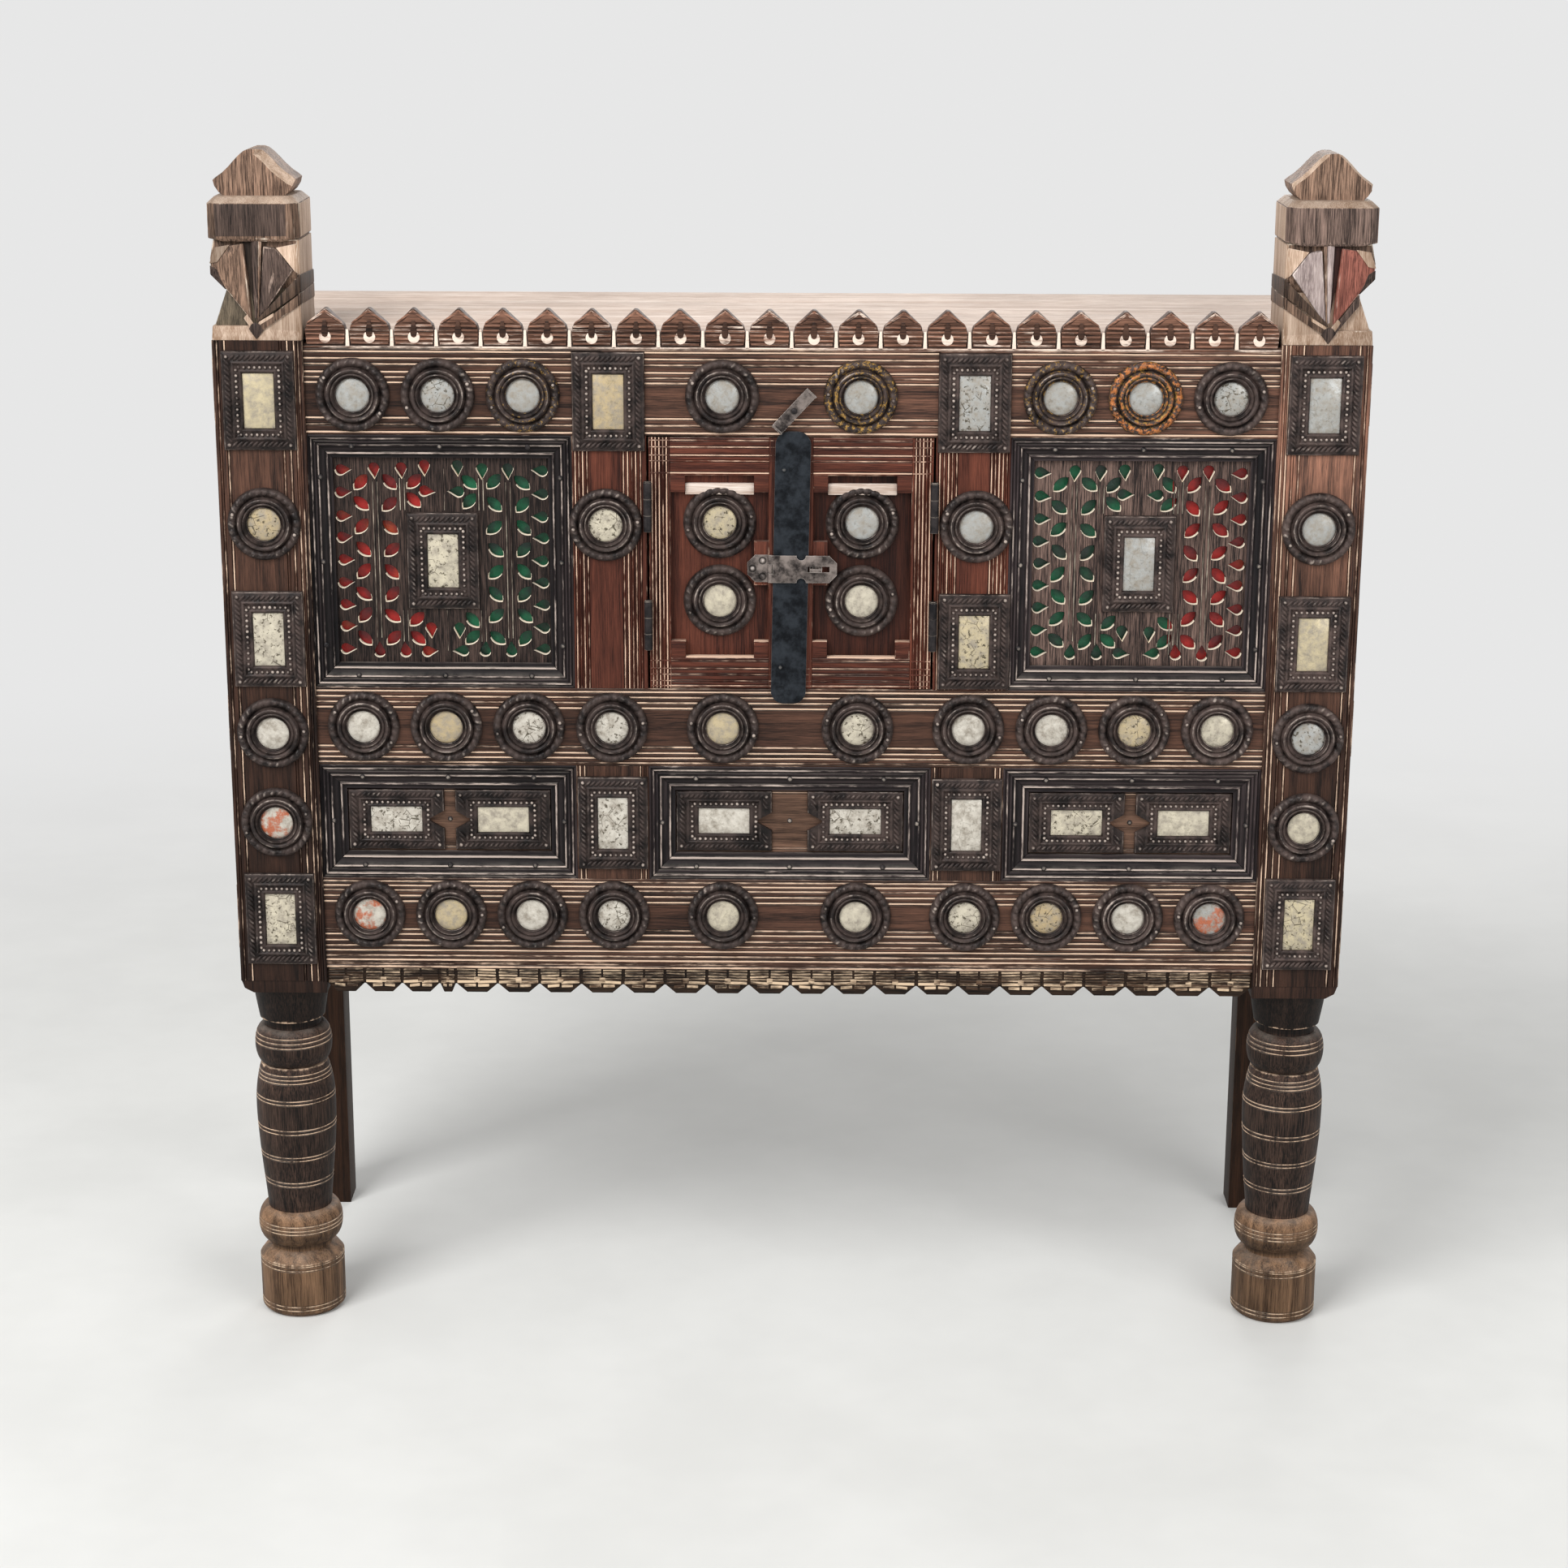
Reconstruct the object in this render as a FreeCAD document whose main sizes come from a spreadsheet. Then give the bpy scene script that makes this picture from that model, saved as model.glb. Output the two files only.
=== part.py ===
import FreeCAD, Part
import math
import os

import Sketcher
from FreeCAD import Placement, Rotation, Vector

# Dowry cabinet: a carved front frame between two turned posts, pierced and plain panels behind
# mitred mouldings, a pair of small doors with a hasp, and a plain boarded case behind it.
# Millimetres. +Z is up, the front looks along -Y, and the origin is under the middle of the case.

SIZES = [
    ("width", 1200, "over the two front posts"),
    ("depth", 372, "front of the front posts to the back of the rear posts"),
    ("post", 94, "side of a square front post"),
    ("post_rise", 8, "square post above the top rail"),
    ("apron_drop", 35, "scalloped board below the bottom rail"),
    ("bottom_rail_height", 97, "bottom rail"),
    ("lower_opening", 127, "height of the lower row of panels"),
    ("middle_rail_height", 86, "middle rail"),
    ("upper_opening", 271, "height of the doors and pierced panels"),
    ("top_rail_height", 90, "top rail"),
    ("door_opening", 303, "width of the opening for both doors"),
    ("muntin_width", 78, "upright between two openings"),
    ("face_setback", 4, "frame face behind the post face"),
    ("frame_thick", 34, "rails and muntins"),
    ("tenon_thick", 14, "tenon of a rail or muntin"),
    ("tenon_shoulder", 12, "shoulder above and below a tenon"),
    ("tenon_proud", 3, "through tenon beyond the outer side of its post"),
    ("stub", 20, "length of a muntin's stub tenon"),
    ("joint_gap", 0.15, "room round a tenon, tongue or panel edge"),
    ("past", 1, "a hole or mortise tool beyond the face that it opens"),
    ("crest_height", 41, "crest board to the tips of its teeth"),
    ("crest_valley", 17, "crest board to the notches between the teeth"),
    ("crest_teeth", 22, "pointed teeth along the crest"),
    ("crest_thick", 18, "crest and apron boards"),
    ("tongue", 8, "tongue of the crest and apron, thick and deep"),
    ("apron_notch", 10, "height of a notch in the apron's lower edge"),
    ("apron_flat", 22, "flat end of an apron tooth"),
    ("short_tooth", 41, "width of the first apron teeth on the left"),
    ("short_teeth", 3, "number of those"),
    ("odd_tooth", 18, "one narrow apron tooth beside them"),
    ("apron_teeth", 19, "even teeth along the rest of the apron"),
    ("panel_recess", 12, "panel face behind the frame face"),
    ("panel_thick", 9, "panels of the front"),
    ("groove", 8, "depth of the groove that holds a panel"),
    ("upper_moulding", 25, "width of a moulding round a pierced panel"),
    ("lower_moulding", 28, "width of a moulding round a lower panel"),
    ("moulding_edge", 5, "moulding's inner edge above the panel"),
    ("sheet_thick", 0.8, "coloured sheets behind the pierced panels"),
    ("left_split", 0, "seam of the left sheets, right of the panel's middle"),
    ("right_split", 34, "seam of the right sheets, right of the panel's middle"),
    ("leaf_pitch", 24, "height from one pierced leaf to the next"),
    ("leaf_rows", 9, "rows of pierced drops"),
    ("leaf_long", 17, "pierced leaf, tip to tip"),
    ("leaf_wide", 10.5, "pierced leaf across"),
    ("drop_column", 103, "outer column of drops from the panel's middle"),
    ("outer_column", 85, "outer leaves"),
    ("inner_column", 55, "inner leaves"),
    ("mid_column", 30, "leaves above and below the tin"),
    ("leaf_tilt", 45, "slope of a leaf, degrees"),
    ("rear_post_width", 60, "rear post across the cabinet"),
    ("rear_post_depth", 45, "rear post front to back"),
    ("side_rail_height", 76, "rails of the sides and back"),
    ("side_rail_thick", 24, "thickness of those"),
    ("side_inset", 6, "side rail behind the post's outer side"),
    ("rear_inset", 8, "rear rail in front of the rear posts' back"),
    ("side_stub", 30, "stub tenon of a side or rear rail"),
    ("side_tenon", 12, "thickness of that tenon"),
    ("case_board", 16, "top and floor boards"),
    ("wall_board", 10, "side and back boards"),
    ("board_gap", 0.5, "seam between boards"),
    ("side_board_count", 2, "boards in a side"),
    ("back_board_count", 5, "boards in the back"),
    ("deck_board_count", 3, "boards in the top, and in the floor"),
    ("roundel", 77, "diameter of a round tin"),
    ("roundel_height", 9.5, "round tin above the wood"),
    ("roundel_rim", 7, "rope rim of a round tin above the wood"),
    ("rim_width", 9, "rope rim across"),
    ("valley_height", 3.6, "groove between the rim and the inner ring"),
    ("round_mirror", 40, "diameter of a round mirror"),
    ("round_sight", 35, "diameter of it that shows"),
    ("mirror_thick", 2.2, "mirror glass"),
    ("tin_lip", 1.4, "tin over the edge of a mirror"),
    ("tin_short", 76, "upright tin, across"),
    ("tin_long", 104, "upright tin, height"),
    ("tin_sight_short", 32, "its mirror across, as it shows"),
    ("tin_sight_long", 57, "its mirror's height, as it shows"),
    ("flat_tin_short", 68, "lying tin, height"),
    ("flat_tin_long", 104, "lying tin, across"),
    ("flat_sight_short", 28, "its mirror's height, as it shows"),
    ("flat_sight_long", 55, "its mirror across, as it shows"),
    ("tin_height", 6, "rectangular tin above the wood"),
    ("tin_bevel", 4, "slope round a rectangular tin"),
    ("mirror_lap", 2.5, "mirror behind the edge of its tin"),
    ("roundel_pitch", 88.5, "round tins along a rail"),
    ("centre_pair", 72, "middle round tins from the centre line"),
    ("tin_clear", 0.5, "lying tins inside the moulding round them"),
    ("hinge_clear", 4, "tins on an upper muntin moved away from the hinges"),
    ("top_row", 42, "round tins above the lower edge of the top rail"),
    ("bottom_row", 56, "round tins above the lower edge of the bottom rail"),
    ("muntin_roundel", 177, "round tin above the middle rail"),
    ("upper_tin", 36, "upright tins above the lower edge of the top rail"),
    ("middle_tin", 53, "upright tins above the middle rail"),
    ("lower_tin", 51, "upright tins above the lower edge of the bottom rail"),
    ("post_roundel_mid", 36, "round tin above the lower edge of the middle rail"),
    ("nail_head", 6, "diameter of a moulding nail's head"),
    ("nail_shank", 2, "diameter of its shank"),
    ("nail_length", 9, "length of its shank"),
    ("nail_dome", 1.8, "height of its head"),
    ("nail_count", 3, "nails in a level moulding strip"),
    ("upper_nail_count", 3, "nails in an upright strip of a pierced panel's moulding"),
    ("lower_nail_count", 1, "nails in an upright strip of a lower panel's moulding"),
    ("leaf_gap", 1, "door above and below"),
    ("hinge_gap", 2.4, "door beside the muntin, filled by the hinge leaves"),
    ("leaf_thick", 26, "door thickness"),
    ("left_proud", 0.5, "left door before the frame face"),
    ("door_stile", 22.5, "stile of a door"),
    ("door_top_rail", 40, "top rail of a door"),
    ("door_bottom_rail", 33, "bottom rail of a door"),
    ("door_step_wide", 15.5, "corner step of the recess, across"),
    ("door_step_high", 18, "corner step of the recess, height"),
    ("door_recess", 9, "door panel behind the door face"),
    ("door_panel", 8, "door panel"),
    ("door_groove", 5, "groove for the door panel"),
    ("door_stub", 14, "stub tenon of a door rail"),
    ("door_tenon", 8, "thickness of that tenon"),
    ("door_shoulder", 6, "shoulder of that tenon"),
    ("lock_block_low", 112, "block under the hasp, above the door's foot"),
    ("lock_block_high", 47, "height of that block"),
    ("meeting_gap", 1.6, "between the two doors"),
    ("meeting_bevel", 4.2, "bevel of the meeting edges, at the back"),
    ("door_roundel_low", 94, "lower round tin above the door's foot"),
    ("door_roundel_high", 178, "upper round tin above the door's foot"),
    ("hinge_length", 52, "butt hinge"),
    ("knuckle", 9, "diameter of a hinge knuckle"),
    ("hinge_pin", 4, "diameter of a hinge pin"),
    ("pin_gap", 0.05, "room round a pin"),
    ("pin_head", 1.5, "head of a pin above the knuckle"),
    ("hinge_leaf", 1.1, "thickness of a hinge leaf"),
    ("hinge_leaf_depth", 20, "hinge leaf behind its knuckle"),
    ("axis_forward", 5.2, "hinge axis before the frame face"),
    ("knuckle_gap", 0.4, "between knuckles"),
    ("low_hinge", 70, "middle of the lower hinges above the opening's sill"),
    ("high_hinge", 197, "middle of the upper hinges above the opening's sill"),
    ("strip_width", 37, "cover strip on the left door"),
    ("strip_thick", 3.5, "cover strip"),
    ("strip_below", 15, "cover strip below the opening"),
    ("strip_above", 6, "cover strip above the opening"),
    ("strip_round", 14, "rounded corners of the strip"),
    ("strip_lean", 0.9, "lean of the strip to the right, degrees"),
    ("strip_nail_head", 7, "diameter of a nail in the strip"),
    ("strip_nail_side", 9, "nails left of the strip's middle"),
    ("strip_nail_end", 40, "nails from the ends of the strip"),
    ("hasp_height", 29, "hasp strap and plate"),
    ("hasp_middle", 130.5, "middle of the hasp above the door's foot"),
    ("hasp_sheet", 1.5, "plate and strap"),
    ("hasp_pin_x", 21.5, "hasp pin left of the centre line"),
    ("hasp_reach", 70, "strap from its pin to its end"),
    ("hasp_plate_long", 24, "plate from the pin to its end"),
    ("hasp_clip", 8, "clipped corners of the plate and strap"),
    ("hasp_knuckle", 5.2, "diameter of the hasp's knuckles"),
    ("hasp_pin", 2.5, "diameter of the hasp's pin"),
    ("hasp_axis", 3.2, "hasp pin before the left door's face"),
    ("hasp_notch", 5, "radius of the notches in the strap"),
    ("hasp_notch_at", 32.5, "notches from the pin"),
    ("slot_start", 39, "slot from the pin"),
    ("slot_long", 23.5, "length of the slot"),
    ("slot_high", 6.4, "height of the slot"),
    ("screw_head", 6, "diameter of a hasp screw"),
    ("screw_high", 1.2, "height of its head"),
    ("screw_length", 12, "length of its shank"),
    ("screw_shank", 2.6, "diameter of its shank"),
    ("staple_x", 26.5, "middle of the staple right of the centre line"),
    ("staple_wide", 12.5, "staple over its legs"),
    ("staple_wire", 3.2, "thickness of the staple"),
    ("staple_height", 14.2, "staple before the right door's face"),
    ("staple_plate", 1.5, "plate under the staple"),
    ("staple_plate_wide", 13, "width of that plate"),
    ("staple_plate_high", 24, "height of that plate"),
    ("button_x", 3, "turn button right of the centre line"),
    ("button_z", 28, "turn button above the lower edge of the top rail"),
    ("button_long", 54, "turn button"),
    ("button_wide", 13, "turn button across"),
    ("button_thick", 1.6, "turn button's plate"),
    ("button_flange", 5, "turned-up ends of the button"),
    ("button_clear", 0.9, "button before the cover strip"),
    ("button_slope", 47, "slope of the button at rest, degrees"),
    ("button_screw", 5, "diameter of its screw"),
    ("button_head", 10, "diameter of that screw's head"),
    ("button_head_high", 2.5, "height of that head"),
    ("button_collar", 10, "diameter of the collar behind the button"),
    ("button_bite", 20, "screw in the rail"),
    ("drum_height", 40, "turned drum under the square post"),
    ("collar_height", 10, "neck under the drum"),
    ("upper_ring", 44, "upper ring of the leg"),
    ("vase_height", 172, "vase of the leg"),
    ("lower_ring", 40, "lower ring of the leg"),
    ("ankle_height", 8, "neck over the foot"),
    ("foot_height", 76, "foot"),
    ("drum_top", 85, "drum diameter at the post"),
    ("drum_foot", 72, "drum diameter below"),
    ("collar", 63, "neck diameter"),
    ("ring_seat", 66, "upper ring's diameter at its edges"),
    ("ring_bulge", 9.5, "bulge of a ring"),
    ("vase_top", 74, "vase diameter at its top"),
    ("vase_belly", 88, "vase diameter at its belly"),
    ("belly_drop", 46, "belly below the top of the vase"),
    ("vase_foot", 71, "vase diameter at its foot"),
    ("lower_seat", 75, "lower ring's diameter at its edges"),
    ("ankle", 68, "neck diameter over the foot"),
    ("foot", 94, "foot diameter"),
    ("foot_round", 5, "eased edges of the foot"),
    ("finial_base", 46, "flared base of the finial"),
    ("finial_bust", 28, "flare above the waist"),
    ("finial_brow", 27, "upright part above that"),
    ("finial_block", 45, "block of the finial with its bevel"),
    ("block_bevel", 11, "bevel round the top of that block"),
    ("finial_leaf", 47, "pointed leaf on top"),
    ("waist", 60, "waist of the finial"),
    ("finial_foot", 88, "foot of the finial"),
    ("bust", 92, "widest part of the bust"),
    ("brow", 86, "bust under the block"),
    ("block_top", 76, "top of the block"),
    ("shield_side", 36, "upright sides of the shield on the bust's front"),
    ("shield_tip", 10, "foot of that shield"),
    ("leaf_span", 82, "pointed leaf across its side points"),
    ("leaf_seat", 60, "foot of the pointed leaf"),
    ("leaf_tip", 16, "flat tip of the pointed leaf"),
    ("leaf_rise", 16, "side points above the foot of the leaf"),
    ("leaf_depth", 58, "pointed leaf front to back"),
    ("leaf_hollow", 3, "hollow of its upper edges"),
]

doc = FreeCAD.newDocument("dowry_cabinet")
sheet = doc.addObject("Spreadsheet::Sheet", "Sizes")
for row, (alias, value, note) in enumerate(SIZES, start=1):
    sheet.set(f"A{row}", note)
    sheet.set(f"B{row}", str(value))
    sheet.setAlias(f"B{row}", alias)
doc.recompute()


class Size:
    """A length with its number and the sheet cells that it is worked out from."""

    def __init__(self, value, text):
        self.value = value
        self.text = text

    def __add__(self, other):
        other = as_size(other)
        return Size(self.value + other.value, f"({self.text} + {other.text})")

    def __sub__(self, other):
        other = as_size(other)
        return Size(self.value - other.value, f"({self.text} - {other.text})")

    def __mul__(self, other):
        other = as_size(other)
        return Size(self.value * other.value, f"({self.text} * {other.text})")

    def __truediv__(self, other):
        other = as_size(other)
        return Size(self.value / other.value, f"({self.text} / {other.text})")

    def __neg__(self):
        return Size(-self.value, f"(0 - {self.text})")


def as_size(item):
    """A plain number as a size."""
    return item if isinstance(item, Size) else Size(float(item), f"({float(item)})")


class Cells:
    """Every cell of the sheet as a size with the cell's alias for its name."""

    def __init__(self):
        for alias, _, _ in SIZES:
            setattr(self, alias, Size(float(sheet.get(alias)), f"Sizes.{alias}"))


s = Cells()
ZERO = as_size(0)
SIDES = (("left", -1), ("right", 1))
NODES = []

UPRIGHT = Rotation(Vector(1, 0, 0), 90)
FORWARD = Vector(0, -1, 0)


# How a piece is bound to the sheet, placed, cut and joined

def bind(item, prop, size):
    """Bind one property of an object to the sheet."""
    item.setExpression(prop, as_size(size).text)


def place(item, x, y, z, rotation=None):
    """Put an object at a point given in sizes, turned by a fixed rotation."""
    item.Placement = Placement(Vector(0, 0, 0), rotation or Rotation())
    bind(item, "Placement.Base.x", x)
    bind(item, "Placement.Base.y", y)
    bind(item, "Placement.Base.z", z)
    return item


def box(name, x, y, z):
    """A block between a low and a high size on each axis."""
    item = doc.addObject("Part::Box", name)
    for prop, (low, high) in (("Length", x), ("Width", y), ("Height", z)):
        bind(item, prop, as_size(high) - low)
    return place(item, x[0], y[0], z[0])


def cylinder(name, diameter, length, x, y, z, rotation=None):
    """A round bar that starts at a point and runs along +Z, or along the turned axis."""
    item = doc.addObject("Part::Cylinder", name)
    bind(item, "Radius", as_size(diameter) / 2)
    bind(item, "Height", length)
    return place(item, x, y, z, rotation)


def frustum(name, x, y, z, foot, top):
    """A tapered block standing on z, with (across, deep) sizes at its foot and top."""
    item = doc.addObject("Part::Wedge", name)
    for low, high, size in (("Xmin", "Xmax", foot[0]), ("Zmin", "Zmax", foot[1]),
                            ("X2min", "X2max", top[0]), ("Z2min", "Z2max", top[1])):
        bind(item, high, as_size(size) / 2)
        bind(item, low, as_size(size) / -2)
    item.Ymin = 0
    bind(item, "Ymax", as_size(z[1]) - z[0])
    return place(item, x, y, z[0], UPRIGHT)


def fuse(name, pieces):
    """Several solids joined into one."""
    item = doc.addObject("Part::MultiFuse", name)
    item.Shapes = pieces
    return item


def cut(name, base, tools):
    """A solid with tools cut out of it."""
    item = doc.addObject("Part::Cut", name)
    item.Base = base
    item.Tool = tools[0] if len(tools) == 1 else fuse(name + "_tools", tools)
    return item


def group(name, pieces):
    """Separate solids that share a node."""
    item = doc.addObject("Part::Compound", name)
    item.Links = pieces
    return item


def copy_of(master, x, y, z, rotation=None):
    """The same piece again at another place."""
    item = doc.addObject("App::Link", master.Name + "_copy")
    item.LinkedObject = master
    item.LinkTransform = True
    return place(item, x, y, z, rotation)


def node(name, item):
    """Name an object as a piece of the cabinet."""
    item.Label = name
    NODES.append(item)
    return item


def across(side, near, far):
    """A span given from the centre line outwards, on the left (-1) or right (1) side."""
    return (near, far) if side > 0 else (-far, -near)


def grown(span, by):
    """A span made longer at both ends."""
    return (as_size(span[0]) - by, as_size(span[1]) + by)


def outline(name, points):
    """A closed sketch in X and Z. A point's third size bulges the edge that follows it into an arc."""
    sketch = doc.addObject("Sketcher::SketchObject", name)
    ends = []
    for i, point in enumerate(points):
        after = points[(i + 1) % len(points)]
        start = Vector(as_size(point[0]).value, as_size(point[1]).value, 0)
        stop = Vector(as_size(after[0]).value, as_size(after[1]).value, 0)
        if len(point) == 2:
            edge = sketch.addGeometry(Part.LineSegment(start, stop), False)
            ends.append(((edge, 1), (edge, 2)))
        else:
            ends.append(bulged(sketch, start, stop, as_size(point[2]).value))
    for i, point in enumerate(points):
        (edge, spot), previous = ends[i][0], ends[i - 1][1]
        sketch.addConstraint(Sketcher.Constraint("Coincident", previous[0], previous[1], edge, spot))
        for kind, size in (("DistanceX", as_size(point[0])), ("DistanceY", as_size(point[1]))):
            index = sketch.addConstraint(Sketcher.Constraint(kind, edge, spot, size.value))
            sketch.setExpression(f"Constraints[{index}]", size.text)
        if len(point) == 3:
            after = points[(i + 1) % len(points)]
            radius = arc_radius(point, after)
            index = sketch.addConstraint(Sketcher.Constraint("Radius", edge, radius.value))
            sketch.setExpression(f"Constraints[{index}]", radius.text)
    sketch.Placement = Placement(Vector(0, 0, 0), UPRIGHT)
    return sketch


def arc_radius(point, after):
    """Radius of the arc that stands a given height off the line between two points."""
    wide = as_size(after[0]) - point[0]
    high = as_size(after[1]) - point[1]
    rise = as_size(point[2])
    if rise.value < 0:
        rise = -rise
    return ((wide * wide + high * high) / 4 + rise * rise) / (rise * 2)


def bulged(sketch, start, stop, rise):
    """An arc from start to stop, standing off to the left of that line for a positive rise."""
    chord = stop - start
    left = Vector(-chord.y, chord.x, 0).normalize()
    radius = ((chord.Length / 2) ** 2 + rise ** 2) / (2 * abs(rise))
    centre = (start + stop) / 2 + left * (rise - math.copysign(radius, rise))
    first, last = (stop, start) if rise > 0 else (start, stop)
    turn = [math.atan2(end.y - centre.y, end.x - centre.x) for end in (first, last)]
    if turn[1] < turn[0]:
        turn[1] += 2 * math.pi
    circle = Part.Circle(centre, Vector(0, 0, 1), radius)
    edge = sketch.addGeometry(Part.ArcOfCircle(circle, turn[0], turn[1]), False)
    return ((edge, 2), (edge, 1)) if rise > 0 else ((edge, 1), (edge, 2))


def slab(name, points, y):
    """An outline in X and Z given a thickness from front to back."""
    sketch = outline(name + "_outline", points)
    bind(sketch, "Placement.Base.y", y[1])
    item = doc.addObject("Part::Extrusion", name)
    item.Base = sketch
    item.DirMode = "Custom"
    item.Dir = FORWARD
    item.Solid = True
    bind(item, "LengthFwd", as_size(y[1]) - y[0])
    return item


def turned(name, points):
    """A profile of radius and height turned about the vertical axis through the origin."""
    item = doc.addObject("Part::Revolution", name)
    item.Source = outline(name + "_profile", points)
    item.Axis = Vector(0, 0, 1)
    item.Angle = 360
    item.Solid = True
    return item


# Levels and planes that the pieces share

reach = s.staple_height - s.face_setback
front = (reach - s.depth) / 2
back = front + s.depth
face = front + s.face_setback
frame_back = face + s.frame_thick
panel_face = face + s.panel_recess
panel_back = panel_face + s.panel_thick
post_back = front + s.post
rear_front = back - s.rear_post_depth

leg_height = (s.drum_height + s.collar_height + s.upper_ring + s.vase_height + s.lower_ring
              + s.ankle_height + s.foot_height)
apron_foot = leg_height
bottom_low = apron_foot + s.apron_drop
bottom_high = bottom_low + s.bottom_rail_height
middle_low = bottom_high + s.lower_opening
middle_high = middle_low + s.middle_rail_height
top_low = middle_high + s.upper_opening
top_high = top_low + s.top_rail_height
post_top = top_high + s.post_rise

half = s.width / 2
inner = half - s.post
post_x = half - s.post / 2
door_half = s.door_opening / 2
muntin_out = door_half + s.muntin_width
muntin_x = door_half + s.muntin_width / 2
bay_x = (inner + muntin_out) / 2

tenon_y = (face + (s.frame_thick - s.tenon_thick) / 2, face + (s.frame_thick + s.tenon_thick) / 2)
floor_top = bottom_high
side_low = (floor_top - s.case_board - s.side_rail_height, floor_top - s.case_board)
side_high = (top_high - s.side_rail_height, top_high)
side_x = (half - s.side_inset - s.side_rail_thick, half - s.side_inset)
side_mid = half - s.side_inset - s.side_rail_thick / 2
wall_x = (side_mid - s.wall_board / 2, side_mid + s.wall_board / 2)
rear_y = (back - s.rear_inset - s.side_rail_thick, back - s.rear_inset)
rear_in = half - s.rear_post_width
lining_y = (rear_y[0] - s.wall_board, rear_y[0])


def panel_spans():
    """Each panel's name with its opening in X and Z."""
    spans = {}
    for label, side in SIDES:
        spans[label + "_upper"] = (across(side, muntin_out, inner), (middle_high, top_low))
        spans[label + "_lower"] = (across(side, muntin_out, inner), (bottom_high, middle_low))
    spans["centre_lower"] = ((-door_half, door_half), (bottom_high, middle_low))
    return spans


PANELS = panel_spans()


def panel_groove(label):
    """The room that a panel takes in the edges of the frame round it."""
    span_x, span_z = PANELS[label]
    return box(label + "_groove", grown(span_x, s.groove + s.joint_gap),
               (panel_face - s.joint_gap, panel_back + s.joint_gap),
               grown(span_z, s.groove + s.joint_gap))


GROOVES = {label: panel_groove(label) for label in PANELS}


# Front posts: square post, turned leg and carved finial in one timber

def leg_profile():
    """Radius and height of the turned leg, from the floor up."""
    ankle_z = s.foot_height
    ring_z = ankle_z + s.ankle_height
    vase_z = ring_z + s.lower_ring
    upper_z = vase_z + s.vase_height
    belly_z = upper_z - s.belly_drop
    collar_z = upper_z + s.upper_ring
    drum_z = collar_z + s.collar_height
    return [
        (ZERO, ZERO),
        (s.foot / 2 - s.foot_round, ZERO),
        (s.foot / 2, s.foot_round),
        (s.foot / 2, ankle_z - s.foot_round),
        (s.foot / 2 - s.foot_round, ankle_z),
        (s.ankle / 2, ankle_z),
        (s.ankle / 2, ring_z),
        (s.lower_seat / 2, ring_z, -s.ring_bulge),
        (s.lower_seat / 2, vase_z),
        (s.vase_foot / 2, vase_z),
        (s.vase_belly / 2, belly_z),
        (s.vase_top / 2, upper_z),
        (s.ring_seat / 2, upper_z, -s.ring_bulge),
        (s.ring_seat / 2, collar_z),
        (s.collar / 2, collar_z),
        (s.collar / 2, drum_z),
        (s.drum_foot / 2, drum_z),
        (s.drum_top / 2, leg_height),
        (ZERO, leg_height),
    ]


def finial(label, x, y):
    """Flared base, waist, bust with a shield on its front, block and pointed leaf over a front post."""
    base_z = post_top + s.finial_base
    bust_z = base_z + s.finial_bust
    brow_z = bust_z + s.finial_brow
    bevel_z = brow_z + s.finial_block - s.block_bevel
    block_z = brow_z + s.finial_block
    tip_z = block_z + s.finial_leaf
    square = {key: (size, size) for key, size in (
        ("foot", s.finial_foot), ("waist", s.waist), ("bust", s.bust), ("brow", s.brow),
        ("post", s.post), ("top", s.block_top))}
    stages = [
        ("base", (post_top, base_z), "foot", "waist"),
        ("bust", (base_z, bust_z), "waist", "bust"),
        ("brow", (bust_z, brow_z), "bust", "brow"),
        ("block", (brow_z, bevel_z), "post", "post"),
        ("bevel", (bevel_z, block_z), "post", "top"),
    ]
    pieces = [frustum(f"{label}_finial_{key}", x, y, z, square[foot], square[top])
              for key, z, foot, top in stages]
    side_z = block_z + s.leaf_rise
    leaf = slab(f"{label}_finial_leaf", [
        (x - s.leaf_seat / 2, block_z),
        (x + s.leaf_seat / 2, block_z),
        (x + s.leaf_span / 2, side_z, s.leaf_hollow),
        (x + s.leaf_tip / 2, tip_z),
        (x - s.leaf_tip / 2, tip_z, s.leaf_hollow),
        (x - s.leaf_span / 2, side_z),
    ], (y - s.leaf_depth / 2, y + s.leaf_depth / 2))
    shield = slab(f"{label}_finial_shield", [
        (x - s.brow / 2, brow_z),
        (x - s.brow / 2, brow_z - s.shield_side),
        (x - s.shield_tip / 2, post_top),
        (x + s.shield_tip / 2, post_top),
        (x + s.brow / 2, brow_z - s.shield_side),
        (x + s.brow / 2, brow_z),
    ], (y - s.brow / 2, y))
    return pieces + [leaf, shield]


LEG = turned("leg", leg_profile())
RAIL_SPANS = {"bottom": (bottom_low, bottom_high), "middle": (middle_low, middle_high),
              "top": (top_low, top_high)}


def wall_groove(label, side):
    """The room that the side boards take in the posts and side rails."""
    return box(label + "_wall_groove", across(side, wall_x[0] - s.joint_gap, wall_x[1] + s.joint_gap),
               (post_back - s.groove - s.joint_gap, rear_front + s.groove + s.joint_gap),
               (side_low[1] - s.groove - s.joint_gap, side_high[0] + s.groove + s.joint_gap))


def side_mortises(label, side, y):
    """Room for the two side rails' stub tenons in a post."""
    span_x = across(side, side_mid - s.side_tenon / 2 - s.joint_gap,
                    side_mid + s.side_tenon / 2 + s.joint_gap)
    return [box(f"{label}_side_mortise", span_x, grown(y, s.joint_gap),
                (z[0] + s.tenon_shoulder - s.joint_gap, z[1] - s.tenon_shoulder + s.joint_gap))
            for z in (side_low, side_high)]


WALL_GROOVES = {label: wall_groove(label, side) for label, side in SIDES}

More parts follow.
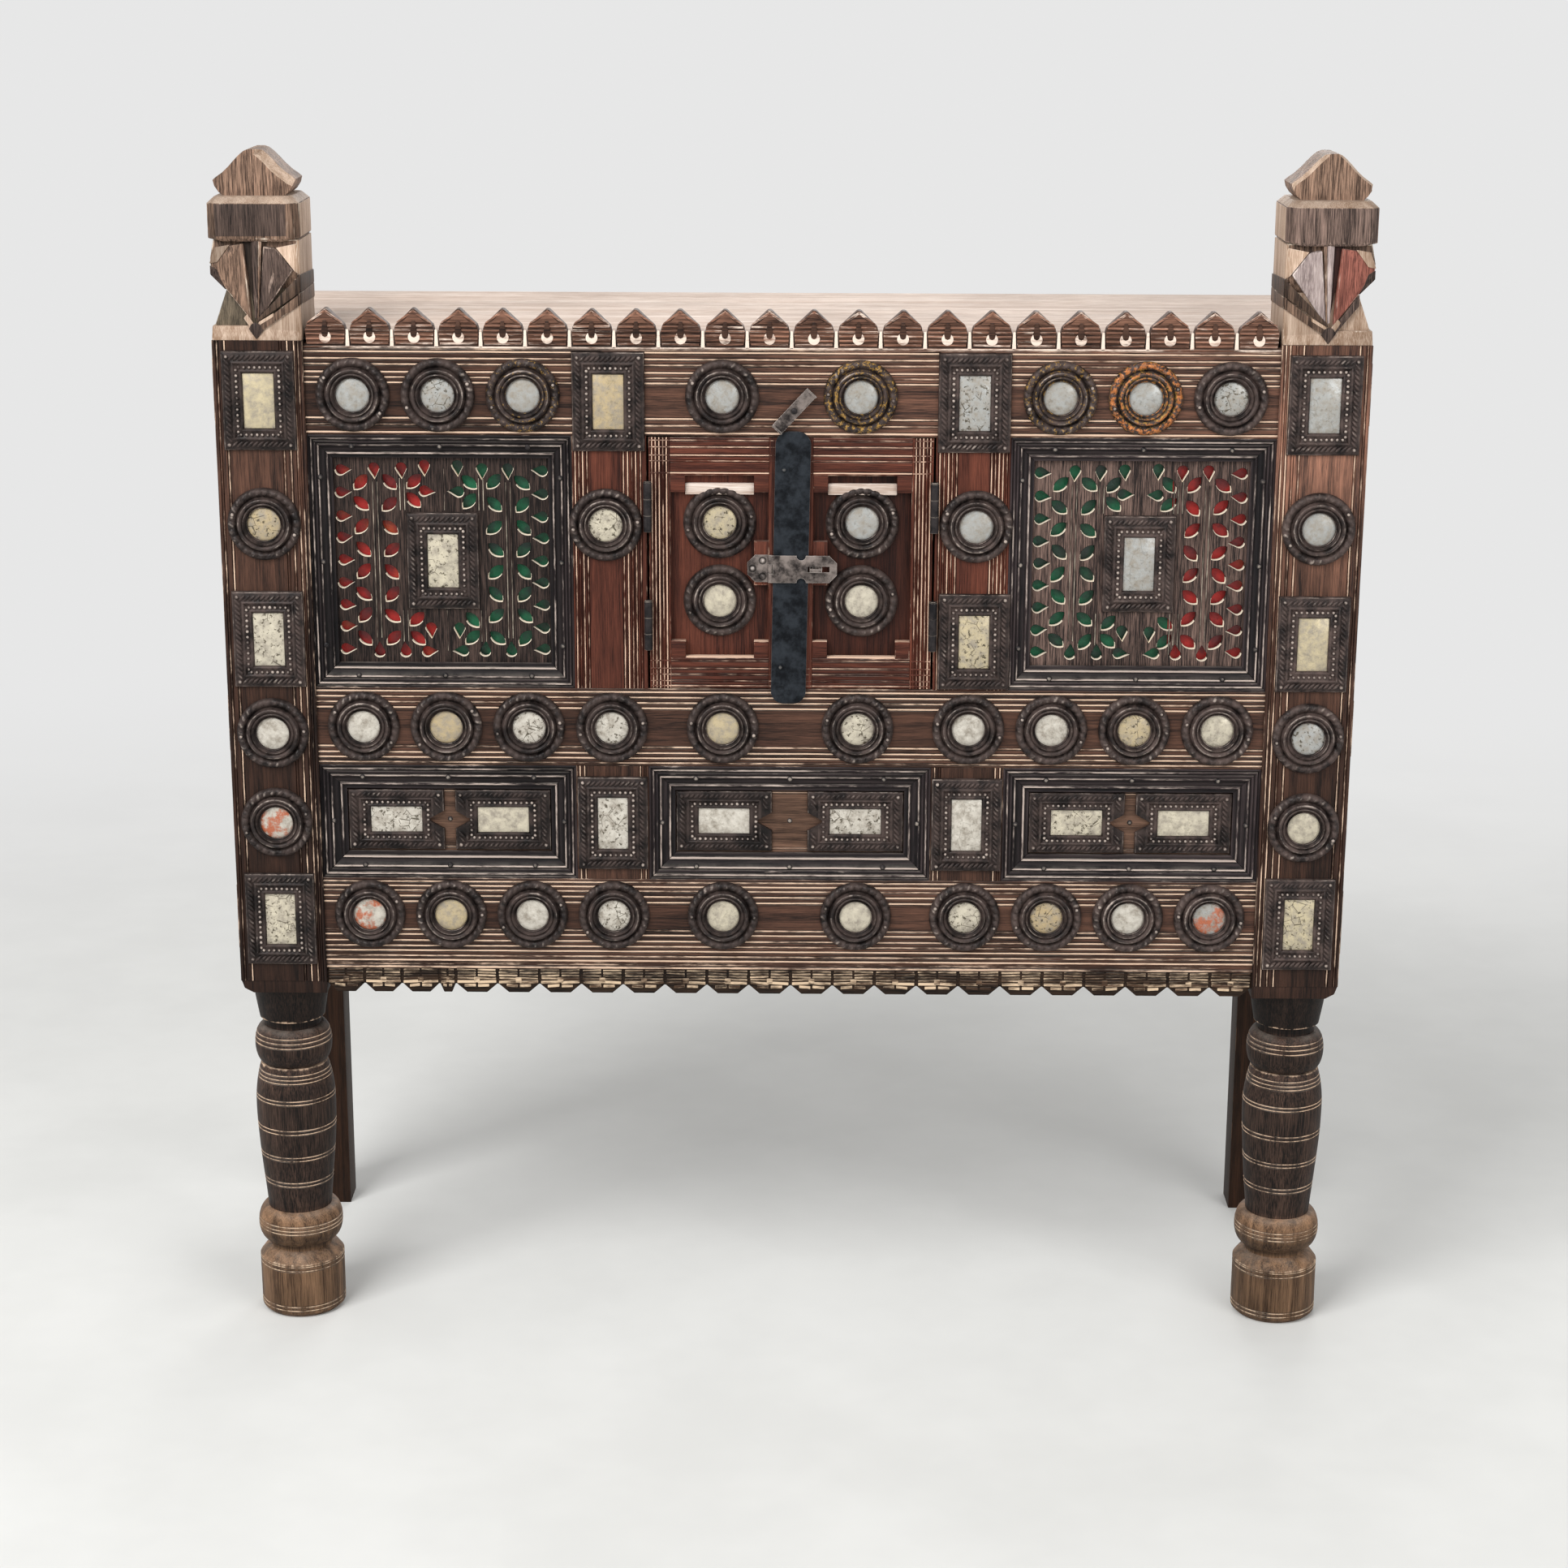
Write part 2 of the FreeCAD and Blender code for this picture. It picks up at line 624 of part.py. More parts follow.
for label, side in SIDES:
    x = post_x * side
    y = front + s.post / 2
    square = box(label + "_post_square", across(side, inner, half), (front, post_back),
                 (leg_height, post_top))
    leg = copy_of(LEG, x, y, ZERO)
    whole = fuse(label + "_post_whole", [square, leg] + finial(label, x, y))
    mortises = [box(f"{label}_{key}_mortise", across(side, inner - s.past, half + s.past),
                    grown(tenon_y, s.joint_gap),
                    (z[0] + s.tenon_shoulder - s.joint_gap, z[1] - s.tenon_shoulder + s.joint_gap))
                for key, z in RAIL_SPANS.items()]
    mortises += side_mortises(label + "_front", side, (post_back - s.side_stub, post_back + s.past))
    mortises += [GROOVES[label + "_upper"], GROOVES[label + "_lower"], WALL_GROOVES[label]]
    node(label + "_front_post", cut(label + "_front_post", whole, mortises))


# Rear posts, side rails and rear rails: the plain frame of the case

for label, side in SIDES:
    post = box(label + "_rear_square", across(side, rear_in, half), (rear_front, back), (ZERO, top_high))
    tools = side_mortises(label + "_rear", side, (rear_front - s.past, rear_front + s.side_stub))
    tools.append(WALL_GROOVES[label])
    for z in (side_low, side_high):
        tools.append(box(
            label + "_rear_mortise",
            across(side, rear_in - s.past, rear_in + s.side_stub + s.joint_gap),
            (rear_y[0] + s.tenon_shoulder / 2 - s.joint_gap, rear_y[1] - s.tenon_shoulder / 2 + s.joint_gap),
            (z[0] + s.tenon_shoulder - s.joint_gap, z[1] - s.tenon_shoulder + s.joint_gap)))
    node(label + "_rear_post", cut(label + "_rear_post", post, tools))


def side_rail(label, side, z):
    """A rail from a front post to a rear post, with a stub tenon at each end and the boards' groove."""
    body = box(label + "_side_rail_body", across(side, side_x[0], side_x[1]), (post_back, rear_front), z)
    tenon = box(label + "_side_rail_tenon",
                across(side, side_mid - s.side_tenon / 2, side_mid + s.side_tenon / 2),
                (post_back - s.side_stub, rear_front + s.side_stub),
                (z[0] + s.tenon_shoulder, z[1] - s.tenon_shoulder))
    return cut(label + "_side_rail", fuse(label + "_side_rail_whole", [body, tenon]), [WALL_GROOVES[label]])


node("side_rails", group("side_rails", [side_rail(label, side, z) for label, side in SIDES
                                        for z in (side_low, side_high)]))


def rear_rail(z):
    """A rail between the rear posts, with a stub tenon at each end."""
    body = box("rear_rail_body", (-rear_in, rear_in), rear_y, z)
    tenon = box("rear_rail_tenon", grown((-rear_in, rear_in), s.side_stub),
                (rear_y[0] + s.tenon_shoulder / 2, rear_y[1] - s.tenon_shoulder / 2),
                (z[0] + s.tenon_shoulder, z[1] - s.tenon_shoulder))
    return fuse("rear_rail", [body, tenon])


node("rear_rails", group("rear_rails", [rear_rail(side_low), rear_rail(side_high)]))


# Boards of the sides, back, floor and top


def seams(low, high, count):
    """Equal spans from low to high with a seam's gap between them."""
    step = (high - low + s.board_gap) / count
    return [(low + step * i, low + step * (i + 1) - s.board_gap) for i in range(int(count.value))]


side_boards = []
for label, side in SIDES:
    for z in seams(side_low[1] - s.groove, side_high[0] + s.groove, s.side_board_count):
        side_boards.append(box(label + "_side_board", across(side, wall_x[0], wall_x[1]),
                               (post_back - s.groove, rear_front + s.groove), z))
node("side_boards", group("side_boards", side_boards))

node("back_boards", group("back_boards", [
    box("back_board", x, lining_y, (side_low[0] + s.board_gap, top_high - s.board_gap))
    for x in seams(-rear_in + s.board_gap, rear_in - s.board_gap, s.back_board_count)]))


def deck(name, near_y, far_y, wide, z):
    """Boards along the cabinet; the first is notched round the front posts."""
    spans = seams(post_back + s.board_gap, far_y, s.deck_board_count)
    first = fuse(name + "_first", [
        box(name + "_notched", (-inner + s.board_gap, inner - s.board_gap), (near_y, spans[0][1]), z),
        box(name + "_board", (-wide, wide), spans[0], z)])
    rest = [box(name + "_board", (-wide, wide), span, z) for span in spans[1:]]
    return group(name, [first] + rest)


node("floor_boards", deck("floor_boards", frame_back + s.board_gap, rear_front - s.board_gap,
                          wall_x[0] - s.board_gap, (side_low[1], floor_top)))
node("top_boards", deck("top_boards", face + s.crest_thick, back, half,
                        (top_high, top_high + s.case_board)))


# Rails, crest and apron of the front

def muntin_mortise(side, z):
    """Room for a muntin's stub tenon in a rail."""
    return box("muntin_mortise",
               across(side, door_half + s.tenon_shoulder - s.joint_gap,
                      muntin_out - s.tenon_shoulder + s.joint_gap),
               grown(tenon_y, s.joint_gap), z)


def rail(key, above, below, grooves):
    """A rail with through tenons, mortises for the muntins above and below it, and panel grooves."""
    z = RAIL_SPANS[key]
    body = box(key + "_rail_body", (-inner, inner), (face, frame_back), z)
    tenons = box(key + "_rail_tenons", (-half - s.tenon_proud, half + s.tenon_proud), tenon_y,
                 (z[0] + s.tenon_shoulder, z[1] - s.tenon_shoulder))
    tools = list(grooves)
    for _, side in SIDES:
        if above:
            tools.append(muntin_mortise(side, (z[1] - s.stub - s.joint_gap, z[1] + s.past)))
        if below:
            tools.append(muntin_mortise(side, (z[0] - s.past, z[0] + s.stub + s.joint_gap)))
    return node(key + "_rail", cut(key + "_rail", fuse(key + "_rail_whole", [body, tenons]), tools))


tongue_y = (face + (s.crest_thick - s.tongue) / 2, face + (s.crest_thick + s.tongue) / 2)
crest_groove = box("crest_groove", grown((-inner, inner), s.past), grown(tongue_y, s.joint_gap),
                   (top_high - s.tongue - s.joint_gap, top_high + s.past))
apron_groove = box("apron_groove", grown((-inner, inner), s.past), grown(tongue_y, s.joint_gap),
                   (bottom_low - s.past, bottom_low + s.tongue + s.joint_gap))
UPPER = [GROOVES["left_upper"], GROOVES["right_upper"]]
LOWER = [GROOVES["left_lower"], GROOVES["centre_lower"], GROOVES["right_lower"]]

rail("top", False, True, UPPER + [crest_groove])
rail("middle", True, True, UPPER + LOWER)
rail("bottom", True, False, LOWER + [apron_groove])


def crest():
    """Board on the top rail with a row of pointed teeth."""
    count = int(s.crest_teeth.value)
    pitch = (inner * 2) / count
    points = [(-inner, top_high), (inner, top_high), (inner, top_high + s.crest_valley)]
    for i in range(count):
        points.append((inner - pitch * (i + 0.5), top_high + s.crest_height))
        points.append((inner - pitch * (i + 1), top_high + s.crest_valley))
    board = slab("crest_teeth", points, (face, face + s.crest_thick))
    tongue = box("crest_tongue", (-inner, inner), tongue_y, (top_high - s.tongue, top_high))
    return fuse("crest_board", [board, tongue])


def apron():
    """Board under the bottom rail with flat-ended teeth, one of them narrow."""
    even = (inner * 2 - s.short_tooth * s.short_teeth - s.odd_tooth) / s.apron_teeth
    widths = [s.short_tooth] * int(s.short_teeth.value) + [s.odd_tooth]
    widths += [even] * int(s.apron_teeth.value)
    points = [(inner, bottom_low), (-inner, bottom_low)]
    x = -inner
    for wide in widths:
        flat = s.apron_flat * wide / even
        middle = x + wide / 2
        points.append((x, apron_foot + s.apron_notch))
        points.append((middle - flat / 2, apron_foot))
        points.append((middle + flat / 2, apron_foot))
        x = x + wide
    points.append((inner, apron_foot + s.apron_notch))
    board = slab("apron_teeth", points, (face, face + s.crest_thick))
    tongue = box("apron_tongue", (-inner, inner), tongue_y, (bottom_low, bottom_low + s.tongue))
    return fuse("apron_board", [board, tongue])


node("crest_board", crest())
node("apron_board", apron())


# Muntins between the openings

def muntin(name, side, z, grooves):
    """An upright with a stub tenon at each end."""
    body = box(name + "_body", across(side, door_half, muntin_out), (face, frame_back), z)
    tenon = box(name + "_tenon",
                across(side, door_half + s.tenon_shoulder, muntin_out - s.tenon_shoulder),
                tenon_y, grown(z, s.stub))
    return node(name, cut(name, fuse(name + "_whole", [body, tenon]), grooves))


for label, side in SIDES:
    muntin(label + "_upper_muntin", side, (middle_high, top_low), [GROOVES[label + "_upper"]])
    muntin(label + "_lower_muntin", side, (bottom_high, middle_low),
           [GROOVES[label + "_lower"], GROOVES["centre_lower"]])


# Panels: two pierced ones over coloured sheets, three plain ones below

def panel_board(label):
    """A panel that fills its opening and the grooves round it."""
    span_x, span_z = PANELS[label]
    return box(label + "_board", grown(span_x, s.groove), (panel_face, panel_back), grown(span_z, s.groove))


def leaf_hole(x, z, turn, drop):
    """A leaf with two pointed ends, or a drop with one, as a solid through the panel."""
    long = s.leaf_long.value / 2
    wide = s.leaf_wide.value / 2
    if drop:
        belly = Vector(-long + wide, 0, 0)
        tip = Vector(long, 0, 0)
        reach_back = wide * wide / (long * 2 - wide)
        rise = math.sqrt(wide * wide - reach_back * reach_back)
        upper = belly + Vector(reach_back, rise, 0)
        lower = belly + Vector(reach_back, -rise, 0)
        edges = [Part.LineSegment(tip, upper), Part.Arc(upper, Vector(-long, 0, 0), lower),
                 Part.LineSegment(lower, tip)]
    else:
        ends = [Vector(-long, 0, 0), Vector(long, 0, 0)]
        edges = [Part.Arc(ends[0], Vector(0, wide, 0), ends[1]),
                 Part.Arc(ends[1], Vector(0, -wide, 0), ends[0])]
    leaf = Part.Face(Part.Wire([edge.toShape() for edge in edges]))
    deep = s.panel_thick.value + s.past.value * 2
    leaf = leaf.extrude(Vector(0, 0, deep))
    leaf.Placement = Placement(Vector(x, panel_face.value - s.past.value + deep, z),
                               UPRIGHT * Rotation(Vector(0, 0, 1), turn))
    return leaf


def leaf_pattern():
    """Places of the pierced leaves about the panel's middle: x, z, turn and whether it is a drop."""
    rows = int(s.leaf_rows.value)
    pitch = s.leaf_pitch.value
    top = pitch * (rows - 1) / 2
    tilt = s.leaf_tilt.value
    stems = ((s.outer_column.value + s.inner_column.value) / 2,
             (s.inner_column.value + s.mid_column.value) / 2)
    near_tin = s.tin_long.value / 2 + s.leaf_long.value / 2
    holes = []
    for flank in (-1, 1):
        for row in range(rows):
            z = top - pitch * row
            holes.append((flank * s.drop_column.value, z, 90 + 90 * flank, True))
        for row in range(rows - 1):
            z = top - pitch * (row + 0.5)
            lean = tilt if row % 2 else -tilt
            holes.append((flank * s.outer_column.value, z, flank * lean, False))
            holes.append((flank * s.inner_column.value, z, -flank * lean, False))
            if abs(z) > near_tin:
                holes.append((flank * s.mid_column.value, z, flank * lean, False))
        for x in stems:
            for end in (-1, 1):
                holes.append((flank * x, end * top, -90 * end, True))
    return holes


def pierced_panel(label, side):
    """A panel pierced with columns of leaves and drops round the tin in its middle."""
    span_z = PANELS[label + "_upper"][1]
    x = bay_x.value * side
    z = (span_z[0].value + span_z[1].value) / 2
    holes = doc.addObject("Part::Feature", label + "_leaf_holes")
    holes.Shape = Part.makeCompound([leaf_hole(x + dx, z + dz, turn, drop)
                                     for dx, dz, turn, drop in leaf_pattern()])
    return cut(label + "_pierced_panel", panel_board(label + "_upper"), [holes])


def backing_sheet(label, side, red):
    """One of the two coloured sheets behind a pierced panel."""
    span_x, span_z = PANELS[label + "_upper"]
    split = bay_x * side + (s.left_split if side < 0 else s.right_split)
    on_left = red == (side < 0)
    x = (span_x[0], split) if on_left else (split, span_x[1])
    return box(label + "_sheet", x, (panel_back, panel_back + s.sheet_thick), span_z)


for label, side in SIDES:
    node(label + "_pierced_panel", pierced_panel(label, side))
node("red_backing_sheets", group("red_backing_sheets", [backing_sheet(*key, True) for key in SIDES]))
node("green_backing_sheets", group("green_backing_sheets", [backing_sheet(*key, False) for key in SIDES]))
for label in ("left_lower", "centre_lower", "right_lower"):
    node(label + "_panel", panel_board(label))


# Mitred mouldings in the openings, with their nails

def moulding_strip(name, length, wide, x, z, quarter):
    """A strip that slopes from the frame face to the panel, mitred at both ends."""
    strip = doc.addObject("Part::Wedge", name)
    for prop in ("Xmin", "Ymin", "Zmin", "Z2min"):
        setattr(strip, prop, 0)
    bind(strip, "Xmax", length)
    bind(strip, "Ymax", wide)
    bind(strip, "Zmax", s.panel_recess)
    bind(strip, "X2min", wide)
    bind(strip, "X2max", length - wide)
    bind(strip, "Z2max", s.moulding_edge)
    return place(strip, x, panel_face, z, Rotation(Vector(0, 1, 0), -90 * quarter) * UPRIGHT)


NAIL = turned("nail", [
    (ZERO, -s.nail_length),
    (s.nail_shank / 2, -s.nail_length),
    (s.nail_shank / 2, ZERO),
    (s.nail_head / 2, ZERO),
    (ZERO, s.nail_dome),
])
NAIL_COUNTS = {"upper": s.upper_nail_count, "lower": s.lower_nail_count}
nails = []

for label, (span_x, span_z) in PANELS.items():
    wide = s.upper_moulding if label.endswith("upper") else s.lower_moulding
    length = span_x[1] - span_x[0]
    height = span_z[1] - span_z[0]
    strips = [
        moulding_strip(label + "_sill", length, wide, span_x[0], span_z[0], 0),
        moulding_strip(label + "_right", height, wide, span_x[1], span_z[0], 1),
        moulding_strip(label + "_head", length, wide, span_x[1], span_z[1], 2),
        moulding_strip(label + "_left", height, wide, span_x[0], span_z[1], 3),
    ]
    node(label + "_moulding", group(label + "_moulding", strips))
    nail_y = panel_face - (s.panel_recess + s.moulding_edge) / 2 - s.nail_dome / 2
    for i in range(int(s.nail_count.value)):
        x = span_x[0] + length * (i + 0.5) / s.nail_count
        for z in (span_z[0] + wide / 2, span_z[1] - wide / 2):
            nails.append(copy_of(NAIL, x, nail_y, z, UPRIGHT))
    count = NAIL_COUNTS[label.split("_")[1]]
    for i in range(int(count.value)):
        z = span_z[0] + height * (i + 0.5) / count
        for x in (span_x[0] + wide / 2, span_x[1] - wide / 2):
            nails.append(copy_of(NAIL, x, nail_y, z, UPRIGHT))
node("moulding_nails", group("moulding_nails", nails))


# Pressed tins and the mirrors behind them

ROUND_TIN = turned("round_tin", [
    (s.round_mirror / 2 + s.joint_gap, ZERO),
    (s.roundel / 2, ZERO),
    (s.roundel / 2, s.valley_height / 2, -(s.roundel_rim - s.valley_height)),
    (s.roundel / 2 - s.rim_width, s.valley_height, -(s.roundel_height - s.valley_height)),
    (s.round_sight / 2, s.mirror_thick + s.tin_lip),
    (s.round_sight / 2, s.mirror_thick + s.joint_gap),
    (s.round_mirror / 2 + s.joint_gap, s.mirror_thick + s.joint_gap),
])
ROUND_MIRROR = cylinder("round_mirror_disc", s.round_mirror, s.mirror_thick, ZERO, ZERO, ZERO)


def rectangular_tin(name, wide, high, sight_wide, sight_high):
    """A bevelled plate, lying face up, with a window and a seat for its mirror."""
    plate = frustum(name + "_plate", ZERO, ZERO, (ZERO, s.tin_height), (wide, high),
                    (wide - s.tin_bevel * 2, high - s.tin_bevel * 2))
    window = box(name + "_window", grown((ZERO, ZERO), sight_wide / 2), grown((ZERO, ZERO), sight_high / 2),
                 (-s.past, s.tin_height + s.past))
    seat = box(name + "_seat", grown((ZERO, ZERO), sight_wide / 2 + s.mirror_lap + s.joint_gap),
               grown((ZERO, ZERO), sight_high / 2 + s.mirror_lap + s.joint_gap),
               (-s.past, s.mirror_thick + s.joint_gap))
    return cut(name, plate, [window, seat])


def rectangular_mirror(name, sight_wide, sight_high):
    """The glass behind such a tin."""
    return box(name, grown((ZERO, ZERO), sight_wide / 2 + s.mirror_lap),
               grown((ZERO, ZERO), sight_high / 2 + s.mirror_lap), (ZERO, s.mirror_thick))


TALL_TIN = rectangular_tin("tall_tin", s.tin_short, s.tin_long, s.tin_sight_short, s.tin_sight_long)
TALL_MIRROR = rectangular_mirror("tall_mirror", s.tin_sight_short, s.tin_sight_long)
FLAT_TIN = rectangular_tin("flat_tin", s.flat_tin_long, s.flat_tin_short, s.flat_sight_long,
                           s.flat_sight_short)
FLAT_MIRROR = rectangular_mirror("flat_mirror", s.flat_sight_long, s.flat_sight_short)

muntin_tin_x = muntin_x + s.hinge_clear
lower_mid = (bottom_high + middle_low) / 2
upper_mid = (middle_high + top_low) / 2
middle_mid = (middle_low + middle_high) / 2


def spread(count):
    """Even places from -0.5 to 0.5, or one at zero."""
    return [i / (count - 1) - 0.5 for i in range(count)] if count > 1 else [0.0] * count


def roundel_places():
    """Middles of the round tins on the frame, with the face that each sits on."""
    places = []
    in_bay = int((inner - muntin_out).value // s.roundel_pitch.value)
    for side in (-1, 1):
        rows = [(top_low + s.top_row, False), (middle_mid, True), (bottom_low + s.bottom_row, True)]
        for z, on_muntin in rows:
            for i in range(in_bay):
                places.append((bay_x * side + s.roundel_pitch * (i - (in_bay - 1) / 2), face, z))
            if on_muntin:
                places.append((muntin_x * side, face, z))
            places.append((s.centre_pair * side, face, z))
        for z in (middle_high + s.muntin_roundel, middle_low + s.post_roundel_mid, lower_mid):
            places.append((post_x * side, front, z))
        places.append((muntin_tin_x * side, face, middle_high + s.muntin_roundel))
    return places


def tall_tin_places():
    """Middles of the upright tins on the posts, muntins and pierced panels."""
    places = []
    for side in (-1, 1):
        for z in (top_low + s.upper_tin, middle_high + s.middle_tin, bottom_low + s.lower_tin):
            places.append((post_x * side, front, z))
        places.append((muntin_x * side, face, top_low + s.upper_tin))
        places.append((muntin_x * side, face, lower_mid))
        places.append((bay_x * side, panel_face, upper_mid))
    places.append((muntin_tin_x, face, middle_high + s.middle_tin))
    return places


def flat_tin_places():
    """Middles of the lying tins on the lower panels."""
    places = []
    for label in ("left_lower", "centre_lower", "right_lower"):
        low, high = PANELS[label][0]
        room = high - low - s.lower_moulding * 2
        for i in spread(int(room.value // (s.flat_tin_long + s.tin_clear).value)):
            step = room - s.flat_tin_long - s.tin_clear * 2
            places.append(((low + high) / 2 + step * i, panel_face, lower_mid))
    return places


def copies(master, places):
    """A piece that lies face up, stood upright at each place."""
    return [copy_of(master, x, y, z, UPRIGHT) for x, y, z in places]


node("frame_roundel_tins", group("frame_roundel_tins", copies(ROUND_TIN, roundel_places())))
node("frame_round_mirrors", group("frame_round_mirrors", copies(ROUND_MIRROR, roundel_places())))
node("rectangular_tins", group("rectangular_tins", copies(TALL_TIN, tall_tin_places())
                               + copies(FLAT_TIN, flat_tin_places())))
node("rectangular_mirrors", group("rectangular_mirrors", copies(TALL_MIRROR, tall_tin_places())
                                  + copies(FLAT_MIRROR, flat_tin_places())))


# Doors: stiles, rails and a recessed panel, stepped at the corners

door_low = middle_high + s.leaf_gap
door_high = top_low - s.leaf_gap
door_out = door_half - s.hinge_gap
door_in = s.meeting_gap / 2
door_mid = (door_out + door_in) / 2
recess_out = door_out - s.door_stile
recess_in = door_in + s.door_stile
recess_low = door_low + s.door_bottom_rail
recess_high = door_high - s.door_top_rail
lock_z = (door_low + s.lock_block_low, door_low + s.lock_block_low + s.lock_block_high)


def door_face(side):
    """Front face of a door."""
    return face - s.left_proud if side < 0 else face


def meeting_stile(label, side, y):
    """The stile at the middle, bevelled towards the back so that both doors swing clear."""
    stile = doc.addObject("Part::Wedge", label + "_meeting_stile")
    near = across(side, door_in, recess_in)
    far = across(side, door_in + s.meeting_bevel, recess_in)
    for prop, size in (("Xmin", near[0]), ("Xmax", near[1]), ("X2min", far[0]), ("X2max", far[1]),
                       ("Ymin", y[0]), ("Ymax", y[1]), ("Zmin", door_low), ("Z2min", door_low),
                       ("Zmax", door_high), ("Z2max", door_high)):
        bind(stile, prop, size)
    return stile


def door(label, side):
    """Two stiles, two rails and a panel."""
    y = (door_face(side), door_face(side) + s.leaf_thick)
    step_y = (y[0], y[0] + s.door_recess)
    panel_y = (step_y[1], step_y[1] + s.door_panel)
    rails = {"bottom": (door_low, recess_low), "top": (recess_high, door_high)}
    groove = box(label + "_door_groove",
                 across(side, recess_in - s.door_groove - s.joint_gap,
                        recess_out + s.door_groove + s.joint_gap),
                 grown(panel_y, s.joint_gap),
                 (recess_low - s.door_groove - s.joint_gap, recess_high + s.door_groove + s.joint_gap))
    tenon_mid = panel_y[1] + s.door_tenon / 2
    door_tenon_y = (tenon_mid - s.door_tenon / 2, tenon_mid + s.door_tenon / 2)
    mortises = [box(label + "_door_mortise",
                    across(side, recess_in - s.door_stub - s.joint_gap,
                           recess_out + s.door_stub + s.joint_gap),
                    grown(door_tenon_y, s.joint_gap),
                    (z[0] + s.door_shoulder - s.joint_gap, z[1] - s.door_shoulder + s.joint_gap))
                for z in rails.values()]
    lock_block = box(label + "_lock_block", across(side, recess_in, recess_in + s.door_step_wide),
                     step_y, lock_z)
    hinge_stile = box(label + "_hinge_stile", across(side, recess_out, door_out), y, (door_low, door_high))
    meeting = fuse(label + "_meeting", [meeting_stile(label, side, y), lock_block])
    cutters = [groove] + mortises
    node(label + "_door_stiles", group(label + "_door_stiles", [
        cut(label + "_hinge_stile_cut", hinge_stile, cutters),
        cut(label + "_meeting_stile_cut", meeting, cutters)]))
    made = []
    for key, z in rails.items():
        body = box(f"{label}_{key}_door_rail", across(side, recess_in, recess_out), y, z)
        tenon = box(f"{label}_{key}_door_tenon",
                    across(side, recess_in - s.door_stub, recess_out + s.door_stub), door_tenon_y,
                    (z[0] + s.door_shoulder, z[1] - s.door_shoulder))
        step_z = (z[1], z[1] + s.door_step_high) if key == "bottom" else (z[0] - s.door_step_high, z[0])
        steps = [box(f"{label}_{key}_step", across(side, *span), step_y, step_z)
                 for span in ((recess_in, recess_in + s.door_step_wide),
                              (recess_out - s.door_step_wide, recess_out))]
        whole = fuse(f"{label}_{key}_whole", [body, tenon] + steps)
        made.append(cut(f"{label}_{key}_rail_cut", whole, [groove]))
    node(label + "_door_rails", group(label + "_door_rails", made))
    node(label + "_door_panel", box(
        label + "_door_panel", across(side, recess_in - s.door_groove, recess_out + s.door_groove), panel_y,
        (recess_low - s.door_groove, recess_high + s.door_groove)))
    places = [(door_mid * side, panel_y[0], door_low + z) for z in (s.door_roundel_low, s.door_roundel_high)]
    node(label + "_door_roundel_tins", group(label + "_door_roundel_tins", copies(ROUND_TIN, places)))
    node(label + "_door_mirrors", group(label + "_door_mirrors", copies(ROUND_MIRROR, places)))


for label, side in SIDES:
    door(label, side)


# Butt hinges: three knuckles on a pin, leaves in the gap beside the door

hinge_x = door_half - s.hinge_gap / 2
hinge_y = face - s.axis_forward
arm_back = hinge_y + s.knuckle / 2 + s.knuckle_gap
knuckle_length = (s.hinge_length - s.knuckle_gap * 2) / 3
hinge_bore = s.hinge_pin + s.pin_gap * 2
HINGE_MIDDLES = (middle_high + s.low_hinge, middle_high + s.high_hinge)


def hinge_half(name, side, middle, leaf_x, knuckle_spans):
    """A leaf with its knuckles, bored for the pin."""
    low = middle - s.hinge_length / 2
    x = hinge_x * side
    pieces = [box(name + "_leaf", leaf_x, (arm_back, arm_back + s.hinge_leaf_depth),
                  (low, low + s.hinge_length))]
    for z in knuckle_spans:
        pieces.append(box(name + "_arm", leaf_x, (hinge_y, arm_back), z))
        pieces.append(cylinder(name + "_knuckle", s.knuckle, z[1] - z[0], x, hinge_y, z[0]))
    bore = cylinder(name + "_bore", hinge_bore, s.hinge_length + s.past * 2, x, hinge_y, low - s.past)
    return cut(name, fuse(name + "_whole", pieces), [bore])


def knuckle_spans(middle):
    """Heights of the three knuckles of a hinge."""
    low = middle - s.hinge_length / 2
    step = knuckle_length + s.knuckle_gap
    return [(low + step * i, low + step * i + knuckle_length) for i in range(3)]


fixed_leaves = []
pins = []
for label, side in SIDES:
    fixed_x = across(side, door_half - s.hinge_leaf, door_half)
    moving_x = across(side, door_out, door_out + s.hinge_leaf)
    moving = []
    for middle in HINGE_MIDDLES:
        spans = knuckle_spans(middle)
        fixed_leaves.append(hinge_half(label + "_fixed_hinge", side, middle, fixed_x, [spans[0], spans[2]]))
        moving.append(hinge_half(label + "_moving_hinge", side, middle, moving_x, [spans[1]]))
        x = hinge_x * side
        low = middle - s.hinge_length / 2
        pins.append(fuse(label + "_pin", [
            cylinder(label + "_pin_shank", s.hinge_pin, s.hinge_length, x, hinge_y, low),
            cylinder(label + "_pin_head", s.knuckle - s.pin_head, s.pin_head, x, hinge_y,
                     low + s.hinge_length)]))
    node(label + "_door_hinge_leaves", group(label + "_door_hinge_leaves", moving))
node("fixed_hinge_leaves", group("fixed_hinge_leaves", fixed_leaves))
node("hinge_pins", group("hinge_pins", pins))


# Cover strip on the left door, lapping over the right one

left_face = door_face(-1)
strip_front = left_face - s.strip_thick
strip_low = middle_high - s.strip_below
strip_high = top_low + s.strip_above


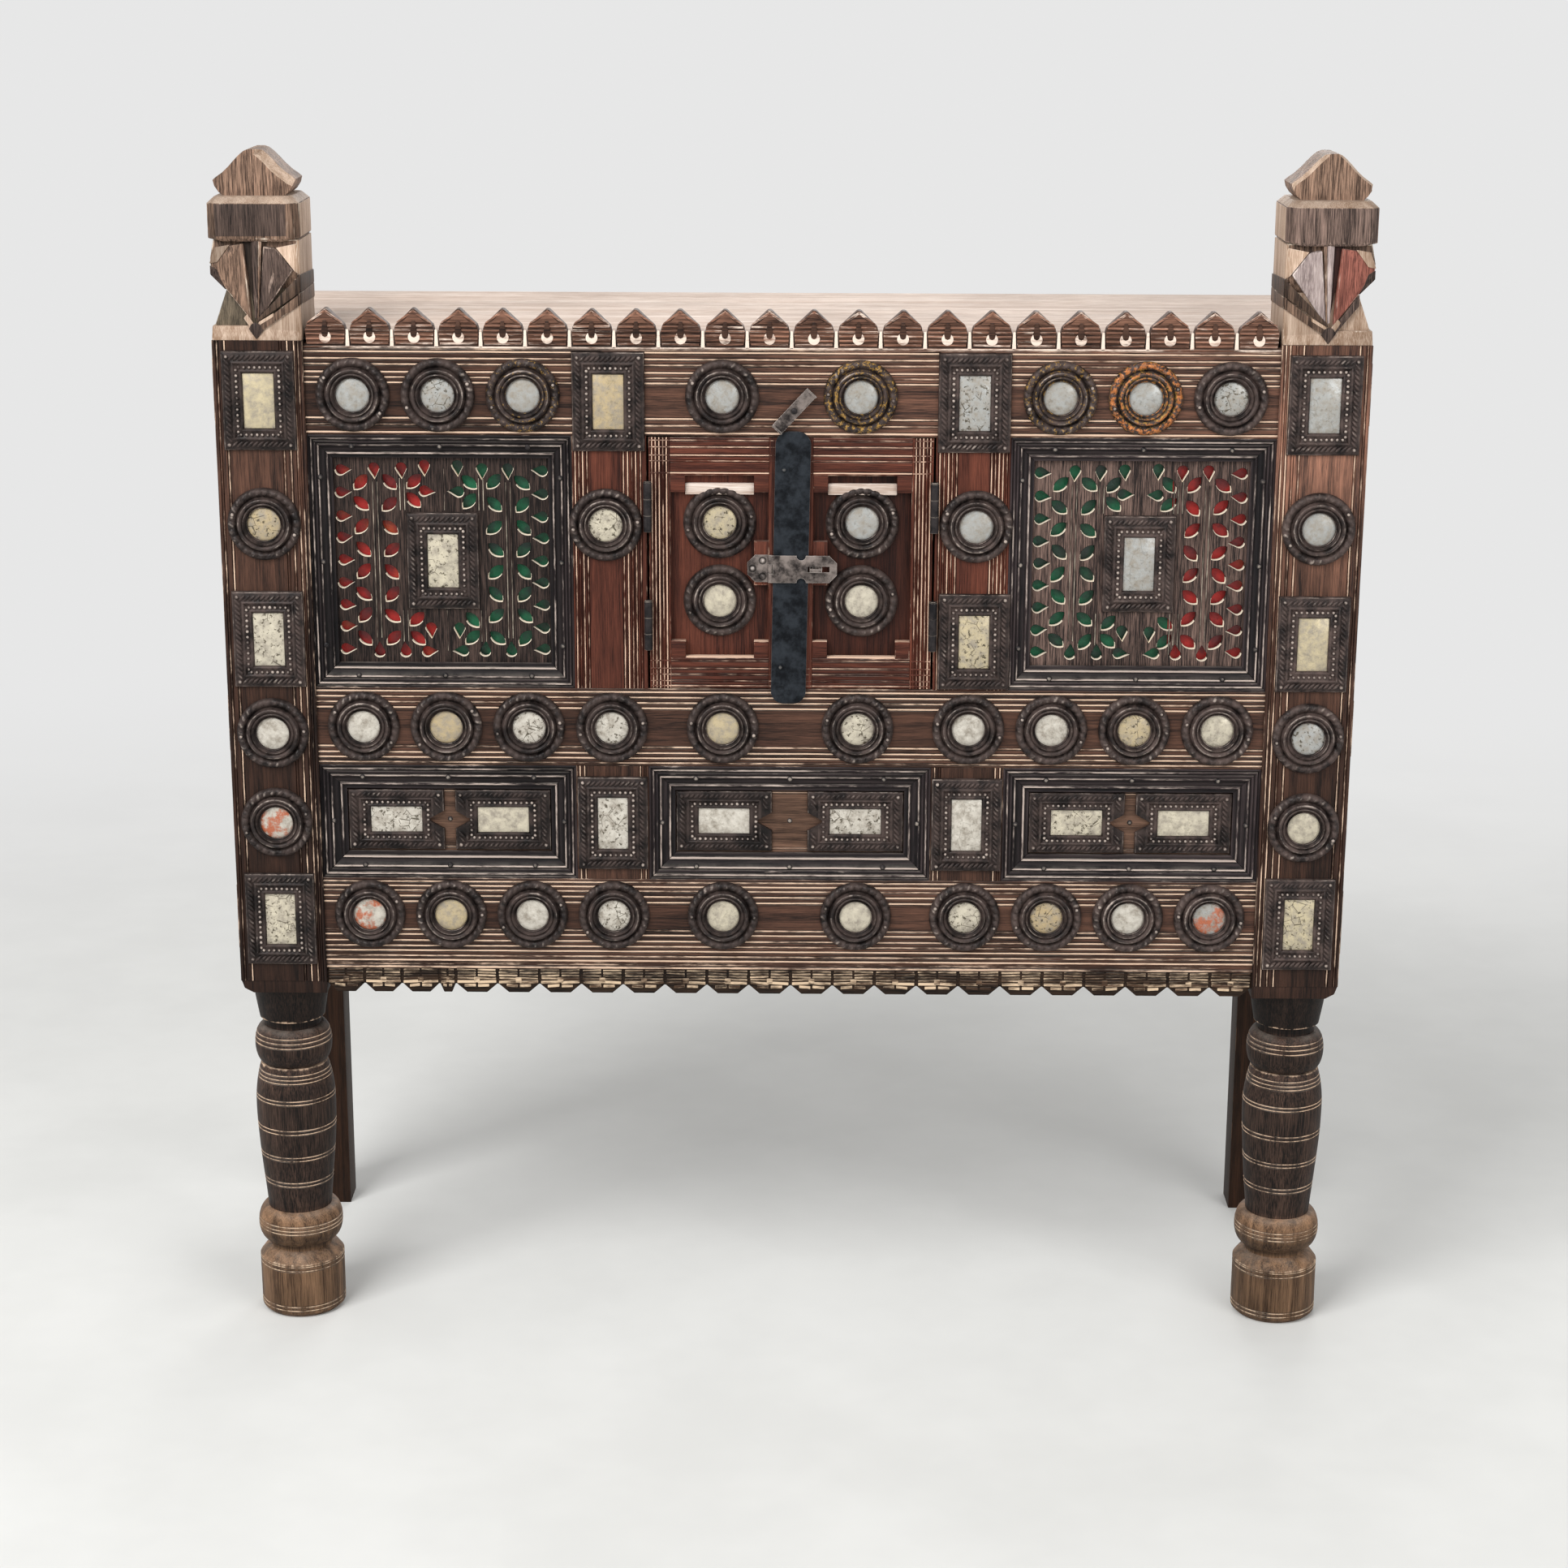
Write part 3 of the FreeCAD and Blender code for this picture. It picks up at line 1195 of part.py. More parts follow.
def cover_strip():
    """A flat strip with rounded corners, leaning a little to the right."""
    flat = doc.addObject("Part::Box", "strip_flat")
    bind(flat, "Length", s.strip_width)
    bind(flat, "Width", s.strip_thick)
    bind(flat, "Height", strip_high - strip_low)
    place(flat, -s.strip_width / 2, strip_front, (strip_low - strip_high) / 2)
    doc.recompute()
    eased = doc.addObject("Part::Fillet", "strip_eased")
    eased.Base = flat
    corners = [i for i, edge in enumerate(flat.Shape.Edges, start=1)
               if abs(edge.Vertexes[0].Y - edge.Vertexes[-1].Y) > s.strip_thick.value / 2]
    eased.Edges = [(i, s.strip_round.value, s.strip_round.value) for i in corners]
    nail_x = -s.strip_nail_side
    holes = []
    for end in (-1, 1):
        z = ((strip_high - strip_low) / 2 - s.strip_nail_end) * end
        holes.append(cylinder("strip_hole", s.screw_shank + s.pin_gap * 2, s.strip_thick + s.past * 2, nail_x,
                              left_face + s.past, z, UPRIGHT))
    strip = cut("cover_strip", eased, holes)
    return lean(strip)


def lean(item):
    """Tilt a piece drawn about the strip's middle to the strip's own lean."""
    item.Placement = Placement(Vector(0, 0, 0), Rotation(Vector(0, 1, 0), s.strip_lean.value))
    bind(item, "Placement.Base.z", (strip_low + strip_high) / 2)
    bind(item, "Placement.Rotation.Angle", s.strip_lean)
    return item


def round_headed(name, head, high, shank, length):
    """A screw or nail that lies face up, its head's seat at zero."""
    return turned(name, [
        (ZERO, -length),
        (shank / 2, -length),
        (shank / 2, ZERO),
        (head / 2, ZERO),
        (head / 2, high / 2),
        (head / 4, high),
        (ZERO, high),
    ])


STRIP_NAIL = round_headed("strip_nail", s.strip_nail_head, s.nail_dome, s.screw_shank, s.screw_length)
node("cover_strip", cover_strip())
strip_nails = []
for end in (-1, 1):
    z = ((strip_high - strip_low) / 2 - s.strip_nail_end) * end
    strip_nails.append(copy_of(STRIP_NAIL, -s.strip_nail_side, strip_front, z, UPRIGHT))
node("strip_nails", lean(group("strip_nails", strip_nails)))


# Hasp: plate and strap on a pin, with the staple on the right door

hasp_z = door_low + s.hasp_middle
hasp_low = hasp_z - s.hasp_height / 2
hasp_high = hasp_z + s.hasp_height / 2
pin_x = -s.hasp_pin_x
pin_y = left_face - s.hasp_axis
hasp_third = (s.hasp_height - s.knuckle_gap * 2) / 3
hasp_bore = s.hasp_pin + s.pin_gap * 2
HASP_SPANS = [(hasp_low + (hasp_third + s.knuckle_gap) * i,
               hasp_low + (hasp_third + s.knuckle_gap) * i + hasp_third) for i in range(3)]
strap_y = (pin_y - s.hasp_knuckle / 2, pin_y - s.hasp_knuckle / 2 + s.hasp_sheet)
plate_y = (left_face - s.hasp_sheet, left_face)
SCREW = round_headed("screw", s.screw_head, s.screw_high, s.screw_shank, s.screw_length)


def hasp_screw_places():
    """The three screws of the plate: one past the lock block, into the panel, and two beside the pin."""
    inboard = pin_x - s.hasp_knuckle - s.screw_head / 2
    outboard = ZERO - recess_in - s.door_step_wide - s.screw_shank / 2 - s.joint_gap
    spread = s.hasp_height / 2 - s.screw_head
    return [(outboard, hasp_z), (inboard, hasp_z + spread), (inboard, hasp_z - spread)]


def hasp_bored(name, pieces):
    """Pieces of the hasp joined and bored for its pin."""
    bore = cylinder(name + "_bore", hasp_bore, s.hasp_height + s.past * 2, pin_x, pin_y,
                    hasp_low - s.past)
    return cut(name, fuse(name + "_whole", pieces), [bore])


def hasp_plate():
    """The fixed plate with its middle knuckle and holes for three screws."""
    end_x = pin_x - s.hasp_plate_long
    edge_x = pin_x - s.hasp_knuckle / 2 - s.knuckle_gap
    sheet_piece = slab("hasp_sheet_piece", [
        (edge_x, hasp_low), (edge_x, hasp_high), (end_x + s.hasp_clip, hasp_high),
        (end_x, hasp_high - s.hasp_clip), (end_x, hasp_low + s.hasp_clip), (end_x + s.hasp_clip, hasp_low),
    ], plate_y)
    z = HASP_SPANS[1]
    tab = box("hasp_tab", (edge_x, pin_x), (plate_y[0], pin_y + s.hasp_knuckle / 2), z)
    knuckle = cylinder("hasp_plate_knuckle", s.hasp_knuckle, z[1] - z[0], pin_x, pin_y, z[0])
    holes = [cylinder("hasp_hole", s.screw_shank + s.pin_gap * 2, s.hasp_sheet + s.past * 2, x,
                      left_face + s.past, hole_z, UPRIGHT) for x, hole_z in hasp_screw_places()]
    return cut("hasp_plate", hasp_bored("hasp_plate_bored", [sheet_piece, tab, knuckle]), holes)


def hasp_strap():
    """The swinging strap with its slot, two notches and outer knuckles."""
    end_x = pin_x + s.hasp_reach
    edge_x = pin_x + s.hasp_knuckle / 2
    sheet_piece = slab("strap_sheet", [
        (edge_x, hasp_low), (end_x - s.hasp_clip, hasp_low), (end_x, hasp_low + s.hasp_clip),
        (end_x, hasp_high - s.hasp_clip), (end_x - s.hasp_clip, hasp_high), (edge_x, hasp_high),
    ], strap_y)
    pieces = [sheet_piece]
    for z in (HASP_SPANS[0], HASP_SPANS[2]):
        pieces.append(box("strap_tab", (pin_x, edge_x), strap_y, z))
        pieces.append(cylinder("strap_knuckle", s.hasp_knuckle, z[1] - z[0], pin_x, pin_y, z[0]))
    strap = hasp_bored("strap_bored", pieces)
    slot = box("strap_slot", (pin_x + s.slot_start, pin_x + s.slot_start + s.slot_long),
               grown(strap_y, s.past), (hasp_z - s.slot_high / 2, hasp_z + s.slot_high / 2))
    notches = [cylinder("strap_notch", s.hasp_notch * 2, s.hasp_sheet + s.past * 2, pin_x + s.hasp_notch_at,
                        strap_y[1] + s.past, z, UPRIGHT) for z in (hasp_low, hasp_high)]
    return cut("hasp_strap", strap, [slot] + notches)


def staple():
    """A loop on a small plate, standing through the strap's slot."""
    legs_x = (s.staple_x - s.staple_wide / 2, s.staple_x + s.staple_wide / 2)
    wire_z = (hasp_z - s.staple_wire / 2, hasp_z + s.staple_wire / 2)
    tip_y = face - s.staple_height
    plate = box("staple_plate", grown((s.staple_x, s.staple_x), s.staple_plate_wide / 2),
                (face - s.staple_plate, face),
                (hasp_z - s.staple_plate_high / 2, hasp_z + s.staple_plate_high / 2))
    hoop = box("staple_hoop", legs_x, (tip_y, face), wire_z)
    hole = box("staple_hole", grown(legs_x, -s.staple_wire), (tip_y + s.staple_wire, face - s.staple_plate),
               grown(wire_z, s.past))
    return fuse("staple", [plate, cut("staple_loop", hoop, [hole])])


node("hasp_plate", hasp_plate())
node("hasp_pin", cylinder("hasp_pin_bar", s.hasp_pin, s.hasp_height, pin_x, pin_y, hasp_low))
node("hasp_screws", group("hasp_screws", [copy_of(SCREW, x, plate_y[0], z, UPRIGHT)
                                          for x, z in hasp_screw_places()]))
node("hasp_strap", hasp_strap())
node("staple", staple())


# Turn button on the top rail, which swings over the strip's upper end

button_back = strip_front - s.button_clear
button_front = button_back - s.button_thick
button_middle = top_low + s.button_z


def turn_button():
    """A flat plate with both ends turned up, bored for its screw."""
    plate = box("button_plate", grown((ZERO, ZERO), s.button_long / 2), (button_front, button_back),
                grown((ZERO, ZERO), s.button_wide / 2))
    ends = [box("button_end", across(side, s.button_long / 2 - s.button_thick, s.button_long / 2),
                (button_front - s.button_flange, button_front), grown((ZERO, ZERO), s.button_wide / 2))
            for _, side in SIDES]
    bore = cylinder("button_bore", s.button_screw + s.pin_gap * 2, s.button_thick + s.past * 2, ZERO,
                    button_back + s.past, ZERO, UPRIGHT)
    button = cut("turn_button", fuse("button_whole", [plate] + ends), [bore])
    button.Placement = Placement(Vector(0, 0, 0), Rotation(Vector(0, -1, 0), s.button_slope.value))
    bind(button, "Placement.Base.x", s.button_x)
    bind(button, "Placement.Base.z", button_middle)
    bind(button, "Placement.Rotation.Angle", s.button_slope)
    return button


def button_screw():
    """A shouldered screw whose collar holds the button off the rail."""
    gap = s.pin_gap * 2
    bar = [
        ("button_collar", s.button_collar, face, face - button_back - gap),
        ("button_bar", s.button_screw, face + s.button_bite, face + s.button_bite - button_front + gap),
        ("button_head", s.button_head, button_front - gap, s.button_head_high),
    ]
    return fuse("button_screw", [cylinder(name, size, length, s.button_x, y, button_middle, UPRIGHT)
                                 for name, size, y, length in bar])


node("turn_button", turn_button())
node("button_screw", button_screw())


# Build, test and write every piece

doc.recompute()
faults = [item.Name for item in doc.Objects if "Invalid" in item.State or "Error" in item.State]
if faults:
    raise RuntimeError(f"not built: {faults}")
os.makedirs("parts", exist_ok=True)
shapes = {}
for item in NODES:
    shape = Part.getShape(item)
    if shape.isNull() or not shape.isValid():
        raise RuntimeError(f"bad shape: {item.Label}")
    shapes[item.Label] = shape
for label, shape in shapes.items():
    shape.exportStep(f"parts/{label}.step")
print(f"{len(shapes)} pieces, {sum(len(shape.Solids) for shape in shapes.values())} solids")
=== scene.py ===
# %% [markdown]
# # A carved dowry cabinet
# The cabinet is a wide carved front on two posts, with a plain boarded case behind it. Its solids come
# ready made, each joint in place. This lesson dresses them: scored lines, carved finials, pressed tins,
# aged mirrors, worn wood. Every new piece is built in millimetres from the solid that it stands for, so
# that it can't drift.

# %% The solids and their box
import math
import random
import bpy
import bmesh
from mathutils import Matrix, Vector, noise


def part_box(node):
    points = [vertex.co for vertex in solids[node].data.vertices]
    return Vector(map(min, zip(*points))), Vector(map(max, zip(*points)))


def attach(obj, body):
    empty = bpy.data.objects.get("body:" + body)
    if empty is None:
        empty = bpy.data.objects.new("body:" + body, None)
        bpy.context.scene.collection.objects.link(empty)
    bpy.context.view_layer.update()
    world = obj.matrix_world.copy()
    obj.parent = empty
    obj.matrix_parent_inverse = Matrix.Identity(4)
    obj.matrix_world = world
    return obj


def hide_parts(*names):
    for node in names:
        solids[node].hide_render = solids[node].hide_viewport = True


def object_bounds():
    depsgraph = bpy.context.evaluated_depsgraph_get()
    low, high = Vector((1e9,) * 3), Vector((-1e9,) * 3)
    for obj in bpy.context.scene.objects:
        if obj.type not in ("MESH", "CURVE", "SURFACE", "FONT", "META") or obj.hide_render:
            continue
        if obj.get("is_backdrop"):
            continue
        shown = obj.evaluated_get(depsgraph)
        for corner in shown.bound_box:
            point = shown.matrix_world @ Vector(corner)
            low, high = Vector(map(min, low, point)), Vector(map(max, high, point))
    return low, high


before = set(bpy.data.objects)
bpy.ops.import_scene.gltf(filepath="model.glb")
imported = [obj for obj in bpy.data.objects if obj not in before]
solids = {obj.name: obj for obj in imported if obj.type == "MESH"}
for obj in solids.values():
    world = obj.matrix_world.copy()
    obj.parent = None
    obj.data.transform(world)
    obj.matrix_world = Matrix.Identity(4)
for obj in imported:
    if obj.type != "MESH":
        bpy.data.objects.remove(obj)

MM = 0.001
solid_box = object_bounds()
print(len(solids), "solids in a box of", [round(high - low, 4) for low, high in zip(*solid_box)])

# %% [markdown]
# ## Finishes
# Old wood shows three things at once: its grain, pale bare ridges where hands and cloths rubbed the dark
# finish away, and dust on whatever faces up. Several woods here share these, so each effect is a node
# group, built once, and every wood places it with its own values.

# %% A short way to add shader nodes


def colour(red, green, blue):
    """A colour given as it looks on a screen, 0 to 255, as the linear values that a shader takes."""
    def linear(value):
        value /= 255
        return value / 12.92 if value <= 0.04045 else ((value + 0.055) / 1.055) ** 2.4
    return (linear(red), linear(green), linear(blue), 1.0)


def add_node(tree, kind, inputs=None, **settings):
    """A node with its settings; an input given as a socket is linked, and any other value is set on it."""
    made = tree.nodes.new(kind)
    for name, value in settings.items():
        setattr(made, name, value)
    for name, value in (inputs or {}).items():
        if isinstance(value, bpy.types.NodeSocket):
            tree.links.new(value, made.inputs[name])
        else:
            made.inputs[name].default_value = value
    return made


def new_group(name, inputs, outputs):
    """An empty shader node group with named sockets, and its inner ends."""
    tree = bpy.data.node_groups.new(name, "ShaderNodeTree")
    for label, kind in inputs.items():
        tree.interface.new_socket(label, in_out="INPUT", socket_type="NodeSocket" + kind)
    for label, kind in outputs.items():
        tree.interface.new_socket(label, in_out="OUTPUT", socket_type="NodeSocket" + kind)
    return tree, tree.nodes.new("NodeGroupInput").outputs, tree.nodes.new("NodeGroupOutput").inputs


print("nodes and groups can be added")

# %% [markdown]
# Five small sums come up again and again in shaders: a mix of colours, a sum, a soft step, a change of
# range and noise. Each gets a short name, so that a finish below reads like its recipe.

# %% Small sums for shaders


def mix_colour(tree, factor, first, second):
    """The colour output of a mix of two colours."""
    return add_node(tree, "ShaderNodeMix", {0: factor, 6: first, 7: second}, data_type="RGBA").outputs[2]


def sum_up(tree, operation, *values):
    """The output of a math node."""
    return add_node(tree, "ShaderNodeMath", dict(enumerate(values)), operation=operation).outputs[0]


def step_up(tree, value, low, high):
    """0 below low, 1 above high, smooth between them."""
    return add_node(tree, "ShaderNodeMapRange", {"Value": value, "From Min": low, "From Max": high},
                    interpolation_type="SMOOTHSTEP").outputs["Result"]


def shift_range(tree, value, low, high, first, last, clamp=True):
    """A value that runs from low to high, made to run from first to last."""
    ends = {"Value": value, "From Min": low, "From Max": high, "To Min": first, "To Max": last}
    return add_node(tree, "ShaderNodeMapRange", ends, clamp=clamp).outputs["Result"]


def speckle(tree, vector, scale, detail=4.0, rough=0.6, shift=0.0):
    """Noise from 0 to 1."""
    return add_node(tree, "ShaderNodeTexNoise", {"Vector": vector, "Scale": scale, "Detail": detail,
                                                 "Roughness": rough, "Distortion": shift}).outputs["Fac"]


print("sums ready")

# %% [markdown]
# The grain is noise that is stretched along the board. The stretching happens in the material, because
# each piece of wood runs its own way; the group only turns stretched coordinates into two tones and a
# height for the bump.

# %% Grain group
wood_grain, given, result = new_group(
    "wood_grain", {"Vector": "Vector", "Dark": "Color", "Light": "Color", "Streak": "Float"},
    {"Color": "Color", "Height": "Float"})
broad = speckle(wood_grain, given["Vector"], 0.22, 4.0, 0.6, 0.6)
fine = speckle(wood_grain, given["Vector"], 2.4, 6.0, 0.7, 0.2)
body_tone = step_up(wood_grain, broad, 0.2, 0.85)
pores = step_up(wood_grain, fine, 0.34, 0.66)
hairs = step_up(wood_grain, speckle(wood_grain, given["Vector"], 1.9, 4.0, 0.7), 0.58, 0.74)
streaks = sum_up(wood_grain, "ADD", sum_up(wood_grain, "SUBTRACT", pores, 0.5),
                 sum_up(wood_grain, "MULTIPLY", hairs, 0.9))
tone = sum_up(wood_grain, "ADD", body_tone, sum_up(wood_grain, "MULTIPLY", streaks, given["Streak"]))
toned = add_node(wood_grain, "ShaderNodeMix", {0: sum_up(wood_grain, "MAXIMUM", tone, 0.0),
                                               6: given["Dark"], 7: given["Light"]},
                 data_type="RGBA", clamp_factor=False)
wood_grain.links.new(toned.outputs[2], result["Color"])
wood_grain.links.new(fine, result["Height"])
print("grain group with", len(wood_grain.nodes), "nodes")

# %% [markdown]
# Wear follows a mark that the meshes carry: the attribute "worn" is 1 on a ridge or an edge, 0 on a flat
# and -1 in a groove, which the woods darken: painted shade and grime. The group breaks that mark up with
# noise, so that a line fades in and out as it does on an old piece.

# %% Wear group
worn_edges, given, result = new_group(
    "worn_edges", {"Worn": "Float", "Vector": "Vector", "Patches": "Float", "Amount": "Float"},
    {"Mask": "Float"})
blots = speckle(worn_edges, given["Vector"], 0.55, 3.0, 0.6)
flecks = speckle(worn_edges, given["Vector"], 3.2, 4.0, 0.65)
broken = sum_up(worn_edges, "ADD", sum_up(worn_edges, "MULTIPLY", blots, 0.6),
                sum_up(worn_edges, "MULTIPLY", flecks, 0.4))
broken = sum_up(worn_edges, "MULTIPLY", sum_up(worn_edges, "SUBTRACT", broken, 0.5), given["Patches"])
level = sum_up(worn_edges, "ADD", sum_up(worn_edges, "MULTIPLY", given["Worn"], given["Amount"]), broken)
worn_edges.links.new(step_up(worn_edges, level, 0.42, 0.85), result["Mask"])
print("wear group with", len(worn_edges.nodes), "nodes")

# %% [markdown]
# Dust settles on what faces up and gathers unevenly. The material hands its normal to the group, and the
# group gives a mask back.

# %% Dust group
settled_dust, given, result = new_group(
    "settled_dust", {"Normal": "Vector", "Vector": "Vector", "Amount": "Float"}, {"Mask": "Float"})
facing_up = add_node(settled_dust, "ShaderNodeSeparateXYZ", {0: given["Normal"]}).outputs["Z"]
lying = step_up(settled_dust, facing_up, 0.25, 0.95)
patchy = step_up(settled_dust, speckle(settled_dust, given["Vector"], 30.0, 5.0, 0.7), 0.3, 0.7)
covered = sum_up(settled_dust, "MULTIPLY", sum_up(settled_dust, "MULTIPLY", lying, patchy), given["Amount"])
settled_dust.links.new(covered, result["Mask"])
print("dust group with", len(settled_dust.nodes), "nodes")

# %% [markdown]
# All the woods are one recipe with different tones: grain in two tones, a brightness of its own for each
# board (the attribute "shade"), which in places also holds painted light and painted shade, a darker colour
# in grooves (painted shade and grime), bare pale wood where it is worn, dust on top.

# %% The recipe for aged wood
LENGTHWAYS = (14.0, 420.0, 420.0)
UPRIGHT = (420.0, 420.0, 14.0)
DEPTHWAYS = (420.0, 14.0, 420.0)
DUST = colour(168, 158, 148)


def new_material(name):
    """A material with its tree, its Principled shader and the plain coordinates of the piece."""
    made = bpy.data.materials.new(name)
    made.use_nodes = True
    tree = made.node_tree
    plain = tree.nodes.new("ShaderNodeTexCoord").outputs["Object"]
    return made, tree, tree.nodes["Principled BSDF"], plain


def mark(tree, name):
    """A number that the mesh carries."""
    return add_node(tree, "ShaderNodeAttribute", attribute_name=name).outputs["Fac"]


def own_brightness(tree, worn):
    """A factor from the mesh's shade, 1 at a shade of 0.5, and lower where worn is negative: painted shade
    and grime in grooves and round screw heads.
    """
    shade = shift_range(tree, mark(tree, "shade"), 0.0, 1.0, 0.3, 1.7, clamp=False)
    # Negative worn darkens the colour down to a quarter: painted shade and grime in grooves.
    return sum_up(tree, "MULTIPLY", shade, shift_range(tree, worn, -1.0, 0.0, 0.25, 1.0))


def add_bump(tree, shader, height, strength, distance):
    """Gives a shader a small relief from a height."""
    bump = add_node(tree, "ShaderNodeBump", {"Height": height, "Strength": strength, "Distance": distance})
    tree.links.new(bump.outputs[0], shader.inputs["Normal"])


def aged_wood(name, dark, light, bare, along, streak=0.6, wear=0.66, patches=2.2, dust=0.3, rough=0.55,
              stain=1.0):
    """Old wood from three screen colours, with its grain along one way of the piece."""
    made, tree, shader, plain = new_material(name)
    stretched = add_node(tree, "ShaderNodeMapping", {"Vector": plain, "Scale": along}).outputs[0]
    grain = add_node(tree, "ShaderNodeGroup", node_tree=wood_grain, inputs={
        "Vector": stretched, "Dark": colour(*dark), "Light": colour(*light), "Streak": streak})
    handled = shift_range(tree, speckle(tree, plain, 7.0, 4.0, 0.6), 0.3, 0.7,
                          1 - 0.28 * stain, 1 + 0.2 * stain)
    worn = mark(tree, "worn")
    value = sum_up(tree, "MULTIPLY", handled, own_brightness(tree, worn))
    toned = add_node(tree, "ShaderNodeHueSaturation", {"Color": grain.outputs["Color"], "Value": value})
    spots = [26.0 if scale < 50 else 120.0 for scale in along]
    rubbing = add_node(tree, "ShaderNodeMapping", {"Vector": plain, "Scale": spots}).outputs[0]
    wear_mask = add_node(tree, "ShaderNodeGroup", node_tree=worn_edges, inputs={
        "Worn": worn, "Vector": rubbing, "Patches": patches, "Amount": wear}).outputs[0]
    rubbed = mix_colour(tree, wear_mask, toned.outputs[0], colour(*bare))
    normal = tree.nodes.new("ShaderNodeNewGeometry").outputs["Normal"]
    dust_mask = add_node(tree, "ShaderNodeGroup", node_tree=settled_dust, inputs={
        "Normal": normal, "Vector": plain, "Amount": dust}).outputs[0]
    tree.links.new(mix_colour(tree, dust_mask, rubbed, DUST), shader.inputs["Base Color"])
    dulled = shift_range(tree, wear_mask, 0.0, 1.0, rough, min(rough + 0.2, 0.9))
    tree.links.new(dulled, shader.inputs["Roughness"])
    shader.inputs["Specular IOR Level"].default_value = 0.15
    add_bump(tree, shader, grain.outputs["Height"], 0.35, 0.0006)
    return made


print("wood recipe ready")

# %% [markdown]
# Each wood takes a dark tone, a light one and the tone of bare wood, read from the photo. The frame
# is brown, the doors are redder, the mouldings nearly black, and the top, which was never polished, is pale.

# %% Woods
frame_tones = ((30, 21, 18), (94, 65, 52), (212, 182, 158))
door_tones = ((42, 19, 14), (104, 57, 43), (214, 180, 156))
moulding_tones = ((16, 14, 16), (56, 47, 47), (184, 168, 158))
case_tones = ((22, 13, 8), (60, 38, 25), (116, 90, 72))
frame_level = aged_wood("frame_wood_level", *frame_tones, LENGTHWAYS, wear=0.76)
frame_upright = aged_wood("frame_wood_upright", *frame_tones, UPRIGHT, wear=0.72)
door_level = aged_wood("door_wood_level", *door_tones, LENGTHWAYS, wear=0.72)
door_upright = aged_wood("door_wood_upright", *door_tones, UPRIGHT, wear=0.72)
moulding_level = aged_wood("moulding_wood_level", *moulding_tones, LENGTHWAYS, wear=0.78)
moulding_upright = aged_wood("moulding_wood_upright", *moulding_tones, UPRIGHT, wear=0.74)
panel_wood = aged_wood("panel_wood", (22, 17, 16), (76, 61, 55), (236, 222, 200), UPRIGHT,
                       streak=1.7, wear=0.9, patches=1.0)
low_panel_wood = aged_wood("low_panel_wood", (46, 33, 26), (114, 86, 70), (190, 160, 138), LENGTHWAYS)
finial_brown = aged_wood("finial_brown", (52, 39, 32), (132, 106, 89), (222, 204, 184), UPRIGHT,
                         streak=1.3, wear=0.62)
# finial_pale serves the facets that face up or inwards: partly bleached wood, partly painted light.
finial_pale = aged_wood("finial_pale", (142, 114, 92), (204, 180, 160), (232, 216, 200), UPRIGHT,
                        streak=0.7, wear=0.6)
finial_dark = aged_wood("finial_dark", (36, 28, 25), (98, 81, 73), (196, 172, 156), UPRIGHT,
                        streak=1.1, wear=0.6)
finial_neck = aged_wood("finial_neck", (54, 47, 38), (122, 108, 90), (206, 190, 168), UPRIGHT, wear=0.6)
red_lobe = aged_wood("red_lobe", (84, 48, 41), (158, 98, 84), (218, 186, 170), UPRIGHT,
                     streak=0.9, wear=0.6)
lilac_lobe = aged_wood("lilac_lobe", (112, 97, 95), (184, 168, 163), (228, 214, 206), UPRIGHT,
                       streak=0.9, wear=0.6)
leg_wood = aged_wood("leg_wood", (20, 15, 13), (66, 50, 42), (204, 174, 148), UPRIGHT,
                     streak=1.3, wear=0.74, patches=2.0)
foot_wood = aged_wood("foot_wood", (52, 37, 26), (126, 97, 73), (206, 178, 150), UPRIGHT)
crest_wood = aged_wood("crest_wood", (42, 26, 20), (150, 108, 88), (236, 216, 200), LENGTHWAYS, streak=0.8)
apron_wood = aged_wood("apron_wood", (24, 17, 14), (94, 70, 53), (214, 188, 158), LENGTHWAYS,
                       streak=0.8, wear=0.7)
case_upright = aged_wood("case_wood_upright", *case_tones, UPRIGHT, wear=0.4)
case_level = aged_wood("case_wood_level", *case_tones, LENGTHWAYS, wear=0.4)
case_depthways = aged_wood("case_wood_depthways", *case_tones, DEPTHWAYS, wear=0.4)
top_wood = aged_wood("top_wood", (194, 170, 154), (238, 222, 210), (238, 226, 215), LENGTHWAYS,
                     streak=1.0, wear=0.5, patches=0.9, dust=0.0, rough=0.75, stain=0.45)
print("woods:", [m.name for m in bpy.data.materials if "wood" in m.name])

# %% [markdown]
# The tins were pressed from thin sheet and have gone nearly black, with bare metal on what stands proud. A
# few keep flecks of gold and orange paint, which the attribute "gilt" switches on for that tin alone.

# %% Tin, steel, iron and paint


def left_paint(tree, plain, shown, first, second):
    """A colour under flecks of old paint: the first paint, or the second where the mark gilt is high."""
    painted = mark(tree, "gilt")
    paint = mix_colour(tree, step_up(tree, painted, 0.7, 0.9), colour(*first), colour(*second))
    left = sum_up(tree, "ADD", speckle(tree, plain, 240.0, 5.0, 0.75),
                  sum_up(tree, "MULTIPLY", painted, 0.12))
    flecks = sum_up(tree, "MULTIPLY", step_up(tree, left, 0.58, 0.66), step_up(tree, painted, 0.05, 0.2))
    return mix_colour(tree, flecks, shown, paint)


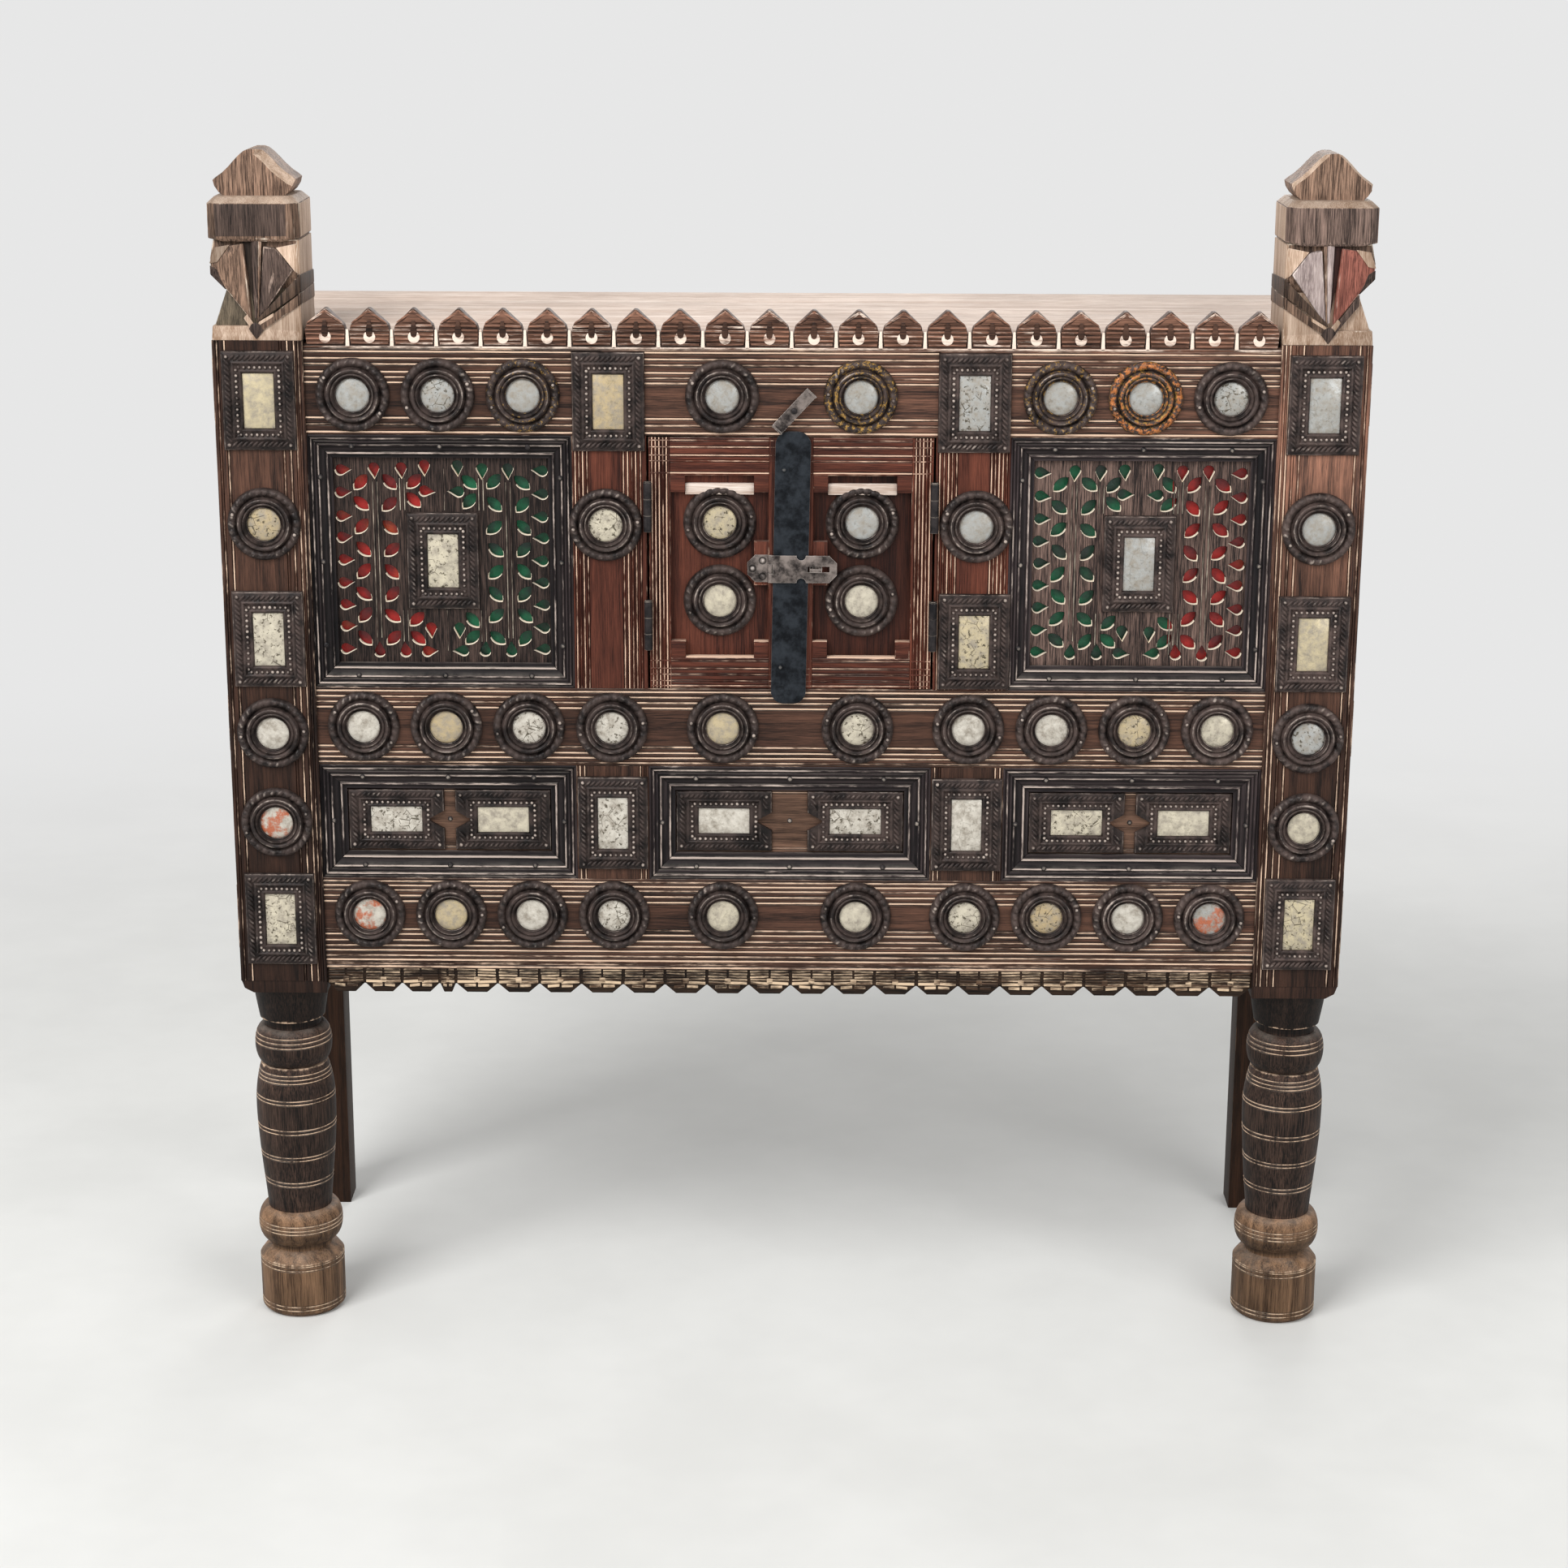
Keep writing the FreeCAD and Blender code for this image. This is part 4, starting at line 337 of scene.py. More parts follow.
def metal(name, dark, light, rubbed, metallic, rough, wear=0.75, gilt=None, gloss=0.25):
    """Dark patina in two tones that is rubbed bright on what stands proud."""
    made, tree, shader, plain = new_material(name)
    cloud = step_up(tree, speckle(tree, plain, 55.0, 6.0, 0.7), 0.35, 0.65)
    worn = mark(tree, "worn")
    patina = add_node(tree, "ShaderNodeHueSaturation", {
        "Color": mix_colour(tree, cloud, colour(*dark), colour(*light)), "Value": own_brightness(tree, worn)})
    spread = add_node(tree, "ShaderNodeMapping", {"Vector": plain, "Scale": (75.0, 75.0, 75.0)}).outputs[0]
    wear_mask = add_node(tree, "ShaderNodeGroup", node_tree=worn_edges, inputs={
        "Worn": worn, "Vector": spread, "Patches": 1.6, "Amount": wear}).outputs[0]
    shown = mix_colour(tree, wear_mask, patina.outputs[0], colour(*rubbed))
    if gilt:
        shown = left_paint(tree, plain, shown, *gilt)
    tree.links.new(shown, shader.inputs["Base Color"])
    shader.inputs["Metallic"].default_value = metallic
    shader.inputs["Specular IOR Level"].default_value = gloss
    tree.links.new(shift_range(tree, cloud, 0.0, 1.0, rough, rough + 0.2), shader.inputs["Roughness"])
    add_bump(tree, shader, speckle(tree, plain, 900.0, 3.0, 0.7), 0.25, 0.0004)
    return made


tin = metal("pressed_tin", (27, 22, 21), (72, 60, 56), (176, 162, 152), metallic=0.25, rough=0.4, wear=0.7,
            gilt=((158, 122, 60), (180, 112, 62)))
iron = metal("hinge_iron", (20, 19, 21), (52, 47, 47), (150, 140, 130), metallic=0.4, rough=0.42)
steel = metal("hasp_steel", (38, 33, 32), (136, 125, 119), (224, 214, 206), metallic=0.45, rough=0.38,
              wear=1.1)
strip_paint = metal("strip_paint", (9, 12, 16), (43, 47, 52), (120, 116, 112), metallic=0.0, rough=0.6,
                    wear=0.8, gloss=0.1)
print("metals:", tin.name, iron.name, steel.name, strip_paint.name)

# %% [markdown]
# The mirrors are old: the silver has yellowed, with cracks and dark spots. A glossy coat over an uneven
# pale colour looks more like that than a clean mirror does. Each mirror carries three marks of its own:
# its tone from cool to brown, how far the flaws show, and whether rust came through.

# %% Mirror glass


def aged_mirror():
    """Yellowed silver under glass; each mirror has a tone of its own."""
    made, tree, shader, plain = new_material("mirror_glass")
    tone = mark(tree, "tone")
    whiter = mix_colour(tree, step_up(tree, tone, 0.1, 0.5), colour(170, 171, 168), colour(210, 204, 192))
    warm = mix_colour(tree, step_up(tree, tone, 0.5, 0.95), whiter, colour(203, 191, 158))
    brown = mix_colour(tree, step_up(tree, tone, 0.88, 0.98), warm, colour(186, 164, 124))
    cloud = step_up(tree, speckle(tree, plain, 110.0, 7.0, 0.75), 0.35, 0.7)
    clouded = mix_colour(tree, cloud, brown, colour(148, 139, 126))
    spots = step_up(tree, speckle(tree, plain, 230.0, 4.0, 0.7), 0.55, 0.63)
    cells = add_node(tree, "ShaderNodeTexVoronoi", {"Vector": plain, "Scale": 75.0},
                     feature="DISTANCE_TO_EDGE")
    crack = sum_up(tree, "SUBTRACT", 1.0, step_up(tree, cells.outputs["Distance"], 0.008, 0.03))
    crack = sum_up(tree, "MULTIPLY", crack, step_up(tree, speckle(tree, plain, 45.0), 0.5, 0.56))
    flaws = sum_up(tree, "MULTIPLY", sum_up(tree, "MAXIMUM", spots, crack), mark(tree, "flaw"))
    rust = sum_up(tree, "ADD", speckle(tree, plain, 60.0, 5.0, 0.7), mark(tree, "rust"))
    clouded = mix_colour(tree, step_up(tree, rust, 1.06, 1.2), clouded, colour(176, 100, 70))
    tree.links.new(mix_colour(tree, flaws, clouded, colour(74, 66, 50)), shader.inputs["Base Color"])
    shader.inputs["Metallic"].default_value = 0.15
    tree.links.new(shift_range(tree, cloud, 0.0, 1.0, 0.22, 0.45), shader.inputs["Roughness"])
    add_bump(tree, shader, speckle(tree, plain, 60.0, 2.0), 0.12, 0.0008)
    return made


mirror = aged_mirror()
print("mirror with", len(mirror.node_tree.nodes), "nodes")

# %% [markdown]
# The sheets behind the leaves are crumpled coloured paper, bright in some places and faded in others.

# %% Coloured papers


def foil_paper(name, deep, bright, faded):
    """Crumpled coloured paper from three screen colours."""
    made, tree, shader, plain = new_material(name)
    cloud = step_up(tree, speckle(tree, plain, 32.0, 4.0, 0.6), 0.35, 0.65)
    worn_out = step_up(tree, speckle(tree, plain, 14.0, 3.0, 0.6), 0.55, 0.7)
    toned = mix_colour(tree, cloud, colour(*deep), colour(*bright))
    tree.links.new(mix_colour(tree, worn_out, toned, colour(*faded)), shader.inputs["Base Color"])
    tree.links.new(shift_range(tree, cloud, 0.0, 1.0, 0.35, 0.6), shader.inputs["Roughness"])
    add_bump(tree, shader, speckle(tree, plain, 190.0, 4.0, 0.6, 0.5), 0.6, 0.001)
    return made


red_paper = foil_paper("red_sheet", (112, 15, 18), (188, 40, 36), (196, 82, 44))
green_paper = foil_paper("green_sheet", (10, 52, 38), (18, 112, 74), (32, 48, 40))
print("papers:", red_paper.name, green_paper.name)

# %% [markdown]
# ## Making meshes
# Three forms cover most of the cabinet. A scored board is a cross line (with its grooves) drawn along the
# board. A carved facet is the hull of a few corner points with its edges broken. A turned leg is a profile
# spun round an axis. All of them drop their faces on a heap, and a heap becomes one piece that stands for
# its solid.

# %% The heap
RIGHT, UP, INWARD = Vector((1, 0, 0)), Vector((0, 0, 1)), Vector((0, 1, 0))


class Heap:
    """Forms in millimetres that become one piece. Each corner of a face keeps marks, such as worn."""

    def __init__(self, *extra):
        self.verts, self.faces, self.finishes = [], [], []
        self.marks = {name: [] for name in ("worn", "shade") + extra}
        self.finish = 0

    def add(self, verts, faces, by_face=(), shade=0.5, **marks):
        """A mark is one number for the form, or a list by point, or by face if it is named in by_face."""
        start = len(self.verts)
        self.verts.extend(verts)
        self.faces.extend([start + i for i in face] for face in faces)
        self.finishes.extend([self.finish] * len(faces))
        marks["shade"] = shade
        for name, values in self.marks.items():
            given = marks.get(name, 0.0)
            for index, face in enumerate(faces):
                if isinstance(given, (int, float)):
                    values.extend([given] * len(face))
                elif name in by_face:
                    values.extend([given[index]] * len(face))
                else:
                    values.extend(given[i] for i in face)

    def piece(self, name, body, slot, materials, *replaced, sharp=38):
        """The heap as an object that rides on a body and stands for the given solids."""
        mesh = bpy.data.meshes.new(name)
        mesh.from_pydata([Vector(v) * MM for v in self.verts], [], self.faces)
        for label, values in self.marks.items():
            mesh.attributes.new(label, "FLOAT", "CORNER").data.foreach_set("value", values)
        for material in materials:
            mesh.materials.append(material)
        mesh.polygons.foreach_set("material_index", self.finishes)
        return finish_piece(mesh, name, body, replaced, sharp)


def finish_piece(mesh, name, body, replaced, sharp):
    """Outward normals, smooth shading up to an angle, and the piece's place among the solids."""
    shaped = bmesh.new()
    shaped.from_mesh(mesh)
    bmesh.ops.recalc_face_normals(shaped, faces=shaped.faces)
    shaped.to_mesh(mesh)
    shaped.free()
    mesh.polygons.foreach_set("use_smooth", [True] * len(mesh.polygons))
    mesh.set_sharp_from_angle(angle=math.radians(sharp))
    piece = bpy.data.objects.new(name, mesh)
    bpy.context.scene.collection.objects.link(piece)
    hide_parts(*replaced)
    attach(piece, body)
    print(f"{name}: {len(mesh.vertices)} points for", ", ".join(replaced))
    return piece


def between_rings(rings, around, wrap=False):
    """Four-sided faces between rings of points, each with as many points as around says.

    With wrap, the last ring is joined to the first one."""
    return [[i * around + k, i * around + (k + 1) % around,
             (i + 1) % rings * around + (k + 1) % around, (i + 1) % rings * around + k]
            for i in range(rings if wrap else rings - 1) for k in range(around)]


print("a tube of three rings with eight points has", len(between_rings(3, 8)), "faces")

# %% [markdown]
# A piece takes its place from the solid that it stands for. Some solids hold several equal forms, such as
# all the tins, so these are taken apart first, by walking along the edges from point to point.

# %% Measuring the solids
SAME_POINT = 1e-5


def corners(solid):
    """Lowest and highest corner of a solid in millimetres."""
    low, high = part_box(solid)
    return low / MM, high / MM


def box_of(points):
    """Lowest and highest corner of some points."""
    return Vector(map(min, *points)), Vector(map(max, *points))


def each_body(solid):
    """Corners of every separate form inside a solid, in millimetres, from below and from the left."""
    loose = bmesh.new()
    loose.from_mesh(solids[solid].data)
    bmesh.ops.remove_doubles(loose, verts=loose.verts, dist=SAME_POINT)
    found, seen = [], set()
    for first in loose.verts:
        if first in seen:
            continue
        seen.add(first)
        todo, points = [first], []
        while todo:
            vert = todo.pop()
            points.append(vert.co / MM)
            for edge in vert.link_edges:
                other = edge.other_vert(vert)
                if other not in seen:
                    seen.add(other)
                    todo.append(other)
        found.append(box_of(points))
    loose.free()
    return sorted(found, key=lambda pair: (round(pair[0].z), round(pair[0].x), round(pair[0].y)))


print("post box", [tuple(round(v, 1) for v in corner) for corner in corners("left_front_post")])

# %% [markdown]
# A scored board: the cross line is a list of (distance across, depth below the face, worn). It is repeated
# along the board with a slight waver, as a hand-held scraper leaves it, and closed to a solid with a flat
# back. With mitres the two ends lean, which gives picture-frame corners.

# %% Scored boards
WAVER = 0.3
CLEAN_SIDE = 3.0


def tone_along(tones, share):
    """The tone at a share of the length, from values that lie evenly along it."""
    place = share * (len(tones) - 1)
    first = min(int(place), len(tones) - 2)
    return tones[first] + (tones[first + 1] - tones[first]) * (place - first)


def closed_line(line, thickness):
    """A cross line closed to a ring: wear ends a little behind the face, and the back is flat."""
    clean = min(CLEAN_SIDE, 0.6 * thickness)
    (near, near_depth, _), (far, far_depth, _) = line[0], line[-1]
    ring = [point for point in line if point[1] < thickness]
    return ring + [(far, max(clean, far_depth + 0.1), 0.0), (far, thickness, 0.0),
                   (near, thickness, 0.0), (near, max(clean, near_depth + 0.1), 0.0)]


def scored(heap, start, along, across, length, line, thickness, mitre=(0.0, 0.0), step=14.0, seed=0,
           shade=0.5):
    """Adds a board whose face carries the cross line, from a corner of its face.

    shade may be a tuple of tones that run from end to end."""
    count = max(2, round(length / step))
    ring = closed_line(line, thickness)
    rows = len(ring)
    verts, worn = [], []
    for i in range(count + 1):
        for t, depth, rub in ring:
            first, last = mitre[0] * t, length - mitre[1] * t
            u = first + (last - first) * i / count
            if 0 < depth < thickness:
                depth += WAVER * noise.noise(Vector((u / 23, t / 5 + seed * 7.3, seed)))
                t += 0.7 * WAVER * noise.noise(Vector((u / 41, t / 9 + seed * 3.1, seed + 5)))
            verts.append(start + along * u + across * t + INWARD * max(depth, 0.0))
            worn.append(rub)
    faces = between_rings(count + 1, rows)
    faces.append(list(range(rows)))
    faces.append([count * rows + k for k in reversed(range(rows))])
    if isinstance(shade, tuple):
        shade = [tone_along(shade, i / count) for i in range(count + 1) for _ in range(rows)]
    heap.add(verts, faces, worn=worn, shade=shade)


def reeds(width, ridges=(), depth=1.3, half=0.5, rubbed=1.0):
    """A cross line with fine scored ridges at some distances from its edge; half is half a ridge's width."""
    line = [(0.0, 1.0, 0.7), (0.9, 0.05, 0.5), (1.8, 0.0, 0.0)]
    for index, ridge in enumerate(sorted(ridges)):
        bright = rubbed * (0.98 + 0.22 * math.sin(index * 2.4 + width))
        # The grooves beside each ridge carry worn -1, which darkens them: painted shade and grime.
        for off, below, rub in ((-half - 1.2, 0.0, 0.0), (-half - 0.65, depth, -1.0), (-half, 0.1, bright),
                                (half, 0.1, bright), (half + 0.65, depth, -1.0), (half + 1.2, 0.0, 0.0)):
            if ridge + off > line[-1][0] + 0.1:
                line.append((ridge + off, below, rub))
    line.extend([(width - 1.8, 0.0, 0.0), (width - 0.9, 0.05, 0.5), (width, 1.0, 0.7)])
    return line


print("three ridges take", len(reeds(90, (6, 10, 14))), "points across")

# %% [markdown]
# A carved facet: the hull of its corner points, with every edge broken by a small bevel. The bevel's own
# faces get the wear mark, so that bare wood shows along the edges and nowhere else. An outline can be cut
# to a plate in the same way, and a solid can be copied with its edges broken.

# %% Carved facets and plates


def break_edges(shaped, bevel):
    """Bevels every sharp edge and returns points, faces and a wear mark for each face."""
    sharp = [edge for edge in shaped.edges if len(edge.link_faces) == 2 and edge.calc_face_angle() > 0.3]
    rounded = set(bmesh.ops.bevel(shaped, geom=sharp, offset=bevel, segments=2, profile=0.6, affect="EDGES",
                                  clamp_overlap=True)["faces"])
    shaped.verts.index_update()
    points = [vert.co.copy() for vert in shaped.verts]
    faces = [[vert.index for vert in face.verts] for face in shaped.faces]
    worn = [1.0 if face in rounded else 0.0 for face in shaped.faces]
    shaped.free()
    return points, faces, worn


def facet(heap, points, bevel=1.4, shade=0.5, rub=0.0, edge=0.75):
    """Adds the hull of some corner points. Its edges are worn as edge says, its faces as rub says."""
    shaped = bmesh.new()
    for point in points:
        shaped.verts.new(point)
    bmesh.ops.convex_hull(shaped, input=shaped.verts)
    bmesh.ops.dissolve_limit(shaped, angle_limit=0.03, verts=shaped.verts, edges=shaped.edges)
    verts, faces, worn = break_edges(shaped, bevel)
    heap.add(verts, faces, ("worn",), worn=[max(value * edge, rub) for value in worn], shade=shade)


def block(heap, low, high, bevel=1.2, shade=0.5, **wear):
    """Adds a block between two corners."""
    points = [Vector((x, y, z)) for x in (low[0], high[0]) for y in (low[1], high[1])
              for z in (low[2], high[2])]
    facet(heap, points, bevel, shade, **wear)


def plate(heap, outline, front, back, bevel=1.2, shade=0.5, edge=0.7):
    """Adds an outline of (x, z) points, cut through from one depth to another."""
    shaped = bmesh.new()
    face = shaped.faces.new([shaped.verts.new((x, front, z)) for x, z in outline])
    grown = bmesh.ops.extrude_face_region(shaped, geom=[face])["geom"]
    moved = [form for form in grown if isinstance(form, bmesh.types.BMVert)]
    bmesh.ops.translate(shaped, vec=(0, back - front, 0), verts=moved)
    bmesh.ops.recalc_face_normals(shaped, faces=shaped.faces)
    verts, faces, worn = break_edges(shaped, bevel)
    heap.add(verts, faces, ("worn",), worn=[value * edge for value in worn], shade=shade)


def worn_copy(solid, body, slot, material, bevel, shade=0.5):
    """A piece with the solid's own shape, its edges broken and worn."""
    shaped = bmesh.new()
    shaped.from_mesh(solids[solid].data)
    bmesh.ops.remove_doubles(shaped, verts=shaped.verts, dist=SAME_POINT)
    bmesh.ops.scale(shaped, vec=(1 / MM,) * 3, verts=shaped.verts)
    bmesh.ops.dissolve_limit(shaped, angle_limit=0.02, verts=shaped.verts, edges=shaped.edges)
    heap = Heap()
    verts, faces, worn = break_edges(shaped, bevel)
    heap.add(verts, faces, ("worn",), worn=worn, shade=shade)
    return heap.piece(solid + "_worn", body, slot, [material], solid)


print("facets, blocks, plates and worn copies ready")

# %% [markdown]
# ## The front posts
# Each post is one timber: a turned leg at the bottom, a square post with scored edges, and a carved finial
# on top. A spun profile gives the leg. The maker pressed a point into the turning wood, so pairs of fine
# lines run round it.

# %% Turned legs
FOOT_EDGE, FOOT_TOP = 64, 76
RING_LOW, RING_HIGH = 84, 124
VASE_WIDEST, VASE_TOP = 250, 296
COLLAR_TOP, DRUM_LOW, LEG_TOP = 340, 350, 390
HAIR = 0.01
AROUND_LEG = 56
LEG_WAVER = 0.4
LEG_LINES = (8.5, 13, 57, 62, 101.5, 105.5, 110, 156, 160.5, 188, 192, 220.5, 225, 256, 260, 280, 284, 288.5,
             322, 327, 332)
# Tones up the leg: the foot's top, the rings and the vase are painted lighter on top and darker below, which
# is painted light from above.
LEG_TONES_AND_LIGHT = ((0, 0.42), (40, 0.56), (62, 0.52), (64, 0.85), (76, 0.8), (77, 0.24), (95, 0.2), (106, 0.75),
             (124, 1.0), (125, 0.45), (200, 0.5), (270, 0.6), (290, 0.9), (297, 0.9), (299, 0.3), (318, 0.45),
             (328, 0.95), (339, 0.9), (341, 0.0), (390, 0.12))


def bulge(z, low, high):
    """How far a round ring between two heights swells out at a height."""
    return 9.5 * math.sqrt(max(0.0, 1 - ((z - (low + high) / 2) / ((high - low) / 2)) ** 2))


def leg_radius(z):
    """Radius of the turned leg at a height above the floor, in millimetres."""
    if z < FOOT_TOP:
        shoulder = max(0.0, (z - FOOT_EDGE) / (FOOT_TOP - FOOT_EDGE))
        return 47 - 5 * max(0.0, 1 - z / 6) ** 2 - 9 * shoulder
    if z < RING_LOW:
        return 34.0
    if z < RING_HIGH:
        return 37.5 + bulge(z, RING_LOW, RING_HIGH)
    if z < VASE_WIDEST:
        return 35.5 + 8.5 * math.sin((z - RING_HIGH) / (VASE_WIDEST - RING_HIGH) * math.pi / 2) ** 1.2
    if z < VASE_TOP:
        return 44 - 7 * ((z - VASE_WIDEST) / (VASE_TOP - VASE_WIDEST)) ** 2
    if z < COLLAR_TOP:
        return 33 + bulge(z, VASE_TOP, COLLAR_TOP)
    if z < DRUM_LOW:
        return 31.5
    return 36 + 6.5 * (z - DRUM_LOW) / (LEG_TOP - DRUM_LOW)


def leg_tone_and_light(z):
    """Brightness of the wood at a height: a tan foot and ring, a nearly black drum, and painted light with
    lighter tops and darker undersides.
    """
    for (low, first), (high, last) in zip(LEG_TONES_AND_LIGHT, LEG_TONES_AND_LIGHT[1:]):
        if z <= high:
            return first + (last - first) * (z - low) / (high - low)
    return LEG_TONES_AND_LIGHT[-1][1]


def leg_levels():
    """Heights at which the profile has a point, closer together where it curves more."""
    levels = set()
    for first, last, count in (
            (0, FOOT_EDGE, 14), (FOOT_EDGE + HAIR, FOOT_TOP, 3), (FOOT_TOP + HAIR, RING_LOW - HAIR, 2),
            (RING_LOW + HAIR, RING_HIGH - HAIR, 22), (RING_HIGH + HAIR, VASE_WIDEST, 26),
            (VASE_WIDEST + HAIR, VASE_TOP - HAIR, 10), (VASE_TOP + HAIR, COLLAR_TOP - HAIR, 22),
            (COLLAR_TOP + HAIR, DRUM_LOW - HAIR, 3), (DRUM_LOW + HAIR, LEG_TOP - 0.5, 9)):
        levels.update(round(first + (last - first) * k / count, 2) for k in range(count + 1))
    return levels


def leg_line(low, high):
    """The leg's profile between two heights, from below: (radius, height, worn)."""
    line = [(leg_radius(z), z, 0.0) for z in leg_levels() if all(abs(z - ring) > 1.9 for ring in LEG_LINES)]
    for ring in LEG_LINES:
        radius = leg_radius(ring)
        line.extend([(leg_radius(ring - 1.7), ring - 1.7, 0.0), (radius - 1.1, ring - 1.0, 0.0),
                     (radius + 0.1, ring - 0.4, 1.0), (radius + 0.1, ring + 0.4, 1.0),
                     (radius - 0.9, ring + 1.0, 0.0), (leg_radius(ring + 1.7), ring + 1.7, 0.0)])
    rubbed = {FOOT_EDGE, RING_LOW, RING_HIGH - 1, RING_HIGH + 1, VASE_TOP, DRUM_LOW}
    line = [(r, z, max(w, 0.9 if round(z) in rubbed else 0.0)) for r, z, w in line if low <= z <= high]
    return sorted(line, key=lambda point: point[1])


def turn(heap, line, centre, seed):
    """Adds a profile of (radius, height, worn) spun round an upright axis, closed at both ends."""
    verts, worn = [], []
    for radius, z, rub in line:
        for k in range(AROUND_LEG):
            angle = 2 * math.pi * k / AROUND_LEG
            place = Vector((math.cos(angle) * 1.4, math.sin(angle) * 1.4, z / 45 + seed * 9))
            out = radius + LEG_WAVER * noise.noise(place)
            verts.append(Vector((centre[0] + out * math.cos(angle), centre[1] + out * math.sin(angle), z)))
            worn.append(rub)
    faces = between_rings(len(line), AROUND_LEG)
    faces.append(list(range(AROUND_LEG)))
    faces.append([(len(line) - 1) * AROUND_LEG + k for k in range(AROUND_LEG)])
    heap.add(verts, faces, worn=worn, shade=[leg_tone_and_light(vert.z) for vert in verts])


print("leg profile with", len(leg_line(0, LEG_TOP)), "points")

# %% [markdown]
# The finial is knife work: a flared shoulder, a bust with two lobes that meet in a point, a slanting double
# band that rises to the inner side, a square block and a pointed leaf. Flat facets are what a knife leaves,
# so hulls of a few corners suit it better than a smooth sculpt would. A corner is given as its distance from
# the post's middle towards the cabinet's middle, its depth behind the post's face and its height. Each facet
# has its own tone, from pale sides and tops to a nearly black channel. The pale facets that face up or
# inwards are partly bleached wood and partly painted light, and a facet under the outer lobe is painted dark
# as shade. The right finial is the left one mirrored, with traces of red and lilac on its lobes.

# %% Bust and bands of the finial
FOOT, LEG, POST, BROWN, PALE, DARK, NECK, OUTER, INNER = range(9)


def bust(hull, corner_tone):
    """Two lobes that meet in a point, a channel and a rib between them, and a pale outer corner."""
    hull(OUTER, [(-10.5, 2.6, 1203), (-40, 5.5, 1198), (-46, 6.5, 1181), (-38.5, 4.8, 1177), (-30, 6, 1155.5),
                 (-5, 2.4, 1124), (-24, 2.2, 1186), (-10, 15, 1203), (-44, 16, 1182), (-29, 16, 1156),
                 (-4, 14, 1126)], shade=0.62)
    hull(PALE, [(-24, 2.6, 1202), (-40.4, 4.8, 1199), (-46.6, 5.8, 1182), (-38, 3.6, 1184), (-38, 12, 1197)],
         bevel=0.5, shade=corner_tone, edge=0.4)
    # This facet under the outer lobe's end is painted dark: painted shade on an underside.
    hull(DARK, [(-46.2, 6.2, 1180.5), (-46.4, 7.2, 1171), (-31, 6.6, 1155.5), (-38.7, 4.4, 1176.5),
                (-44, 16, 1178), (-30, 16, 1156)], bevel=0.7, shade=0.3, edge=0.4)
    hull(OUTER, [(-12, 7.2, 1206), (0, 7.2, 1206), (-1, 6.4, 1128), (-12, 13, 1206), (0, 13, 1206),
                 (-1, 13, 1128)], bevel=0.3, shade=-0.12, edge=0.0)
    hull(INNER, [(-2.6, 4, 1205), (1.5, 2, 1206), (5, 2, 1206), (-1.2, 3, 1127), (1.4, 2, 1126),
                 (-2, 12, 1205), (6, 12, 1205), (0, 12, 1127)], bevel=0.6, shade=0.56)
    hull(BROWN, [(5.4, 2.2, 1206), (8.6, 2.6, 1205), (1.6, 2, 1125), (3, 2.4, 1126), (6, 12, 1205),
                 (8, 12, 1205), (2, 12, 1127)], bevel=0.6, shade=0.85, rub=0.6)
    hull(INNER, [(10, 3, 1200), (23, 3.5, 1198.5), (39.5, 6, 1175.5), (3, 2.2, 1124), (20, 1.7, 1172),
                 (10, 14, 1201), (40, 14, 1176), (3, 12, 1128)], shade=0.45)
    hull(PALE, [(23, 3.6, 1199), (37, 6.5, 1199), (45, 8.5, 1203), (41.5, 6, 1174), (46, 9, 1171),
                (30, 15, 1196), (45, 16, 1174)], bevel=0.6, shade=0.6)


def side_band(low, high, far_low, far_high):
    """Corner points of a band on the finial's inner side, from the front to the back."""
    return [(across, depth, z) for across in (44, 47.6)
            for depth, z in ((2.5, low), (2.5, high), (91, far_low), (91, far_high))]


def bands(hull):
    """The dark and the brown band that rise from the boss round to the inner side."""
    hull(BROWN, [(0.5, 1.1, 1122), (1, 1.1, 1126), (46.8, 1.8, 1153.5), (46.8, 1.8, 1171.5), (2, 12, 1124),
                 (44, 12, 1160)], bevel=0.8, shade=0.08, edge=0.5)
    hull(BROWN, side_band(1153.5, 1171.5, 1154, 1168), bevel=0.8, shade=0.1, edge=0.5)
    hull(BROWN, [(4, 0.7, 1113), (4, 0.7, 1121), (46.8, 1.3, 1141), (46.8, 1.3, 1153), (6, 12, 1116),
                 (44, 12, 1147)], bevel=0.8, shade=0.36, edge=0.7)
    hull(BROWN, side_band(1141, 1153.2, 1139, 1153.7), bevel=0.8, shade=0.38, edge=0.7)
    hull(PALE, [(2, 0.4, 1119), (3, 0.4, 1123.5), (18, 0.8, 1128.5), (18.5, 0.8, 1132.5), (4, 8, 1120),
                (17, 8, 1130)], bevel=0.5, shade=0.5)
    hull(PALE, [(-13, 2.4, 1127), (-9, 1.8, 1131), (-4, 0.8, 1114), (-1, 0.8, 1120), (-9, 8, 1127),
                (-2, 8, 1117)], bevel=0.5, shade=0.4)
    hull(DARK, [(-8, 1, 1116), (0, 0.2, 1105), (8, 1, 1115), (4, 0.2, 1121), (-1, 0.1, 1123), (-5, 0.5, 1121),
                (-4, 8, 1116), (0, 8, 1107), (5, 8, 1116)], bevel=0.6, shade=0.3, edge=0.4)


print("nine finishes on a post, from the foot to the lobes")

# %% [markdown]
# The leaf on top is drawn as half an outline and mirrored. Its upper edges are cut back at a slant, so pale
# fresh wood shows there beside the brown face.

# %% Leaf on top of the finial
LEAF_FRONT, LEAF_BACK = 18.0, 76.0
HALF_LEAF = [(30, 1249), (36, 1254), (40, 1260), (41.5, 1266), (38, 1269), (31.5, 1273.5), (25, 1279.5),
             (19, 1286), (13.5, 1291.5), (8.5, 1295.5), (4, 1297)]


